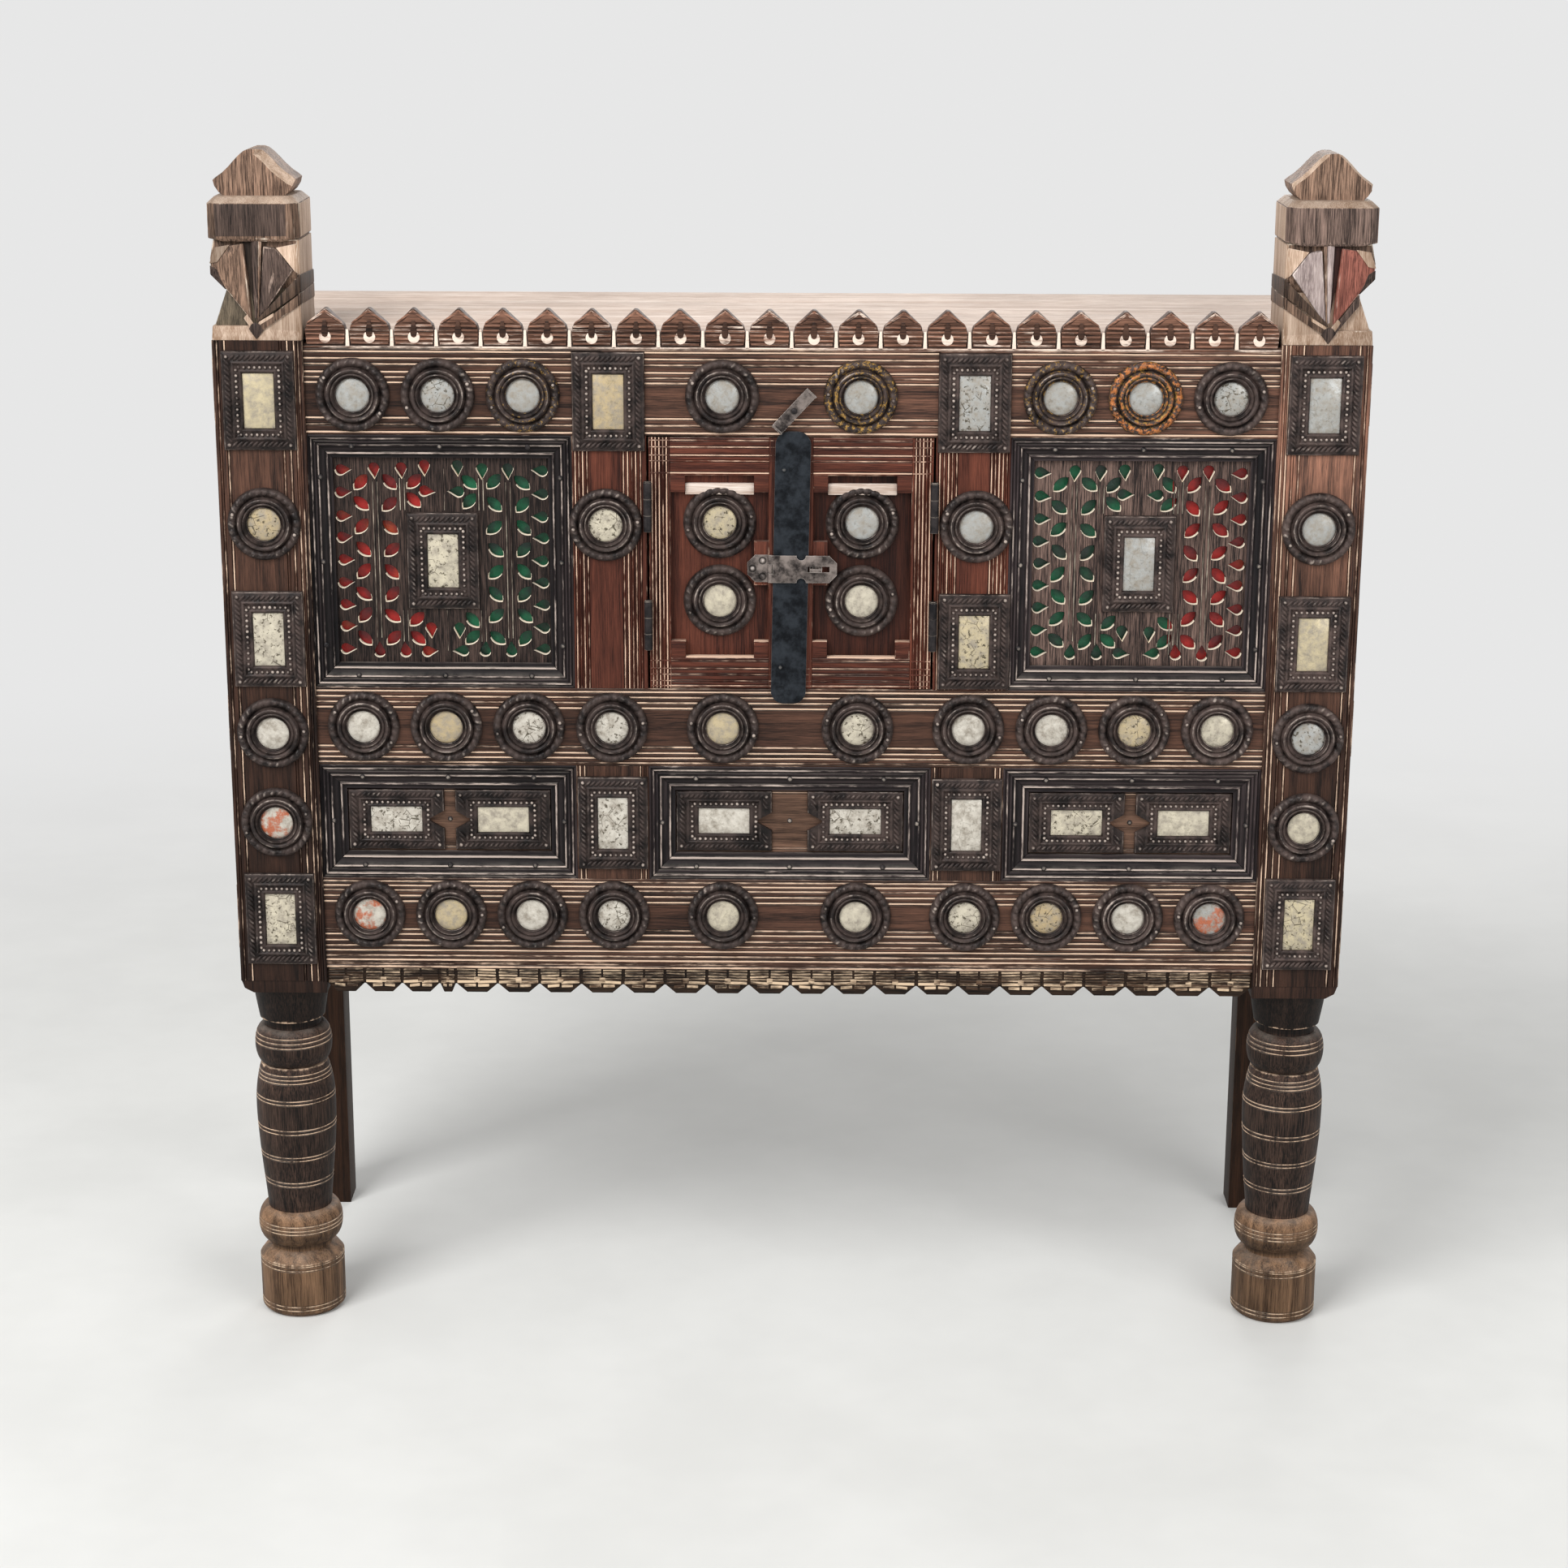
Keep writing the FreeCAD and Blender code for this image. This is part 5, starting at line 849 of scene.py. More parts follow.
def pointed_leaf(heap, x, front, inner, inner_cut, outer_cut):
    """The leaf on top: a brown face with pale chamfers of two widths along its upper edges."""
    rim = HALF_LEAF + [(-a, z) for a, z in reversed(HALF_LEAF)]
    cuts = [0.0 if z < 1262 or abs(a) < 8 else inner_cut if a > 0 else outer_cut for a, z in rim]
    face = [(a - math.copysign(cut, a), z - cut / 2) for (a, z), cut in zip(rim, cuts)]
    rows = [[(a, LEAF_FRONT, z) for a, z in face],
            [(a, LEAF_FRONT + 2 + cut * 1.7, z) for (a, z), cut in zip(rim, cuts)],
            [(a, LEAF_BACK, z) for a, z in rim]]
    points = [Vector((x + inner * a, front + d, z)) for row in rows for a, d, z in row]
    count = len(rim)
    sides = between_rings(3, count)
    pale = [quad for k, quad in enumerate(sides) if k < count and (cuts[k] or cuts[(k + 1) % count])]
    brown = [quad for quad in sides if quad not in pale]
    heap.finish = BROWN
    heap.add(points, brown + [list(range(count)), [2 * count + k for k in range(count)]], shade=0.95)
    heap.finish = PALE
    heap.add(points, pale, shade=0.66)


print("leaf outline with", 2 * len(HALF_LEAF), "points")

# %% [markdown]
# The finial stacks these forms from the shoulder up, on a block with cut corners. The two finials differ
# slightly: the left one has a dark front on its block, the right one a dark patch beside its point.

# %% Finial
SHOULDER, BUST_FOOT, BLOCK_FOOT, BLOCK_TOP = 1104, 1156, 1208, 1244
CUT_SQUARE = [(-47, 8), (-40, 0.6), (36, 0.6), (42, 5), (47, 14), (47, 86), (40, 93.4),
              (-40, 93.4), (-47, 86)]
HALF_DEPTH = 47


def finial(heap, x, front, inner):
    """Adds the finial over a post: x is its middle, front the post's face, inner +1 or -1 to the middle."""
    def hull(finish, points, **more):
        heap.finish = finish
        facet(heap, [Vector((x + inner * across, front + depth, z)) for across, depth, z in points], **more)

    def level(z, left, right, near, far):
        return [(across, depth, z) for across in (left, right) for depth in (near, far)]

    on_left = inner > 0
    # The pale shoulder, inner sides and top slope face up or inwards: partly bleached wood, partly painted
    # light.
    hull(PALE, level(SHOULDER, -46.5, 46.5, 0.6, 93) + level(SHOULDER + 15, -45.7, 46.4, 3.5, 91),
         shade=0.36, edge=0.4)
    hull(PALE, [(-4, 3, 1110), (2, 3, 1117), (-4, 60, 1110), (2, 60, 1117)]
         + level(1108, 40, 46.8, 2.5, 92) + level(1141, 44, 46.6, 2.5, 92), shade=0.34, bevel=0.8, edge=0.4)
    hull(NECK, level(1117, -44, 45, 6, 90) + level(BUST_FOOT + 1, -30, 45, 10, 88), bevel=1.0, shade=0.42)
    hull(BROWN, level(BUST_FOOT, -31, 45, 11, 88) + level(1172, -45.5, 45, 8, 90)
         + level(1187, -46, 45, 8, 90) + level(BLOCK_FOOT - 1, -42, 45, 9, 90), shade=0.5)
    hull(PALE, level(1163, 40, 46.4, 9, 90) + level(1206, 40, 46.4, 9, 90), shade=0.46, bevel=0.8, edge=0.4)
    bust(hull, 0.16 if on_left else 0.4)
    bands(hull)
    if not on_left:
        hull(DARK, [(-4, 1.4, 1121), (-7, 1.4, 1115.5), (-31, 4.6, 1144), (-31, 5.0, 1157), (-6, 9, 1119),
                    (-29, 12, 1150)], bevel=0.6, shade=0.75, edge=0.5)
    square = [(across, depth, z) for z in (BLOCK_FOOT, BLOCK_TOP) for across, depth in CUT_SQUARE]
    hull(BROWN if on_left else DARK, square + [(-30, 2, BLOCK_FOOT - 3), (30, 2, BLOCK_FOOT - 3)],
         bevel=1.2, shade=0.42 if on_left else 1.15, edge=0.6)
    if on_left:
        patch = ((-38, 1210.5), (34.5, 1211), (35, 1243.2), (-38.5, 1243))
        hull(DARK, [(across, depth, z) for across, z in patch for depth in (0.3, 3)],
             bevel=0.3, shade=0.36, edge=0.0)
    hull(PALE, level(BLOCK_FOOT + 1, 44, 47.4, 16, 85) + level(BLOCK_TOP - 1, 44, 47.4, 16, 85),
         bevel=0.5, shade=0.48, edge=0.3)
    slope = [(0.84 * across, HALF_DEPTH + 0.86 * (depth - HALF_DEPTH), 1250.5)
             for across, depth in CUT_SQUARE]
    hull(PALE, [(across, depth, BLOCK_TOP - 0.5) for across, depth in CUT_SQUARE] + slope,
         bevel=1.0, shade=0.36, edge=0.4)
    pointed_leaf(heap, x, front, inner, *((7.0, 0.0) if on_left else (3.0, 2.2)))


print("finial from", SHOULDER, "to", HALF_LEAF[-1][1])

# %% [markdown]
# Now the whole timber: foot, leg, square and finial on one heap, each with its own wood. The square's lower
# outer corner is cut off at a slant, as in the photo.

# %% Posts
SQUARE_LOW = 404
POST_RIDGES = (5, 13, 71, 78, 85, 89.5)


def front_post(side, label, neck, outer_lobe, inner_lobe, rubbed, shade):
    """Leg, scored square and finial as one timber."""
    low, high = corners(label + "_front_post")
    wide, middle, front = high.x - low.x, (low.x + high.x) / 2, low.y
    axis = (middle, front + wide / 2)
    heap = Heap()
    heap.finish = FOOT
    turn(heap, leg_line(0, RING_HIGH), axis, side)
    heap.finish = LEG
    turn(heap, leg_line(RING_HIGH, LEG_TOP), axis, side)
    heap.finish = POST
    end = ((-side, SQUARE_LOW + 0.5), (side, SQUARE_LOW + 0.5), (-side, LEG_TOP - 0.4),
           (0.72 * side, LEG_TOP - 0.4), (0.93 * side, LEG_TOP + 5))
    facet(heap, [Vector((middle + a * wide / 2, front + d, z)) for d in (1.0, wide) for a, z in end],
          shade=shade[0], edge=0.2)
    ridges = POST_RIDGES if side < 0 else [wide - t for t in POST_RIDGES]
    scored(heap, Vector((low.x, front, SQUARE_LOW)), UP, RIGHT, SHOULDER - SQUARE_LOW,
           reeds(wide, ridges, half=0.6, rubbed=rubbed), wide, seed=side + 2, shade=shade)
    finial(heap, middle, front, -side)
    woods = [foot_wood, leg_wood, frame_upright, finial_brown, finial_pale, finial_dark, neck, outer_lobe,
             inner_lobe]
    return heap.piece(label + "_post_carved", "frame", "frame_wood", woods, label + "_front_post")


# The tones run up each post's square: both are darker towards the bottom, and the right post is painted
# brighter, most of all near its top, which is painted light that falls stronger on the right.
front_post(-1, "left", finial_neck, finial_brown, finial_dark, 0.78,
           (0.04, 0.06, 0.1, 0.18, 0.28, 0.55, 0.8, 0.12))
front_post(1, "right", finial_pale, red_lobe, lilac_lobe, 0.9,
           (0.16, 0.18, 0.28, 0.42, 0.62, 1.45, 3.3, 1.0))

# %% [markdown]
# ## Rails, crest and apron
# The three rails run between the posts, with fine ridges along both edges and a plain field for the tins.
# Their tenons go right through the posts and stand a little proud outside, so each rail also gets the ends
# that its solid has.

# %% Rails
BETWEEN = corners("crest_board")[1].x
POST_SIDE = corners("right_front_post")[1].x
TENON_SHOWN = 4.0


def outer_ends(solid):
    """Boxes of what a solid shows outside the posts, each with its side of the cabinet."""
    points = [vert.co / MM for vert in solids[solid].data.vertices]
    found = []
    for side in (-1, 1):
        tips = [point for point in points if point.x * side > POST_SIDE + 0.5]
        if tips:
            found.append((*box_of(tips), side))
    return found


def rail(label, ridges, shade):
    """A scored rail with its tenon ends."""
    low, high = corners(label)
    heap = Heap()
    scored(heap, Vector((-BETWEEN, low.y, low.z)), RIGHT, UP, 2 * BETWEEN,
           reeds(high.z - low.z, ridges, half=0.7, rubbed=1.1), high.y - low.y, seed=low.z / 100, shade=shade)
    for near, far, side in outer_ends(label):
        inside = side * (POST_SIDE - TENON_SHOWN)
        block(heap, (min(inside, near.x), near.y, near.z), (max(inside, far.x), far.y, far.z),
              bevel=1.0, shade=0.6)
    return heap.piece(label + "_scored", "frame", "frame_wood", [frame_level], label)


# Each rail's tones rise from left to right: painted light, which falls stronger on the right.
rail("top_rail", (3.2, 11, 18, 55, 60.5, 66, 74, 80, 87), (0.22, 0.5, 0.95, 1.08, 1.1))
rail("middle_rail", (3.5, 9, 14.5, 21, 64, 70, 76, 82), (0.42, 0.52, 0.64))
rail("bottom_rail", (3, 8, 14, 19.5, 25.5, 32.5, 38, 70, 76.5, 83, 88, 93), (0.38, 0.52, 0.64))

# %% [markdown]
# The crest is a row of pointed teeth, each carved with reeds across its foot, a little roof in its tip and a
# drop that hangs into a round cup. A rib stands between two teeth. The carving is drawn about each tooth's
# middle, and small random leans keep the row from looking stamped.

# %% Crest
CREST_TEETH = 22
CREST_SHOWN = 41.0
TOOTH_PITCH = 2 * BETWEEN / CREST_TEETH
TOOTH_HALF = TOOTH_PITCH / 2 - 2.2
LIP_FACE, TOOTH_FACE, ROOT = 1.2, 2.6, 4
LOWER_LIP = [(0, 0.8, 0.9), (0.8, 0.0, 1.0), (2.2, 0.0, 1.0), (3.0, 1.6, -1.0), (4, 1.8, -1.0)]
TOOTH_REEDS = ((5.6, 1.6), (10, 0.9), (14.6, 0.6), (19.2, 0.6), (23.6, 2))
CUP = [(6.2 * math.cos(math.pi * k / 8), 11.8 + 6.4 * math.sin(math.pi * k / 8)) for k in range(16)]
DROP = [(-1.7, 29), (1.7, 29), (-3.7, 17), (3.7, 17), (-2.6, 12.6), (2.6, 12.6), (0, 11.4)]
RIB = [(-2.1, 1), (2.1, 1), (1.3, 19.5), (-1.3, 19.5)]


def crest_tooth(heap, middle, front, back, base, chance, ribbed):
    """Adds one tooth of the crest, with a rib on its left if it is not the first."""
    def form(points, near, far, **more):
        hull = [Vector((middle + a, front + d, base + z)) for a, z in points for d in (near, far)]
        facet(heap, hull, **more)

    tip = chance.uniform(-0.9, 0.9)
    tone = chance.uniform(0.4, 0.62)
    half = TOOTH_HALF
    outline = [(1 - half, 3.5), (half - 1, 3.5), (half, 18), (half - 1.5, 24), (tip + 1.6, 40.7),
               (tip - 1.6, 40.7), (1.5 - half, 24), (-half, 18)]
    plate(heap, [(middle + a, base + z) for a, z in outline], front + TOOTH_FACE, back,
          bevel=0.9, shade=0.16, edge=0.5)
    for z, inset in TOOTH_REEDS:
        lean = chance.uniform(-0.4, 0.4)
        ends = [(side * (half - inset), z + side * lean + lift) for side in (-1, 1) for lift in (-1.1, 0.9)]
        form(ends, 1.0, ROOT, bevel=0.5, shade=tone, rub=chance.choice((0.2, 0.45, 0.7)))
    for side in (-1, 1):
        roof = [(side * 19, 25), (side * 17.5, 27.5), (tip, 40.2), (tip - side * 1.2, 37.6)]
        form(roof, 1.4, ROOT, bevel=0.5, shade=0.6, rub=0.5)
    if ribbed:
        form([(a - TOOTH_PITCH / 2, z) for a, z in RIB], 1.2, 6, bevel=0.5, rub=1.5)
    gable = [(-12, 27), (12, 27), (7, 31.5), (-7, 31.5), (tip, 38)]
    form(gable, 1.2, ROOT, bevel=0.4, shade=0.3, edge=0.3)
    form(CUP, 0.7, ROOT, bevel=0.6, rub=1.2)
    form(DROP, 0.2, ROOT, bevel=0.5, shade=0.0, edge=0.0)


def crest():
    """The toothed board on the top rail."""
    low, high = corners("crest_board")
    base, front, back = high.z - CREST_SHOWN, low.y, high.y
    heap = Heap()
    scored(heap, Vector((-BETWEEN, front + LIP_FACE, base)), RIGHT, UP, 2 * BETWEEN, LOWER_LIP,
           back - front - LIP_FACE, seed=31)
    chance = random.Random(5)
    for i in range(CREST_TEETH):
        crest_tooth(heap, -BETWEEN + TOOTH_PITCH * (i + 0.5), front, back, base, chance, i > 0)
    return heap.piece("crest_carved", "frame", "frame_wood", [crest_wood], "crest_board")


crest()

# %% [markdown]
# The apron's teeth point down, with flat ends. Three teeth on the left are a little narrower than the rest
# and one is very narrow, as on the real board. Each has a lower end that is painted nearly black as the shade
# of an underside, and two columns of short reeds with a knot between them. A ribbed strip runs above all of
# them.

# %% Apron
NARROW_TEETH, NARROW, SLIVER, EVEN_TEETH = 3, 41, 18, 19
EVEN = (2 * BETWEEN - NARROW_TEETH * NARROW - SLIVER) / EVEN_TEETH
TOOTH_END, TOOTH_TOP = 10, 31
STRIP_FOOT, STRIP_FACE = 28, 0.4
APRON_REEDS = ((8.4, 1.5), (12.7, 1.5), (16.8, 0.9), (20, 0.9), (23.2, 0.9), (26.4, 0.9))
KNOT = ((-1, -1), (1, -1), (0.4, 0), (1, 1), (-1, 1), (-0.4, 0))
UPPER_STRIP = [(0, 1.0, 0.2), (1.0, 0.1, 0.9), (2.4, 0.1, 0.9), (3.6, 1.4, 0.0), (5.0, 0.4, 0.7),
               (6.8, 0.6, 0.3)]


def apron_tooth(heap, x, wide, front, back, foot, chance):
    """Adds one tooth of the apron, from its left edge."""
    middle, flat = x + wide / 2, 22 * wide / EVEN
    end = [(x + 0.5, TOOTH_END), (middle - flat / 2, 0), (middle + flat / 2, 0), (x + wide - 0.5, TOOTH_END),
           (x + wide - 0.8, TOOTH_END + 2), (x + 0.8, TOOTH_END + 2)]
    # The lower end is painted nearly black: painted shade for the underside of the tooth.
    plate(heap, [(a, foot + z) for a, z in end], front + TOOTH_FACE, back,
          bevel=0.7, shade=0.06, edge=0.15)
    reach, foot_reach = wide / 2 - 1.2, flat * 0.44
    ground = [(-reach, 12.5), (-foot_reach, 5.8), (foot_reach, 5.8), (reach, 12.5), (reach, TOOTH_TOP),
              (-reach, TOOTH_TOP)]
    plate(heap, [(middle + a, foot + z) for a, z in ground], front + 1.7, front + ROOT,
          bevel=0.6, shade=0.1, edge=0.3)
    for side in (-1, 1):
        for z, tall in APRON_REEDS:
            out = foot_reach + (reach - foot_reach) * min(1.0, (z - 5.8) / 6.7) - chance.uniform(0.2, 1.2)
            lean = chance.uniform(-0.6, 0.6)
            lower = z < 15
            points = [Vector((middle + side * a, front + d, foot + z + lift + slope))
                      for a, slope in ((1.2, -lean), (out, lean))
                      for lift in (-tall, tall) for d in (0.3, ROOT)]
            tone = chance.uniform(0.35, 0.75) if lower else chance.uniform(0.15, 0.45)
            rub = chance.choice((0.6, 0.85, 1.05) if lower else (0.0, 0.3, 0.75))
            facet(heap, points, bevel=0.6, shade=tone, rub=rub)
    knot = 3.2 * min(1.0, wide / 40)
    points = [Vector((middle + a * knot, front + d, foot + 15 + b * 3)) for a, b in KNOT for d in (0.1, ROOT)]
    facet(heap, points, bevel=0.5, shade=0.6, rub=0.8)


def apron():
    """The scalloped board under the bottom rail."""
    low, high = corners("apron_board")
    foot, front, back = low.z, low.y, high.y
    heap = Heap()
    scored(heap, Vector((-BETWEEN, front + TOOTH_FACE, foot + TOOTH_END)), RIGHT, UP, 2 * BETWEEN,
           [(0, 0.0, 0.0), (25, 0.0, 0.0)], back - front - TOOTH_FACE, seed=44, shade=0.1)
    x = -BETWEEN
    chance = random.Random(8)
    for wide in [NARROW] * NARROW_TEETH + [SLIVER] + [EVEN] * EVEN_TEETH:
        apron_tooth(heap, x, wide, front, back, foot, chance)
        x += wide
    heap.finish = 1
    scored(heap, Vector((-BETWEEN, front + STRIP_FACE, foot + STRIP_FOOT)), RIGHT, UP, 2 * BETWEEN,
           UPPER_STRIP, back - front - STRIP_FACE, seed=45)
    return heap.piece("apron_carved", "frame", "frame_wood", [apron_wood, frame_level], "apron_board")


apron()

# %% [markdown]
# ## Muntins, panels and mouldings
# Muntins are the short uprights between two rails. Their tenons are hidden in the rails, so the part that
# shows gets its height from the rails. The upper ones, beside the doors, are redder than the frame.

# %% Muntins
UPPER_ROW, LOWER_ROW = ("middle_rail", "top_rail"), ("bottom_rail", "middle_rail")


def muntin(label, row, slot, material, ridges, shade):
    """A scored upright between the two rails of a row."""
    low, high = corners(label)
    bottom, top = corners(row[0])[1].z, corners(row[1])[0].z
    heap = Heap()
    scored(heap, Vector((low.x, low.y, bottom)), UP, RIGHT, top - bottom,
           reeds(high.x - low.x, ridges, rubbed=0.9), high.y - low.y, seed=low.x / 50, shade=shade)
    return heap.piece(label + "_scored", "frame", slot, [material], label)


muntin("left_upper_muntin", UPPER_ROW, "door_wood", door_upright,
       (3.5, 7.5, 11.5, 16, 54, 58.5, 63, 67, 72), 0.44)
muntin("right_upper_muntin", UPPER_ROW, "door_wood", door_upright,
       (4, 8.5, 13, 17, 21.5, 58, 62, 66, 70, 74), 0.56)
for label in ("left_lower_muntin", "right_lower_muntin"):
    low, high = corners(label)
    wide = high.x - low.x
    muntin(label, LOWER_ROW, "frame_wood", frame_upright, (4, 9, wide - 9, wide - 4), 0.42)

# %% [markdown]
# The pierced panels are cut right through with leaves and drops. The lower wall of each hole, where the knife
# left bare wood, is painted pale as the light from above would catch it, and this pale lip is what makes the
# pattern read: bare wood and painted light. So the holes are real: their outlines are filled to a face, walls
# go through the board, and the lower walls carry the wear mark.

# %% Leaves and drops
LEAF_SIZE, DROP_SIZE = (9.8, 5.1), (7.8, 5.0)
ROW = 24
TOP_ROW = 96


def moved_out(points, size, grow):
    """Points about the middle of a form, moved out so that its half sizes grow."""
    long, wide = size
    return [(x * (1 + grow / long), z * (1 + grow / wide)) for x, z in points]


def leaf_outline(grow):
    """Points round a leaf with two tips along x, larger all round by grow."""
    long, wide = LEAF_SIZE
    radius = (long * long + wide * wide) / (2 * wide)
    reach = math.asin(long / radius)
    points = []
    for sign in (1, -1):
        for k in range(8):
            angle = reach - 2 * reach * k / 8
            rise = wide - radius + radius * math.cos(angle)
            points.append((sign * radius * math.sin(angle), sign * rise))
    return moved_out(points, LEAF_SIZE, grow)


def drop_outline(grow):
    """Points round a drop with one tip along x, larger all round by grow."""
    long, wide = DROP_SIZE
    reach = math.acos(wide / (long * 2 - wide))
    points = [(long, 0.0)]
    for k in range(15):
        angle = reach + (2 * math.pi - 2 * reach) * k / 14
        points.append((wide - long + wide * math.cos(angle), wide * math.sin(angle)))
    return moved_out(points, DROP_SIZE, grow)


def leaf_places():
    """The holes about the panel's middle: x, z, turn in degrees, and the outline's function."""
    places = []
    for flank in (-1, 1):
        for row in range(9):
            places.append((flank * 103, TOP_ROW - ROW * row, 90 + 90 * flank, drop_outline))
        for row in range(8):
            z = TOP_ROW - ROW / 2 - ROW * row
            lean = 45 if row % 2 else -45
            places.append((flank * 85, z, flank * lean, leaf_outline))
            places.append((flank * 55, z, -flank * lean, leaf_outline))
            if abs(z) > 2.5 * ROW:
                places.append((flank * 29.5, z, flank * lean, leaf_outline))
                places.append((flank * 29.5, math.copysign(64, z), -flank * lean, leaf_outline))
        for x in (70, 42.25):
            places.append((flank * x, TOP_ROW, -90, drop_outline))
            places.append((flank * x, -TOP_ROW, 90, drop_outline))
        places.append((flank * 17, 98, -90, drop_outline))
        places.append((flank * 15.5, 74, 90 + 90 * flank, drop_outline))
        places.append((flank * 14.5, -76, -90, drop_outline))
        places.append((flank * 16, -98, 90 + 90 * flank, drop_outline))
    return places


print("a pierced panel has", len(leaf_places()), "holes")

# %% [markdown]
# Each hole is a little wider at the face than behind it, which leaves a thin lip. Every leaf also gets a
# small random turn and shift, as knife work has. Pairs of stems stand out from the board between the leaves.

# %% Pierced panels
AT_FACE, BEHIND_LIP = 1.3, 0.8
STEM_LINE = [(0, 0.8, 0.1), (0.5, 0.05, 0.6), (1.1, 0.05, 0.6), (1.6, 0.8, 0.1)]
SEAM_LINE = [(0, 0.4, 0.2), (0.4, 0.05, 0.6), (0.9, 0.05, 0.6), (1.3, 0.4, 0.2)]
OUTER_STEM, INNER_STEM, SEAM = ((-84, 84),), ((-88, -54), (54, 88)), ((-98, -54), (54, 98))


def turned_loop(points, x, z, angle):
    """Points turned by an angle and moved to a place."""
    return [(x + a * math.cos(angle) - b * math.sin(angle), z + a * math.sin(angle) + b * math.cos(angle))
            for a, b in points]


def hole_loops(middle, chance):
    """The outlines of all the holes at the panel's face, and narrower ones behind the lip."""
    wide, narrow = [], []
    for x, z, turned, outline in leaf_places():
        angle = math.radians(turned + chance.uniform(-7, 7))
        x = middle.x + x + chance.uniform(-0.8, 0.8)
        z = middle.z + z + chance.uniform(-0.8, 0.8)
        wide.append(turned_loop(outline(AT_FACE), x, z, angle))
        narrow.append(turned_loop(outline(BEHIND_LIP), x, z, angle))
    return wide, narrow


def filled_face(loops, depth):
    """Points and triangles of a flat face inside the first loop, with the other loops as holes."""
    flat = bmesh.new()
    for loop in loops:
        ring = [flat.verts.new((x, depth, z)) for x, z in loop]
        for first, second in zip(ring, ring[1:] + ring[:1]):
            flat.edges.new((first, second))
    bmesh.ops.triangle_fill(flat, use_beauty=True, use_dissolve=False, edges=flat.edges, normal=(0, -1, 0))
    flat.verts.index_update()
    verts = [vert.co.copy() for vert in flat.verts]
    faces = [[vert.index for vert in face.verts] for face in flat.faces]
    flat.free()
    return verts, faces


def hole_wall(heap, outer, inner, front, back):
    """Adds the wall from the panel's face to its back. Near the face its lower side is pale: bare wood and
    painted light.
    """
    rows = [[Vector((x, depth, z)) for x, z in loop]
            for loop, depth in ((outer, front), (inner, front + 0.6), (inner, front + 6), (outer, back))]
    count = len(outer)
    sill = sum(z for _, z in inner) / count - 1
    # Only the lower walls near the face turn pale, the upper ones stay dark: bare wood and painted light from
    # above.
    bare = [rows[0][k].z + rows[0][(k + 1) % count].z < 2 * sill for k in range(count)]
    rubbed = [1.6 if row < 2 and bare[k] else 0.0 for row in range(3) for k in range(count)]
    heap.add([point for row in rows for point in row], between_rings(4, count), ("worn",), worn=rubbed)


def stems(heap, middle, front, seam):
    """Adds pairs of raised stems between the leaves, and the single line of a seam."""
    for x, parts in ((-70, OUTER_STEM), (-41.5, INNER_STEM), (41.5, INNER_STEM), (70, OUTER_STEM)):
        for first, last in parts:
            for side in (-2.4, 2.4):
                start = middle + Vector((x + side - 0.8, front - 0.9, first))
                scored(heap, start, UP, RIGHT, last - first, STEM_LINE, 1.2, seed=x + side)
    for first, last in SEAM:
        start = middle + Vector((seam, front - 0.5, first))
        scored(heap, start, UP, RIGHT, last - first, SEAM_LINE, 0.8, seed=77)


def pierced_panel(label, seam, shade):
    """A board with real holes, worn walls and raised stems; seam is the place of its seam."""
    low, high = corners(label)
    middle = Vector(((low.x + high.x) / 2, 0, (low.z + high.z) / 2))
    front, back = low.y, high.y
    rim = [(low.x, low.z), (high.x, low.z), (high.x, high.z), (low.x, high.z)]
    wide, narrow = hole_loops(middle, random.Random(label))
    verts, faces = filled_face([rim] + wide, front)
    heap = Heap()
    heap.add(verts, faces, shade=shade)
    heap.add([Vector((vert.x, back, vert.z)) for vert in verts], [face[::-1] for face in faces])
    for outer, inner in zip([rim] + wide, [rim] + narrow):
        hole_wall(heap, outer, inner, front, back)
    stems(heap, middle, front, seam)
    return heap.piece(label + "_carved", "frame", "frame_wood", [panel_wood], label)


# The right panel is painted much brighter than the left one: painted light, which falls stronger on the
# right.
pierced_panel("left_pierced_panel", 2.0, 0.32)
pierced_panel("right_pierced_panel", 34.0, 1.15)

# %% [markdown]
# Red and green sheets lie behind the holes. A crumpled sheet is a grid of points that smooth noise pushes
# back and forth, closed by its sides and a flat back.

# %% Coloured sheets
CELL, FOLD = 4.0, 7.0


def crumpled(label, material, slot):
    """The sheets behind a pierced panel, crumpled within their own thickness."""
    heap = Heap()
    for low, high in each_body(label):
        width, depth, height = high.x - low.x, high.y - low.y, high.z - low.z
        across, up = round(width / CELL), round(height / CELL)
        row = across + 1
        verts = []
        for j in range(up + 1):
            for i in range(row):
                x, z = low.x + width * i / across, low.z + height * j / up
                push = 0.5 + 0.5 * noise.noise(Vector((x / FOLD, z / FOLD, 3.0)))
                verts.append(Vector((x, low.y + 0.05 + 0.8 * depth * push, z)))
        faces = [[j * row + i, j * row + i + 1, (j + 1) * row + i + 1, (j + 1) * row + i]
                 for j in range(up) for i in range(across)]
        rim = list(range(across)) + [j * row + across for j in range(up)]
        rim += [up * row + i for i in range(across, 0, -1)] + [j * row for j in range(up, 0, -1)]
        back = [len(verts) + k for k in range(len(rim))]
        verts += [Vector((verts[i].x, high.y, verts[i].z)) for i in rim]
        faces += [[rim[k - 1], rim[k], back[k], back[k - 1]] for k in range(len(rim))]
        heap.add(verts, faces + [back])
    return heap.piece(label + "_crumpled", "frame", slot, [material], label)


crumpled("red_backing_sheets", red_paper, "red_sheet")
crumpled("green_backing_sheets", green_paper, "green_sheet")

# %% [markdown]
# The low panels are plain boards with two scraper lines and a nail in the middle, between their two tins.
# The nail's head is a dome: rings of points that shrink towards a tip, with a face below.

# %% Low panels
SUNK = 0.6
SCRAPED = 40.0


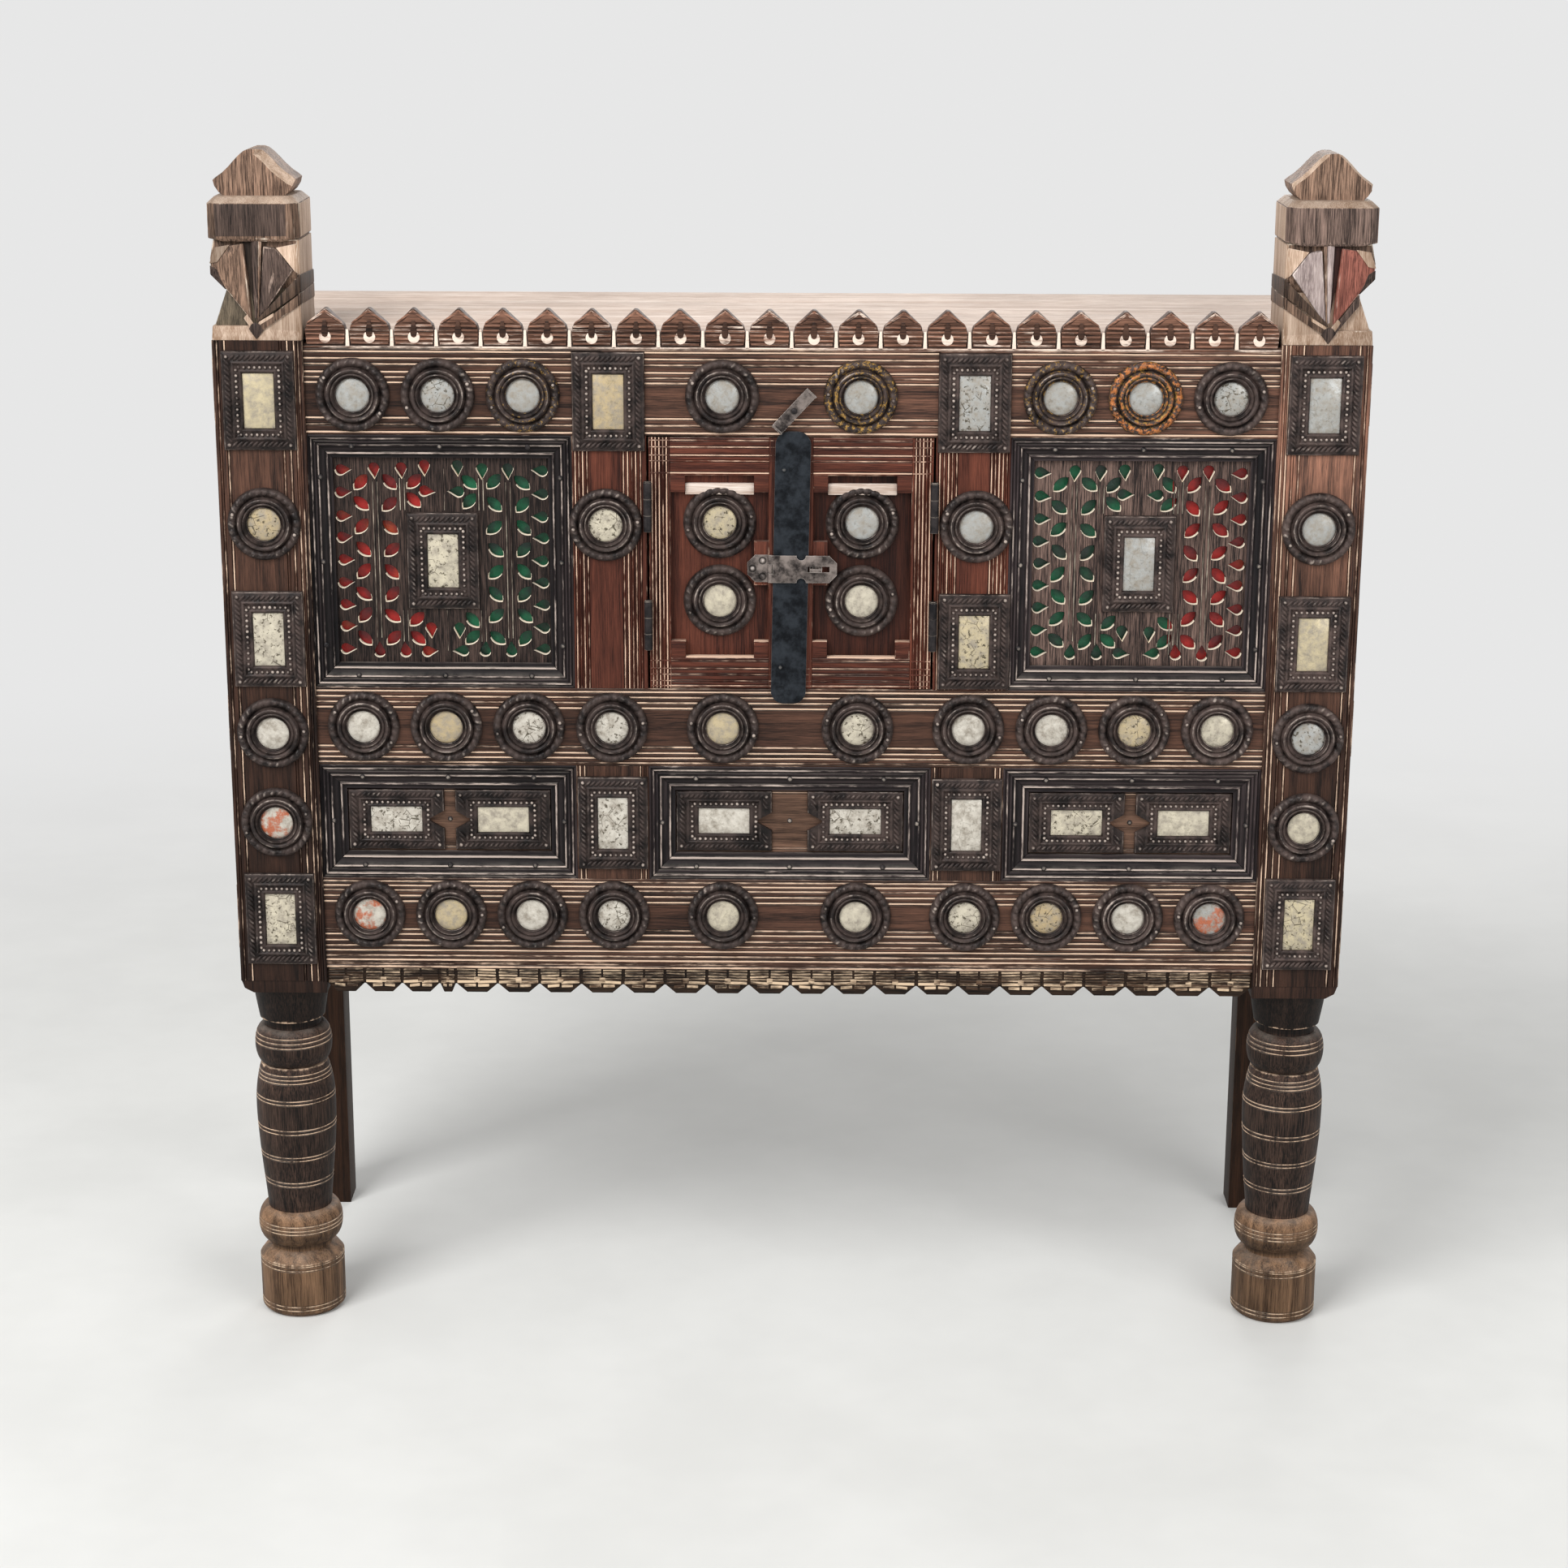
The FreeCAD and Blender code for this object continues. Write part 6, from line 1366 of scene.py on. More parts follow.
def dome(heap, centre, radius, height, around=12, rings=4, shade=0.5, stretch=None, boost=1.0):
    """Adds a round head that swells forwards. stretch, a direction and a factor, makes it longer."""
    verts, worn = [], []
    for j in range(rings):
        angle = math.pi / 2 * j / rings
        lift = height * math.sin(angle) if j else -SUNK
        for k in range(around):
            turned = 2 * math.pi * k / around
            off = Vector((math.cos(turned), 0, math.sin(turned))) * radius * math.cos(angle)
            if stretch:
                off += stretch[0] * off.dot(stretch[0]) * (stretch[1] - 1)
            verts.append(centre + off - INWARD * lift)
            worn.append(min(1.0, 1.3 * j / rings) * boost)
    tip, last = len(verts), (rings - 1) * around
    verts.append(centre - INWARD * height)
    worn.append(boost)
    faces = between_rings(rings, around)
    faces += [[last + k, last + (k + 1) % around, tip] for k in range(around)]
    faces.append(list(range(around)))
    heap.add(verts, faces, worn=worn, shade=shade)


def low_panel(label):
    """A plain panel with its scraper lines and its nail."""
    low, high = corners(label)
    height = high.z - low.z
    heap = Heap()
    scored(heap, low, RIGHT, UP, high.x - low.x, reeds(height, (SCRAPED, height - SCRAPED), depth=0.8),
           high.y - low.y, seed=low.x / 90)
    heap.finish = 1
    dome(heap, Vector(((low.x + high.x) / 2, low.y, (low.z + high.z) / 2)), radius=2.8, height=1.4)
    return heap.piece(label + "_scored", "frame", "frame_wood", [low_panel_wood, iron], label)


for label in ("left_lower_panel", "centre_lower_panel", "right_lower_panel"):
    low_panel(label)

# %% [markdown]
# Reeded mouldings with mitred corners lie between the frame and the panels. One cross line serves all of
# them, made a little wider for the lower row. The lower strip of each, which faces up, gets its full wear
# and a brighter bead, which is painted light, and the other three are rubbed less.

# %% Mouldings
REEDED_WIDE = 25.0
REEDED = [(0, 0.4, 0.55), (1.5, 0.0, 0.4), (2.3, 1.5, -1), (2.9, 1.6, -1), (3.6, 0.6, 0.95), (4.8, 0.8, 0.95),
          (5.8, 2.2, -1), (6.5, 2.2, -1), (7.0, 1.4, 0.35), (8.5, 1.7, 0.35), (9.2, 3.1, -1), (9.9, 3.1, -1),
          (10.6, 2.3, 0.95), (11.8, 2.6, 0.95), (12.8, 4.2, -1), (16, 5.5, -0.2), (18.3, 6.3, -1),
          (19.3, 5.1, 0.9), (20.7, 5.0, 0.95), (21.9, 6.6, -1), (25, 7.0, 0.1)]
BEAD_FROM, BEAD_TO = 19, 21
UPPER_WIDE, LOWER_WIDE = 25.0, 28.0
SQUARE_CORNER = (1.0, 1.0)
CORNER_GAP = 0.5


def moulding(label, wide, shade):
    """Four reeded strips round a panel, mitred at the corners."""
    low, high = corners(label)
    width, height = high.x - low.x, high.z - low.z
    heap = Heap()

    def strip(start, along, across, length, rubbed, seed, lit_bead=1.0):
        line = []
        for t, depth, rub in REEDED:
            worn = min(rub, rub * rubbed) * (lit_bead if BEAD_FROM < t < BEAD_TO else 1.0)
            line.append((t * wide / REEDED_WIDE, depth, worn))
        scored(heap, start, along, across, length, line, high.y - low.y, SQUARE_CORNER, step=9.0,
               seed=low.x / 60 + seed, shade=shade)

    # The lower strip gets full wear and a brighter bead: painted light on the strip that faces up.
    strip(Vector((low.x, low.y, low.z)), RIGHT, UP, width, 1.0, 0, 1.5)
    strip(Vector((high.x, low.y, high.z)), -RIGHT, -UP, width, 0.8, 4)
    heap.finish = 1
    strip(Vector((high.x, low.y, low.z + CORNER_GAP)), UP, -RIGHT, height - 2 * CORNER_GAP, 0.8, 1)
    strip(Vector((low.x, low.y, high.z - CORNER_GAP)), -UP, RIGHT, height - 2 * CORNER_GAP, 0.8, 2)
    return heap.piece(label + "_reeded", "frame", "moulding_wood", [moulding_level, moulding_upright], label)


# The mouldings on the right are painted brighter than those on the left: painted light, which falls stronger
# on the right.
moulding("left_upper_moulding", UPPER_WIDE, 0.42)
moulding("right_upper_moulding", UPPER_WIDE, 1.0)
moulding("left_lower_moulding", LOWER_WIDE, 0.5)
moulding("centre_lower_moulding", LOWER_WIDE, 0.75)
moulding("right_lower_moulding", LOWER_WIDE, 0.9)

# %% [markdown]
# Nails and screws show as domes in the places of their solids. The hasp's screws also get a dark ring, a
# thin round plate under the dome, which is painted shade round each head.

# %% Nail heads
HEAD_TALL = 1.6
SHADE_RING_POINTS = 16


def shade_ring(heap, centre, radius, thick):
    """Adds a thin dark round plate under a head: painted shade round it."""
    rim = []
    for k in range(SHADE_RING_POINTS):
        angle = 2 * math.pi * k / SHADE_RING_POINTS
        rim.append(Vector((math.cos(angle), 0, math.sin(angle))) * radius)
    verts = [centre + point for point in rim] + [centre + point + INWARD * thick for point in rim]
    ends = [list(range(SHADE_RING_POINTS)), list(range(SHADE_RING_POINTS, 2 * SHADE_RING_POINTS))]
    heap.add(verts, between_rings(2, SHADE_RING_POINTS) + ends, worn=-1.0)


def round_heads(solid, name, body, slot, material, radius, boost=0.6, shade_ring_width=0.0):
    """Domed heads in place of a solid's nails or screws, rubbed as boost says, some on a dark ring of painted
    shade.
    """
    heap = Heap()
    for low, high in each_body(solid):
        middle = (low + high) / 2
        dome(heap, Vector((middle.x, low.y + HEAD_TALL, middle.z)), radius, HEAD_TALL, boost=boost)
        # A dark ring of painted shade round the head.
        if shade_ring_width:
            shade_ring(heap, Vector((middle.x, low.y + 0.9, middle.z)), radius + shade_ring_width, 1.0)
    return heap.piece(name, body, slot, [material], solid)


round_heads("moulding_nails", "moulding_nail_heads", "frame", "hinge_iron", iron, radius=3.0, boost=0.85)

# %% [markdown]
# ## Tins and mirrors
# The tins are pressed sheet: a rope-like rim and two smooth rings for the round ones, slanted ridges and a
# row of beads for the others. A rim with real lobes catches the light as the photo shows, which a bump
# would not. A round tin is a profile of (radius, height, worn) that goes once round, and its rim rises and
# falls with the lobes of the rope.

# %% Round tins
ROUND_LINE = [(38.5, 0.0, 0.0), (38.5, 1.8, 0.3), (37.6, 4.2, 0.8), (36.0, 6.2, 0.9), (34.0, 7.0, 1.0),
              (32.0, 6.2, 0.8), (30.4, 4.2, 0.2), (29.4, 2.8, -0.6), (28.6, 4.6, 0.1), (27.6, 7.2, 0.6),
              (26.6, 8.6, 1.05), (25.2, 8.8, 0.6), (23.8, 7.4, 0.0), (23.1, 6.0, -0.6), (22.4, 6.8, 0.5),
              (21.4, 7.2, 1.0), (20.4, 6.0, 0.1), (19.4, 3.6, -0.5), (18.8, 3.4, 0.0), (18.2, 4.6, 0.95),
              (17.5, 4.2, 0.6), (17.4, 2.3, -0.5)]
LOBES = 26
AROUND = 5 * LOBES
ROPE_INSIDE, ROPE_MIDDLE, ROPE_FOOT = 29.5, 34.0, 2.2
RUBBED_TIN = 0.75
GILT = {72: 0.6, 279: 0.35, 368: 1.0, -279: 0.2}
TOP_RAIL_FOOT = corners("top_rail")[0].z


def tin_tone_and_light(x):
    """Brightness of a tin: those on the right are less black, which is painted light that falls stronger on
    the right.
    """
    return 0.5 + 0.3 * max(0.0, min(1.0, x / 400))


def round_tin(heap, x, base, z, phase, gilt=0.0):
    """Adds a pressed round tin that stands on the depth base, with two nails through its rim."""
    verts, worn, paint = [], [], []
    for radius, height, rub in ROUND_LINE:
        for k in range(AROUND):
            angle = 2 * math.pi * k / AROUND
            rise, rubbed = height, RUBBED_TIN * rub
            if radius > ROPE_INSIDE and height > 1:
                lobe = abs(math.cos(LOBES / 2 * angle + (radius - ROPE_MIDDLE) * 0.16 + phase)) ** 0.7
                rise = ROPE_FOOT + (height - ROPE_FOOT) * (0.45 + 0.55 * lobe)
                rubbed *= max(0.0, 1.7 * lobe - 0.75)
            verts.append(Vector((x + radius * math.cos(angle), base - rise, z + radius * math.sin(angle))))
            worn.append(rubbed)
            paint.append(gilt * (0.4 + 0.6 * rub))
    faces = between_rings(len(ROUND_LINE), AROUND, wrap=True)
    # The tin's brightness rises to the right: painted light.
    heap.add(verts, faces, worn=worn, gilt=paint, shade=tin_tone_and_light(x))
    for angle in (phase, phase + math.pi):
        head = Vector((x + ROPE_MIDDLE * math.cos(angle), base - 5.6, z + ROPE_MIDDLE * math.sin(angle)))
        dome(heap, head, radius=2.6, height=2.2)


def round_tins(solid, body):
    """All the round tins of one solid. A few in the top row keep some paint."""
    heap = Heap("gilt")
    chance = random.Random(solid)
    for low, high in each_body(solid):
        x, z = (low.x + high.x) / 2, (low.z + high.z) / 2
        painted = GILT.get(round(x), 0.0) if z > TOP_RAIL_FOOT else 0.0
        round_tin(heap, x, high.y, z, chance.uniform(-0.6, 0.6), painted)
    return heap.piece(solid + "_pressed", body, "pressed_tin", [tin], solid, sharp=60)


round_tins("frame_roundel_tins", "frame")
round_tins("left_door_roundel_tins", "left_door")
round_tins("right_door_roundel_tins", "right_door")

# %% [markdown]
# A rectangular tin is four mitred borders round a window. The borders share one cross line that is stretched
# to each border's width, with slanted ridges near the outside, a row of beads near the mirror and a nail in
# each corner. The lying tins of a low panel have a notch in the end that faces their neighbour.

# %% Rectangular tins
BORDER = 22.0
TALL_WINDOW, LYING_WINDOW = (32, 57), (55, 28)
PANEL_PITCH = sum(corner.x for corner in corners("right_pierced_panel")) / 2
NOTCH, NOTCH_DEPTH = 10.5, 16.5
PRESSED_LINE = [(0, 5.0, 0.1), (1.0, 2.2, 0.9), (2.2, 1.5, -0.5), (10.4, 1.9, -0.5), (11.0, 1.0, 0.5),
                (12.4, 1.0, 0.4), (13.2, 2.2, 0.0), (NOTCH_DEPTH, 2.2, 0.0), (18.4, 2.2, 0.0),
                (19.2, 1.3, 0.4), (20.6, 1.4, 0.2), (22.0, 3.4, 0.0)]
RIDGE_ROW, RIDGE_PITCH, RIDGE_MARGIN = 6.3, 5.4, 9.0
BEAD_ROW, BEAD_PITCH = 15.8, 5.8
CORNER_NAIL = 6.0


def notched_border(heap, start, along, inward, length, line, thick, slope, depth, shade):
    """Adds a border whose outer edge has a notch in its middle: two leaning halves and a whole inner part."""
    outer = [point for point in line if point[0] <= depth + 0.01]
    inner = [point for point in line if point[0] > depth - 0.01]
    half = length / 2 - NOTCH
    lean = (slope, -NOTCH / depth)
    end = start + along * length
    scored(heap, start, along, inward, half, outer, thick, lean, seed=start.x / 40, shade=shade)
    scored(heap, end, -along, inward, half, outer, thick, lean, seed=start.x / 30, shade=shade)
    scored(heap, start, along, inward, length, inner, thick, (slope, slope), seed=start.x / 50, shade=shade)


def tin_border(heap, start, along, inward, length, border, other, thick, notched, shade):
    """Adds one border with its ridges, its beads and the nail near its start.

    border is its width, other the width of the borders that it meets."""
    scale, slope = border / BORDER, other / border
    mitre = (slope, slope)
    line = [(t * scale, depth, rub) for t, depth, rub in PRESSED_LINE]
    if notched:
        notched_border(heap, start, along, inward, length, line, thick, slope, NOTCH_DEPTH * scale, shade)
    else:
        scored(heap, start, along, inward, length, line, thick, mitre, seed=start.x / 40, shade=shade)
    slant = (along + inward * 0.9).normalized()
    ridged = length - 2 * RIDGE_MARGIN
    ridges = round(ridged / RIDGE_PITCH)
    for k in range(ridges):
        u = RIDGE_MARGIN + ridged * (k + 0.5) / ridges
        if notched and abs(u - length / 2) < NOTCH + 2:
            continue
        centre = start + along * u + inward * (RIDGE_ROW * scale) + INWARD * 2.0
        dome(heap, centre, radius=1.7, height=1.9, around=8, rings=3, shade=shade,
             stretch=(slant, 3.0 * scale), boost=0.62)
    margin = BEAD_ROW * other / BORDER
    beaded = length - 2 * margin
    beads = round(beaded / BEAD_PITCH)
    for k in range(beads):
        u = margin + beaded * (k + 0.5) / beads
        centre = start + along * u + inward * (BEAD_ROW * scale) + INWARD * 2.3
        dome(heap, centre, radius=2.2, height=2.2, around=10, shade=shade)
    corner = start + (along + inward) * CORNER_NAIL + INWARD * 1.6
    dome(heap, corner, radius=2.6, height=1.6, around=10, rings=3, shade=shade)


def rectangular_tin(heap, low, high, shade):
    """Adds a pressed tin with a window, upright or lying."""
    width, height = high.x - low.x, high.z - low.z
    upright = height > width
    window = TALL_WINDOW if upright else LYING_WINDOW
    side, cap = (width - window[0]) / 2, (height - window[1]) / 2
    middle = (low.x + high.x) / 2
    panel_middle = PANEL_PITCH * round(middle / PANEL_PITCH)
    facing = None if upright else RIGHT * math.copysign(1, middle - panel_middle)
    for start, along, inward, length, border, other in (
            (Vector((low.x, low.y, low.z)), RIGHT, UP, width, cap, side),
            (Vector((high.x, low.y, high.z)), -RIGHT, -UP, width, cap, side),
            (Vector((high.x, low.y, low.z)), UP, -RIGHT, height, side, cap),
            (Vector((low.x, low.y, high.z)), -UP, RIGHT, height, side, cap)):
        tin_border(heap, start, along, inward, length, border, other, high.y - low.y, inward == facing, shade)


def rectangular_tins(solid):
    """All the rectangular tins, each with a random brightness about the painted light of its side."""
    heap = Heap("gilt")
    chance = random.Random(3)
    for low, high in each_body(solid):
        rectangular_tin(heap, low, high, tin_tone_and_light(low.x) + chance.uniform(-0.15, 0.15))
    return heap.piece(solid + "_pressed", "frame", "pressed_tin", [tin], solid, sharp=60)


rectangular_tins("rectangular_tins")

# %% [markdown]
# Every mirror has aged in its own way, so each has a look in words, in the order in which its solid's forms
# are found: from below and from the left. The words become marks that the mirror's material reads.

# %% Mirrors
TONES = {"cool": 0.05, "pale": 0.5, "cream": 0.72, "tan": 0.93, "brown": 1.0}
LOOKS = {
    "frame_round_mirrors":
        "rusty-pale tan pale spotted-pale cream cream spotted-cream spotted-brown pale rusty-cool "
        "rusty-pale cream pale spotted-cool "
        "pale tan spotted-pale spotted-pale tan spotted-cream pale pale spotted-tan cream "
        "spotted-tan spotted-cream cool cool cool spotted-cool cool cool cool cool cool spotted-cool",
    "rectangular_mirrors":
        "spotted-cream spotted-tan spotted-pale pale spotted-pale cream pale spotted-pale spotted-cream "
        "cream spotted-cream spotted-tan tan spotted-cream cool tan tan spotted-cool cool",
    "left_door_mirrors": "cream spotted-tan",
    "right_door_mirrors": "cream cool"}
SQUARE = [(-1, -1), (1, -1), (1, 1), (-1, 1)]
CIRCLE = [(math.cos(2 * math.pi * k / 40), math.sin(2 * math.pi * k / 40)) for k in range(40)]
GROUND_EDGE, GROUND_DEPTH = 0.4, 0.3


def pane(heap, low, high, outline, **marks):
    """Adds a pane with a ground edge; the outline's points lie between -1 and 1."""
    middle, half = (low + high) / 2, (high - low) / 2

    def loop(depth, inset=0.0):
        return [Vector((middle.x + a * (half.x - inset), depth, middle.z + b * (half.z - inset)))
                for a, b in outline]

    verts = loop(high.y) + loop(low.y + GROUND_DEPTH) + loop(low.y, GROUND_EDGE)
    count = len(outline)
    ends = [list(range(count)), [2 * count + k for k in range(count)]]
    heap.add(verts, between_rings(3, count) + ends, **marks)


def mirrors(solid, body, outline):
    """All the mirrors of a solid, each with its own look."""
    heap = Heap("tone", "flaw", "rust")
    chance = random.Random(solid + "s")
    for (low, high), look in zip(each_body(solid), LOOKS[solid].split(), strict=True):
        age, _, tint = look.rpartition("-")
        tone = TONES[tint] + chance.uniform(-0.03, 0.03)
        flaw = 0.95 if age == "spotted" else chance.uniform(0.1, 0.35)
        rust = 0.62 if age == "rusty" else 0.0
        pane(heap, low, high, outline, tone=tone, flaw=flaw, rust=rust)
    return heap.piece(solid + "_aged", body, "mirror_glass", [mirror], solid)


mirrors("frame_round_mirrors", "frame", CIRCLE)
mirrors("rectangular_mirrors", "frame", SQUARE)
mirrors("left_door_mirrors", "left_door", CIRCLE)
mirrors("right_door_mirrors", "right_door", CIRCLE)

# %% [markdown]
# ## Doors
# Each door is a frame of stiles and rails round a recessed panel with stepped corners. Pale scored lines run
# along the outer stile and the rails, and on across the stiles. A cream bar lies at the top of the recess and
# a bright lip at its foot. The panel's edge sits in the frame by a tongue, so the recess is the panel's box
# without the tongue.

# %% Doors
TONGUE = 5.0
STEP_WIDE, STEP_TALL = 15.5, 18.0
BLOCK_FROM, BLOCK_TO = 848, 895
BLOCK_FACE, BLOCK_ROOT = 0.3, 12
FOOT_LINES, HEAD_LINES = (2.6, 8, 15, 21.5, 30), (2.6, 15.3, 21.3, 30, 37)
PALE_LINE = [(0, 0.15, 0.2), (0.4, 0.0, 0.75), (1.0, 0.0, 0.75), (1.4, 0.15, 0.2)]


def recess_of(label):
    """Lowest and highest corner of a door's recess."""
    low, high = corners(label + "_panel")
    tongue = Vector((TONGUE, 0, TONGUE))
    return low + tongue, high - tongue


def door_stiles(label, outer_lines, meeting_x):
    """The two stiles, with pale lines across them and the block that stands in the recess at meeting_x."""
    low, high = corners(label + "_stiles")
    recess_low, recess_high = recess_of(label)
    face = low.y
    heap = Heap()
    for first, last in ((low.x, recess_low.x), (recess_high.x, high.x)):
        outer = abs(first + last) > abs(low.x + high.x)
        scored(heap, Vector((first, face, low.z)), UP, RIGHT, high.z - low.z,
               reeds(last - first, outer_lines if outer else ()), high.y - face, seed=first / 9, shade=0.55)
        for z in [low.z + t for t in FOOT_LINES] + [recess_high.z + t for t in HEAD_LINES]:
            start = Vector((first + 0.5, face - 0.2, z - 0.7))
            scored(heap, start, RIGHT, UP, last - first - 1, PALE_LINE, 0.6, seed=z)
    block(heap, (meeting_x, face + BLOCK_FACE, BLOCK_FROM),
          (meeting_x + STEP_WIDE, face + BLOCK_ROOT, BLOCK_TO), bevel=1.0, shade=0.55, edge=0.5)
    return heap.piece(label + "_stiles_scored", label, "door_wood", [door_upright], label + "_stiles")


def door_rails(label, seed):
    """The two rails between the stiles, with the steps in the recess's corners and the lips below."""
    low, high = corners(label + "_stiles")
    recess_low, recess_high = recess_of(label)
    left, right, foot, head, face = recess_low.x, recess_high.x, recess_low.z, recess_high.z, low.y
    heap = Heap()
    scored(heap, Vector((left, face, low.z)), RIGHT, UP, right - left,
           reeds(foot - low.z, FOOT_LINES, half=0.42, rubbed=0.8), high.y - face, seed=seed, shade=0.42)
    scored(heap, Vector((left, face, head)), RIGHT, UP, right - left, reeds(high.z - head, HEAD_LINES),
           high.y - face, seed=seed + 3, shade=0.6)
    step_starts = (left, right - STEP_WIDE)
    for x in step_starts:
        for bottom, top in ((foot - 0.5, foot + STEP_TALL), (head - STEP_TALL, head + 0.5)):
            block(heap, (x, face + BLOCK_FACE, bottom), (x + STEP_WIDE, face + BLOCK_ROOT, top),
                  bevel=1.0, shade=0.45, edge=0.35)
    block(heap, (left + 15, face + 1.2, foot - 1.5), (right - 15, face + 10, foot + 1.5),
          bevel=1.0, shade=1.0, rub=1.3)
    for x in step_starts:
        block(heap, (x, face + 1.0, foot + STEP_TALL - 1.6),
              (x + STEP_WIDE, face + 11, foot + STEP_TALL + 0.4), bevel=0.6, shade=0.8, rub=1.0)
    return heap.piece(label + "_rails_scored", label, "door_wood", [door_level], label + "_rails")


def door_panel(label, seed, shade):
    """The recessed panel with the cream bar at its top."""
    low, high = corners(label + "_panel")
    recess_low, recess_high = recess_of(label)
    heap = Heap()
    scored(heap, low, UP, RIGHT, high.z - low.z, reeds(high.x - low.x), high.y - low.y, seed=seed,
           shade=shade)
    heap.finish = 1
    block(heap, (recess_low.x + STEP_WIDE, low.y - 4.5, recess_high.z - 21),
          (recess_high.x - STEP_WIDE, low.y + 1, recess_high.z - 9),
          bevel=1.0, shade=0.35, edge=0.5)
    woods = [door_upright, top_wood]
    return heap.piece(label + "_panel_recessed", label, "door_wood", woods, label + "_panel")


door_stiles("left_door", (3.5, 7.2, 11, 15, 18.7), recess_of("left_door")[1].x - STEP_WIDE)
door_rails("left_door", seed=2)
door_panel("left_door", seed=7, shade=0.4)
door_stiles("right_door", (4, 7.8, 11.6, 15.4, 19), recess_of("right_door")[0].x)
door_rails("right_door", seed=4)
# The right door's panel is painted far darker than the left one's: painted shadow in its recess.
door_panel("right_door", seed=9, shade=0.08)

# %% [markdown]
# ## Ironwork
# Hinges, hasp, staple, cover strip and turn button keep the shape of their solids, because they move against
# each other with little room. Only their edges are broken and rubbed bright.

# %% Hinges, strip, hasp, staple and button
for solid, body, slot, material, bevel in (
        ("fixed_hinge_leaves", "frame", "hinge_iron", iron, 0.3),
        ("hinge_pins", "frame", "hinge_iron", iron, 0.5),
        ("left_door_hinge_leaves", "left_door", "hinge_iron", iron, 0.3),
        ("right_door_hinge_leaves", "right_door", "hinge_iron", iron, 0.3),
        ("cover_strip", "left_door", "strip_paint", strip_paint, 0.9),
        ("hasp_plate", "left_door", "hasp_steel", steel, 0.8),
        ("hasp_pin", "left_door", "hasp_steel", steel, 0.4),
        ("hasp_strap", "hasp_strap", "hasp_steel", steel, 0.8),
        ("staple", "right_door", "hasp_steel", steel, 0.4),
        ("turn_button", "turn_button", "hasp_steel", steel, 0.8)):
    worn_copy(solid, body, slot, material, bevel)
round_heads("strip_nails", "strip_nail_heads", "left_door", "strip_paint", strip_paint, radius=3.0, boost=0.7)
round_heads("hasp_screws", "hasp_screw_heads", "left_door", "hasp_steel", steel, radius=2.9, boost=0.5,
            shade_ring_width=1.3)
round_heads("button_screw", "button_screw_head", "frame", "hinge_iron", iron, radius=3.2)

# %% [markdown]
# ## The case
# Behind the front stands a plain boarded box on two square rear legs. The top boards are bare and pale, the
# others dark.

# %% Boards and rear frame
for solid, material, shade in (
        ("top_boards", top_wood, 0.5), ("side_boards", case_depthways, 1.1),
        ("back_boards", case_upright, 1.1), ("floor_boards", case_level, 1.0),
        ("rear_rails", case_level, 0.8), ("side_rails", case_depthways, 0.8),
        ("left_rear_post", case_upright, 0.5), ("right_rear_post", case_upright, 0.5)):
    worn_copy(solid, "frame", "board_wood", material, bevel=1.6, shade=shade)

# %% [markdown]
# ## Studio
# A wide pale floor lies under the cabinet. A wall behind it would hide the cabinet's back from a camera
# there, so the floor fades into the pale surroundings far from the cabinet, for rays that come from the
# camera. Near the cabinet it is a plain floor that keeps the shadow.

# %% Floor
SURROUNDINGS = 0.8
FADE_FROM, FADE_TO = 0.9, 3.2
FLOOR_REACH = 40.0


def seen(tree):
    """1 for a ray from the camera, from a reflection or through glass, else 0."""
    path = tree.nodes.new("ShaderNodeLightPath").outputs
    return sum_up(tree, "MAXIMUM", path["Is Camera Ray"],
                  sum_up(tree, "MAXIMUM", path["Is Glossy Ray"], path["Is Transmission Ray"]))


def floor_look():
    """A pale mottled floor that becomes as bright as the surroundings far from the cabinet."""
    material, tree, shader, place = new_material("studio_floor")
    mottle = step_up(tree, speckle(tree, place, 3.0, 4.0, 0.6), 0.3, 0.7)
    tone = mix_colour(tree, mottle, colour(222, 222, 219), colour(230, 230, 227))
    tree.links.new(tone, shader.inputs["Base Color"])
    shader.inputs["Roughness"].default_value = 0.8
    away = add_node(tree, "ShaderNodeVectorMath", {0: place}, operation="LENGTH").outputs["Value"]
    share = sum_up(tree, "MULTIPLY", seen(tree), step_up(tree, away, FADE_FROM, FADE_TO))
    glow = add_node(tree, "ShaderNodeEmission", {"Color": (1, 1, 1, 1), "Strength": SURROUNDINGS})
    fade = add_node(tree, "ShaderNodeMixShader", {0: share, 1: shader.outputs[0], 2: glow.outputs[0]})
    tree.links.new(fade.outputs[0], tree.nodes["Material Output"].inputs["Surface"])
    return material


floor_mesh = bpy.data.meshes.new("studio_floor")
floor_corners = [(a * FLOOR_REACH, b * FLOOR_REACH, 0) for a, b in SQUARE]
floor_mesh.from_pydata(floor_corners, [], [(0, 1, 2, 3)])
floor_mesh.materials.append(floor_look())
studio_floor = bpy.data.objects.new("studio_floor", floor_mesh)
bpy.context.scene.collection.objects.link(studio_floor)
studio_floor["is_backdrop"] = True
print("floor of", 2 * FLOOR_REACH, "metres")

# %% [markdown]
# A broad lamp stands high on the left, with weaker ones on the right and behind. The world gives an even
# light. It looks brighter than it shines, so that the cabinet stands before a pale ground and still keeps
# its shadows.

# %% Lamps and world
LOOK_AT = (0, 0, 0.7)
WORLD_LIGHT = 0.45


def lamp(name, place, size, power):
    """A square soft lamp that looks at the cabinet."""
    light = bpy.data.lights.new(name, "AREA")
    light.size = size
    light.energy = power
    made = bpy.data.objects.new(name, light)
    made.location = place
    made.rotation_euler = (Vector(LOOK_AT) - Vector(place)).to_track_quat("-Z", "Y").to_euler()
    bpy.context.scene.collection.objects.link(made)
    return made


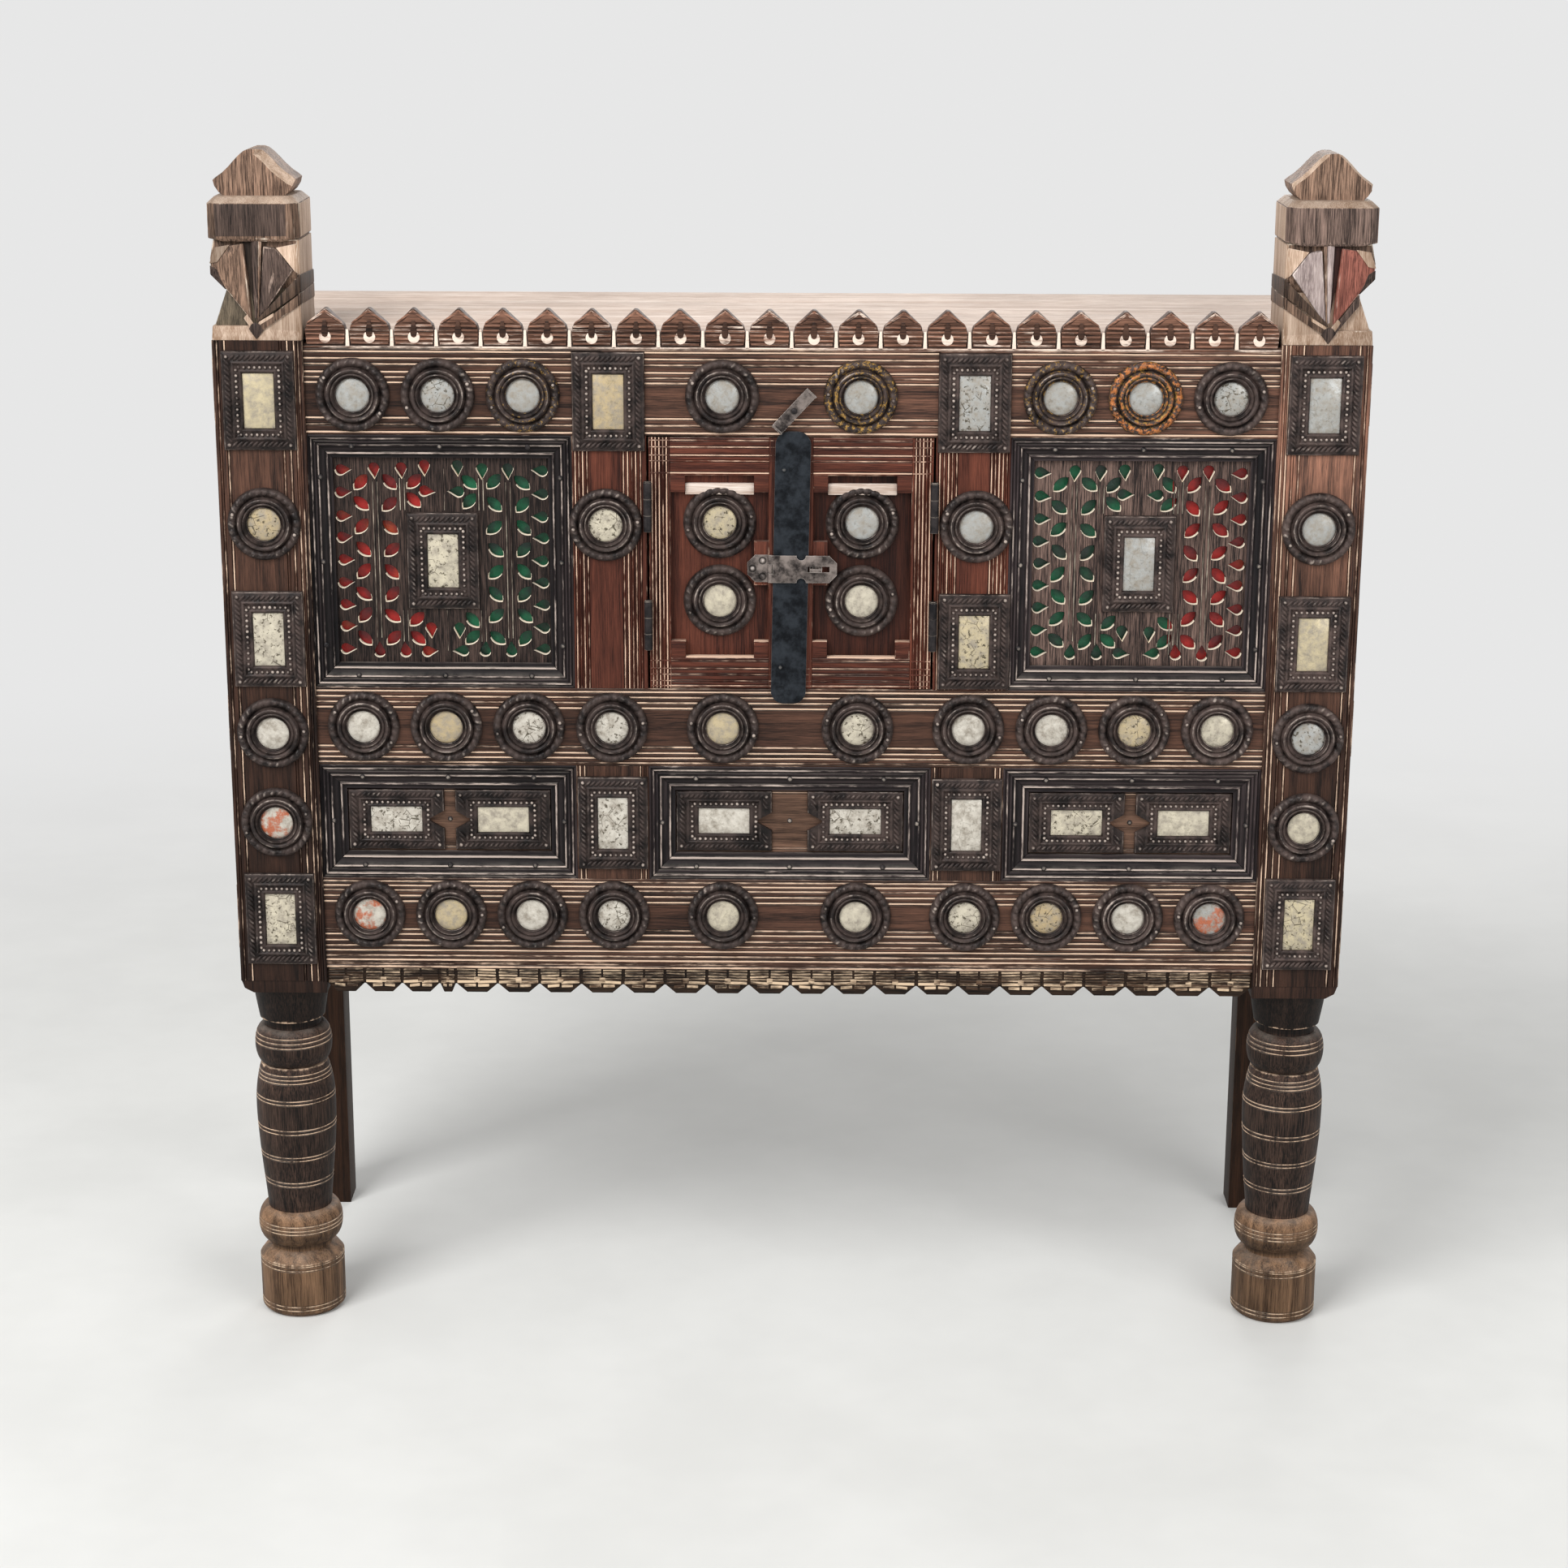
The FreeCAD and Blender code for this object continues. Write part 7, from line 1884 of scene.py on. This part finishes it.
lamp("window_left", (-2.0, -2.6, 3.4), 2.2, 150)
lamp("window_right", (2.6, -3.2, 2.2), 2.4, 60)
lamp("window_behind", (0.8, 4.4, 2.6), 2.4, 60)
world = bpy.data.worlds.new("studio_world")
bpy.context.scene.world = world
world.use_nodes = True
sky = world.node_tree
sky.nodes["Background"].inputs["Color"].default_value = (1, 1, 1, 1)
brightness = {"Value": seen(sky), "To Min": WORLD_LIGHT, "To Max": SURROUNDINGS}
strength = add_node(sky, "ShaderNodeMapRange", brightness)
sky.links.new(strength.outputs["Result"], sky.nodes["Background"].inputs["Strength"])
print("three lamps and an even world")

# %% [markdown]
# The camera stands where the photo was taken from: its place, its angles and its lens were worked out from
# the cabinet's straight edges. The lens is given as the focal length in the photo's pixels.

# %% Camera
PITCH, YAW, ROLL = (math.radians(angle) for angle in (15.777, -0.371, 0.218))
CAMERA_PLACE = (0.01444, -3.36962, 1.53212)
FOCAL_PIXELS, PHOTO_PIXELS, SENSOR = 3801.65, 1932, 36.0
looking = Vector((math.sin(YAW) * math.cos(PITCH), math.cos(YAW) * math.cos(PITCH), -math.sin(PITCH)))
level = Vector((math.cos(YAW), -math.sin(YAW), 0))
upward = level.cross(looking)
rightward = level * math.cos(ROLL) + upward * math.sin(ROLL)
above = upward * math.cos(ROLL) - level * math.sin(ROLL)
lens = bpy.data.cameras.new("camera")
lens.sensor_width = SENSOR
lens.lens = FOCAL_PIXELS * SENSOR / PHOTO_PIXELS
camera = bpy.data.objects.new("camera", lens)
turned = Matrix((rightward, above, -looking)).transposed().to_4x4()
camera.matrix_world = Matrix.Translation(CAMERA_PLACE) @ turned
bpy.context.scene.collection.objects.link(camera)
bpy.context.scene.camera = camera
bpy.context.scene.view_settings.view_transform = "Standard"
print("camera at", tuple(round(v, 3) for v in camera.location), "lens", round(lens.lens, 2))

# %% [markdown]
# ## Size
# The dressed cabinet is meant to stay inside the box of its solids. Both boxes are printed.

# %% Sizes and the end
bpy.context.view_layer.update()
dressed_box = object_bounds()
for name, pair in (("solids", solid_box), ("dressed", dressed_box)):
    print(name, [[round(v, 4) for v in corner] for corner in pair])
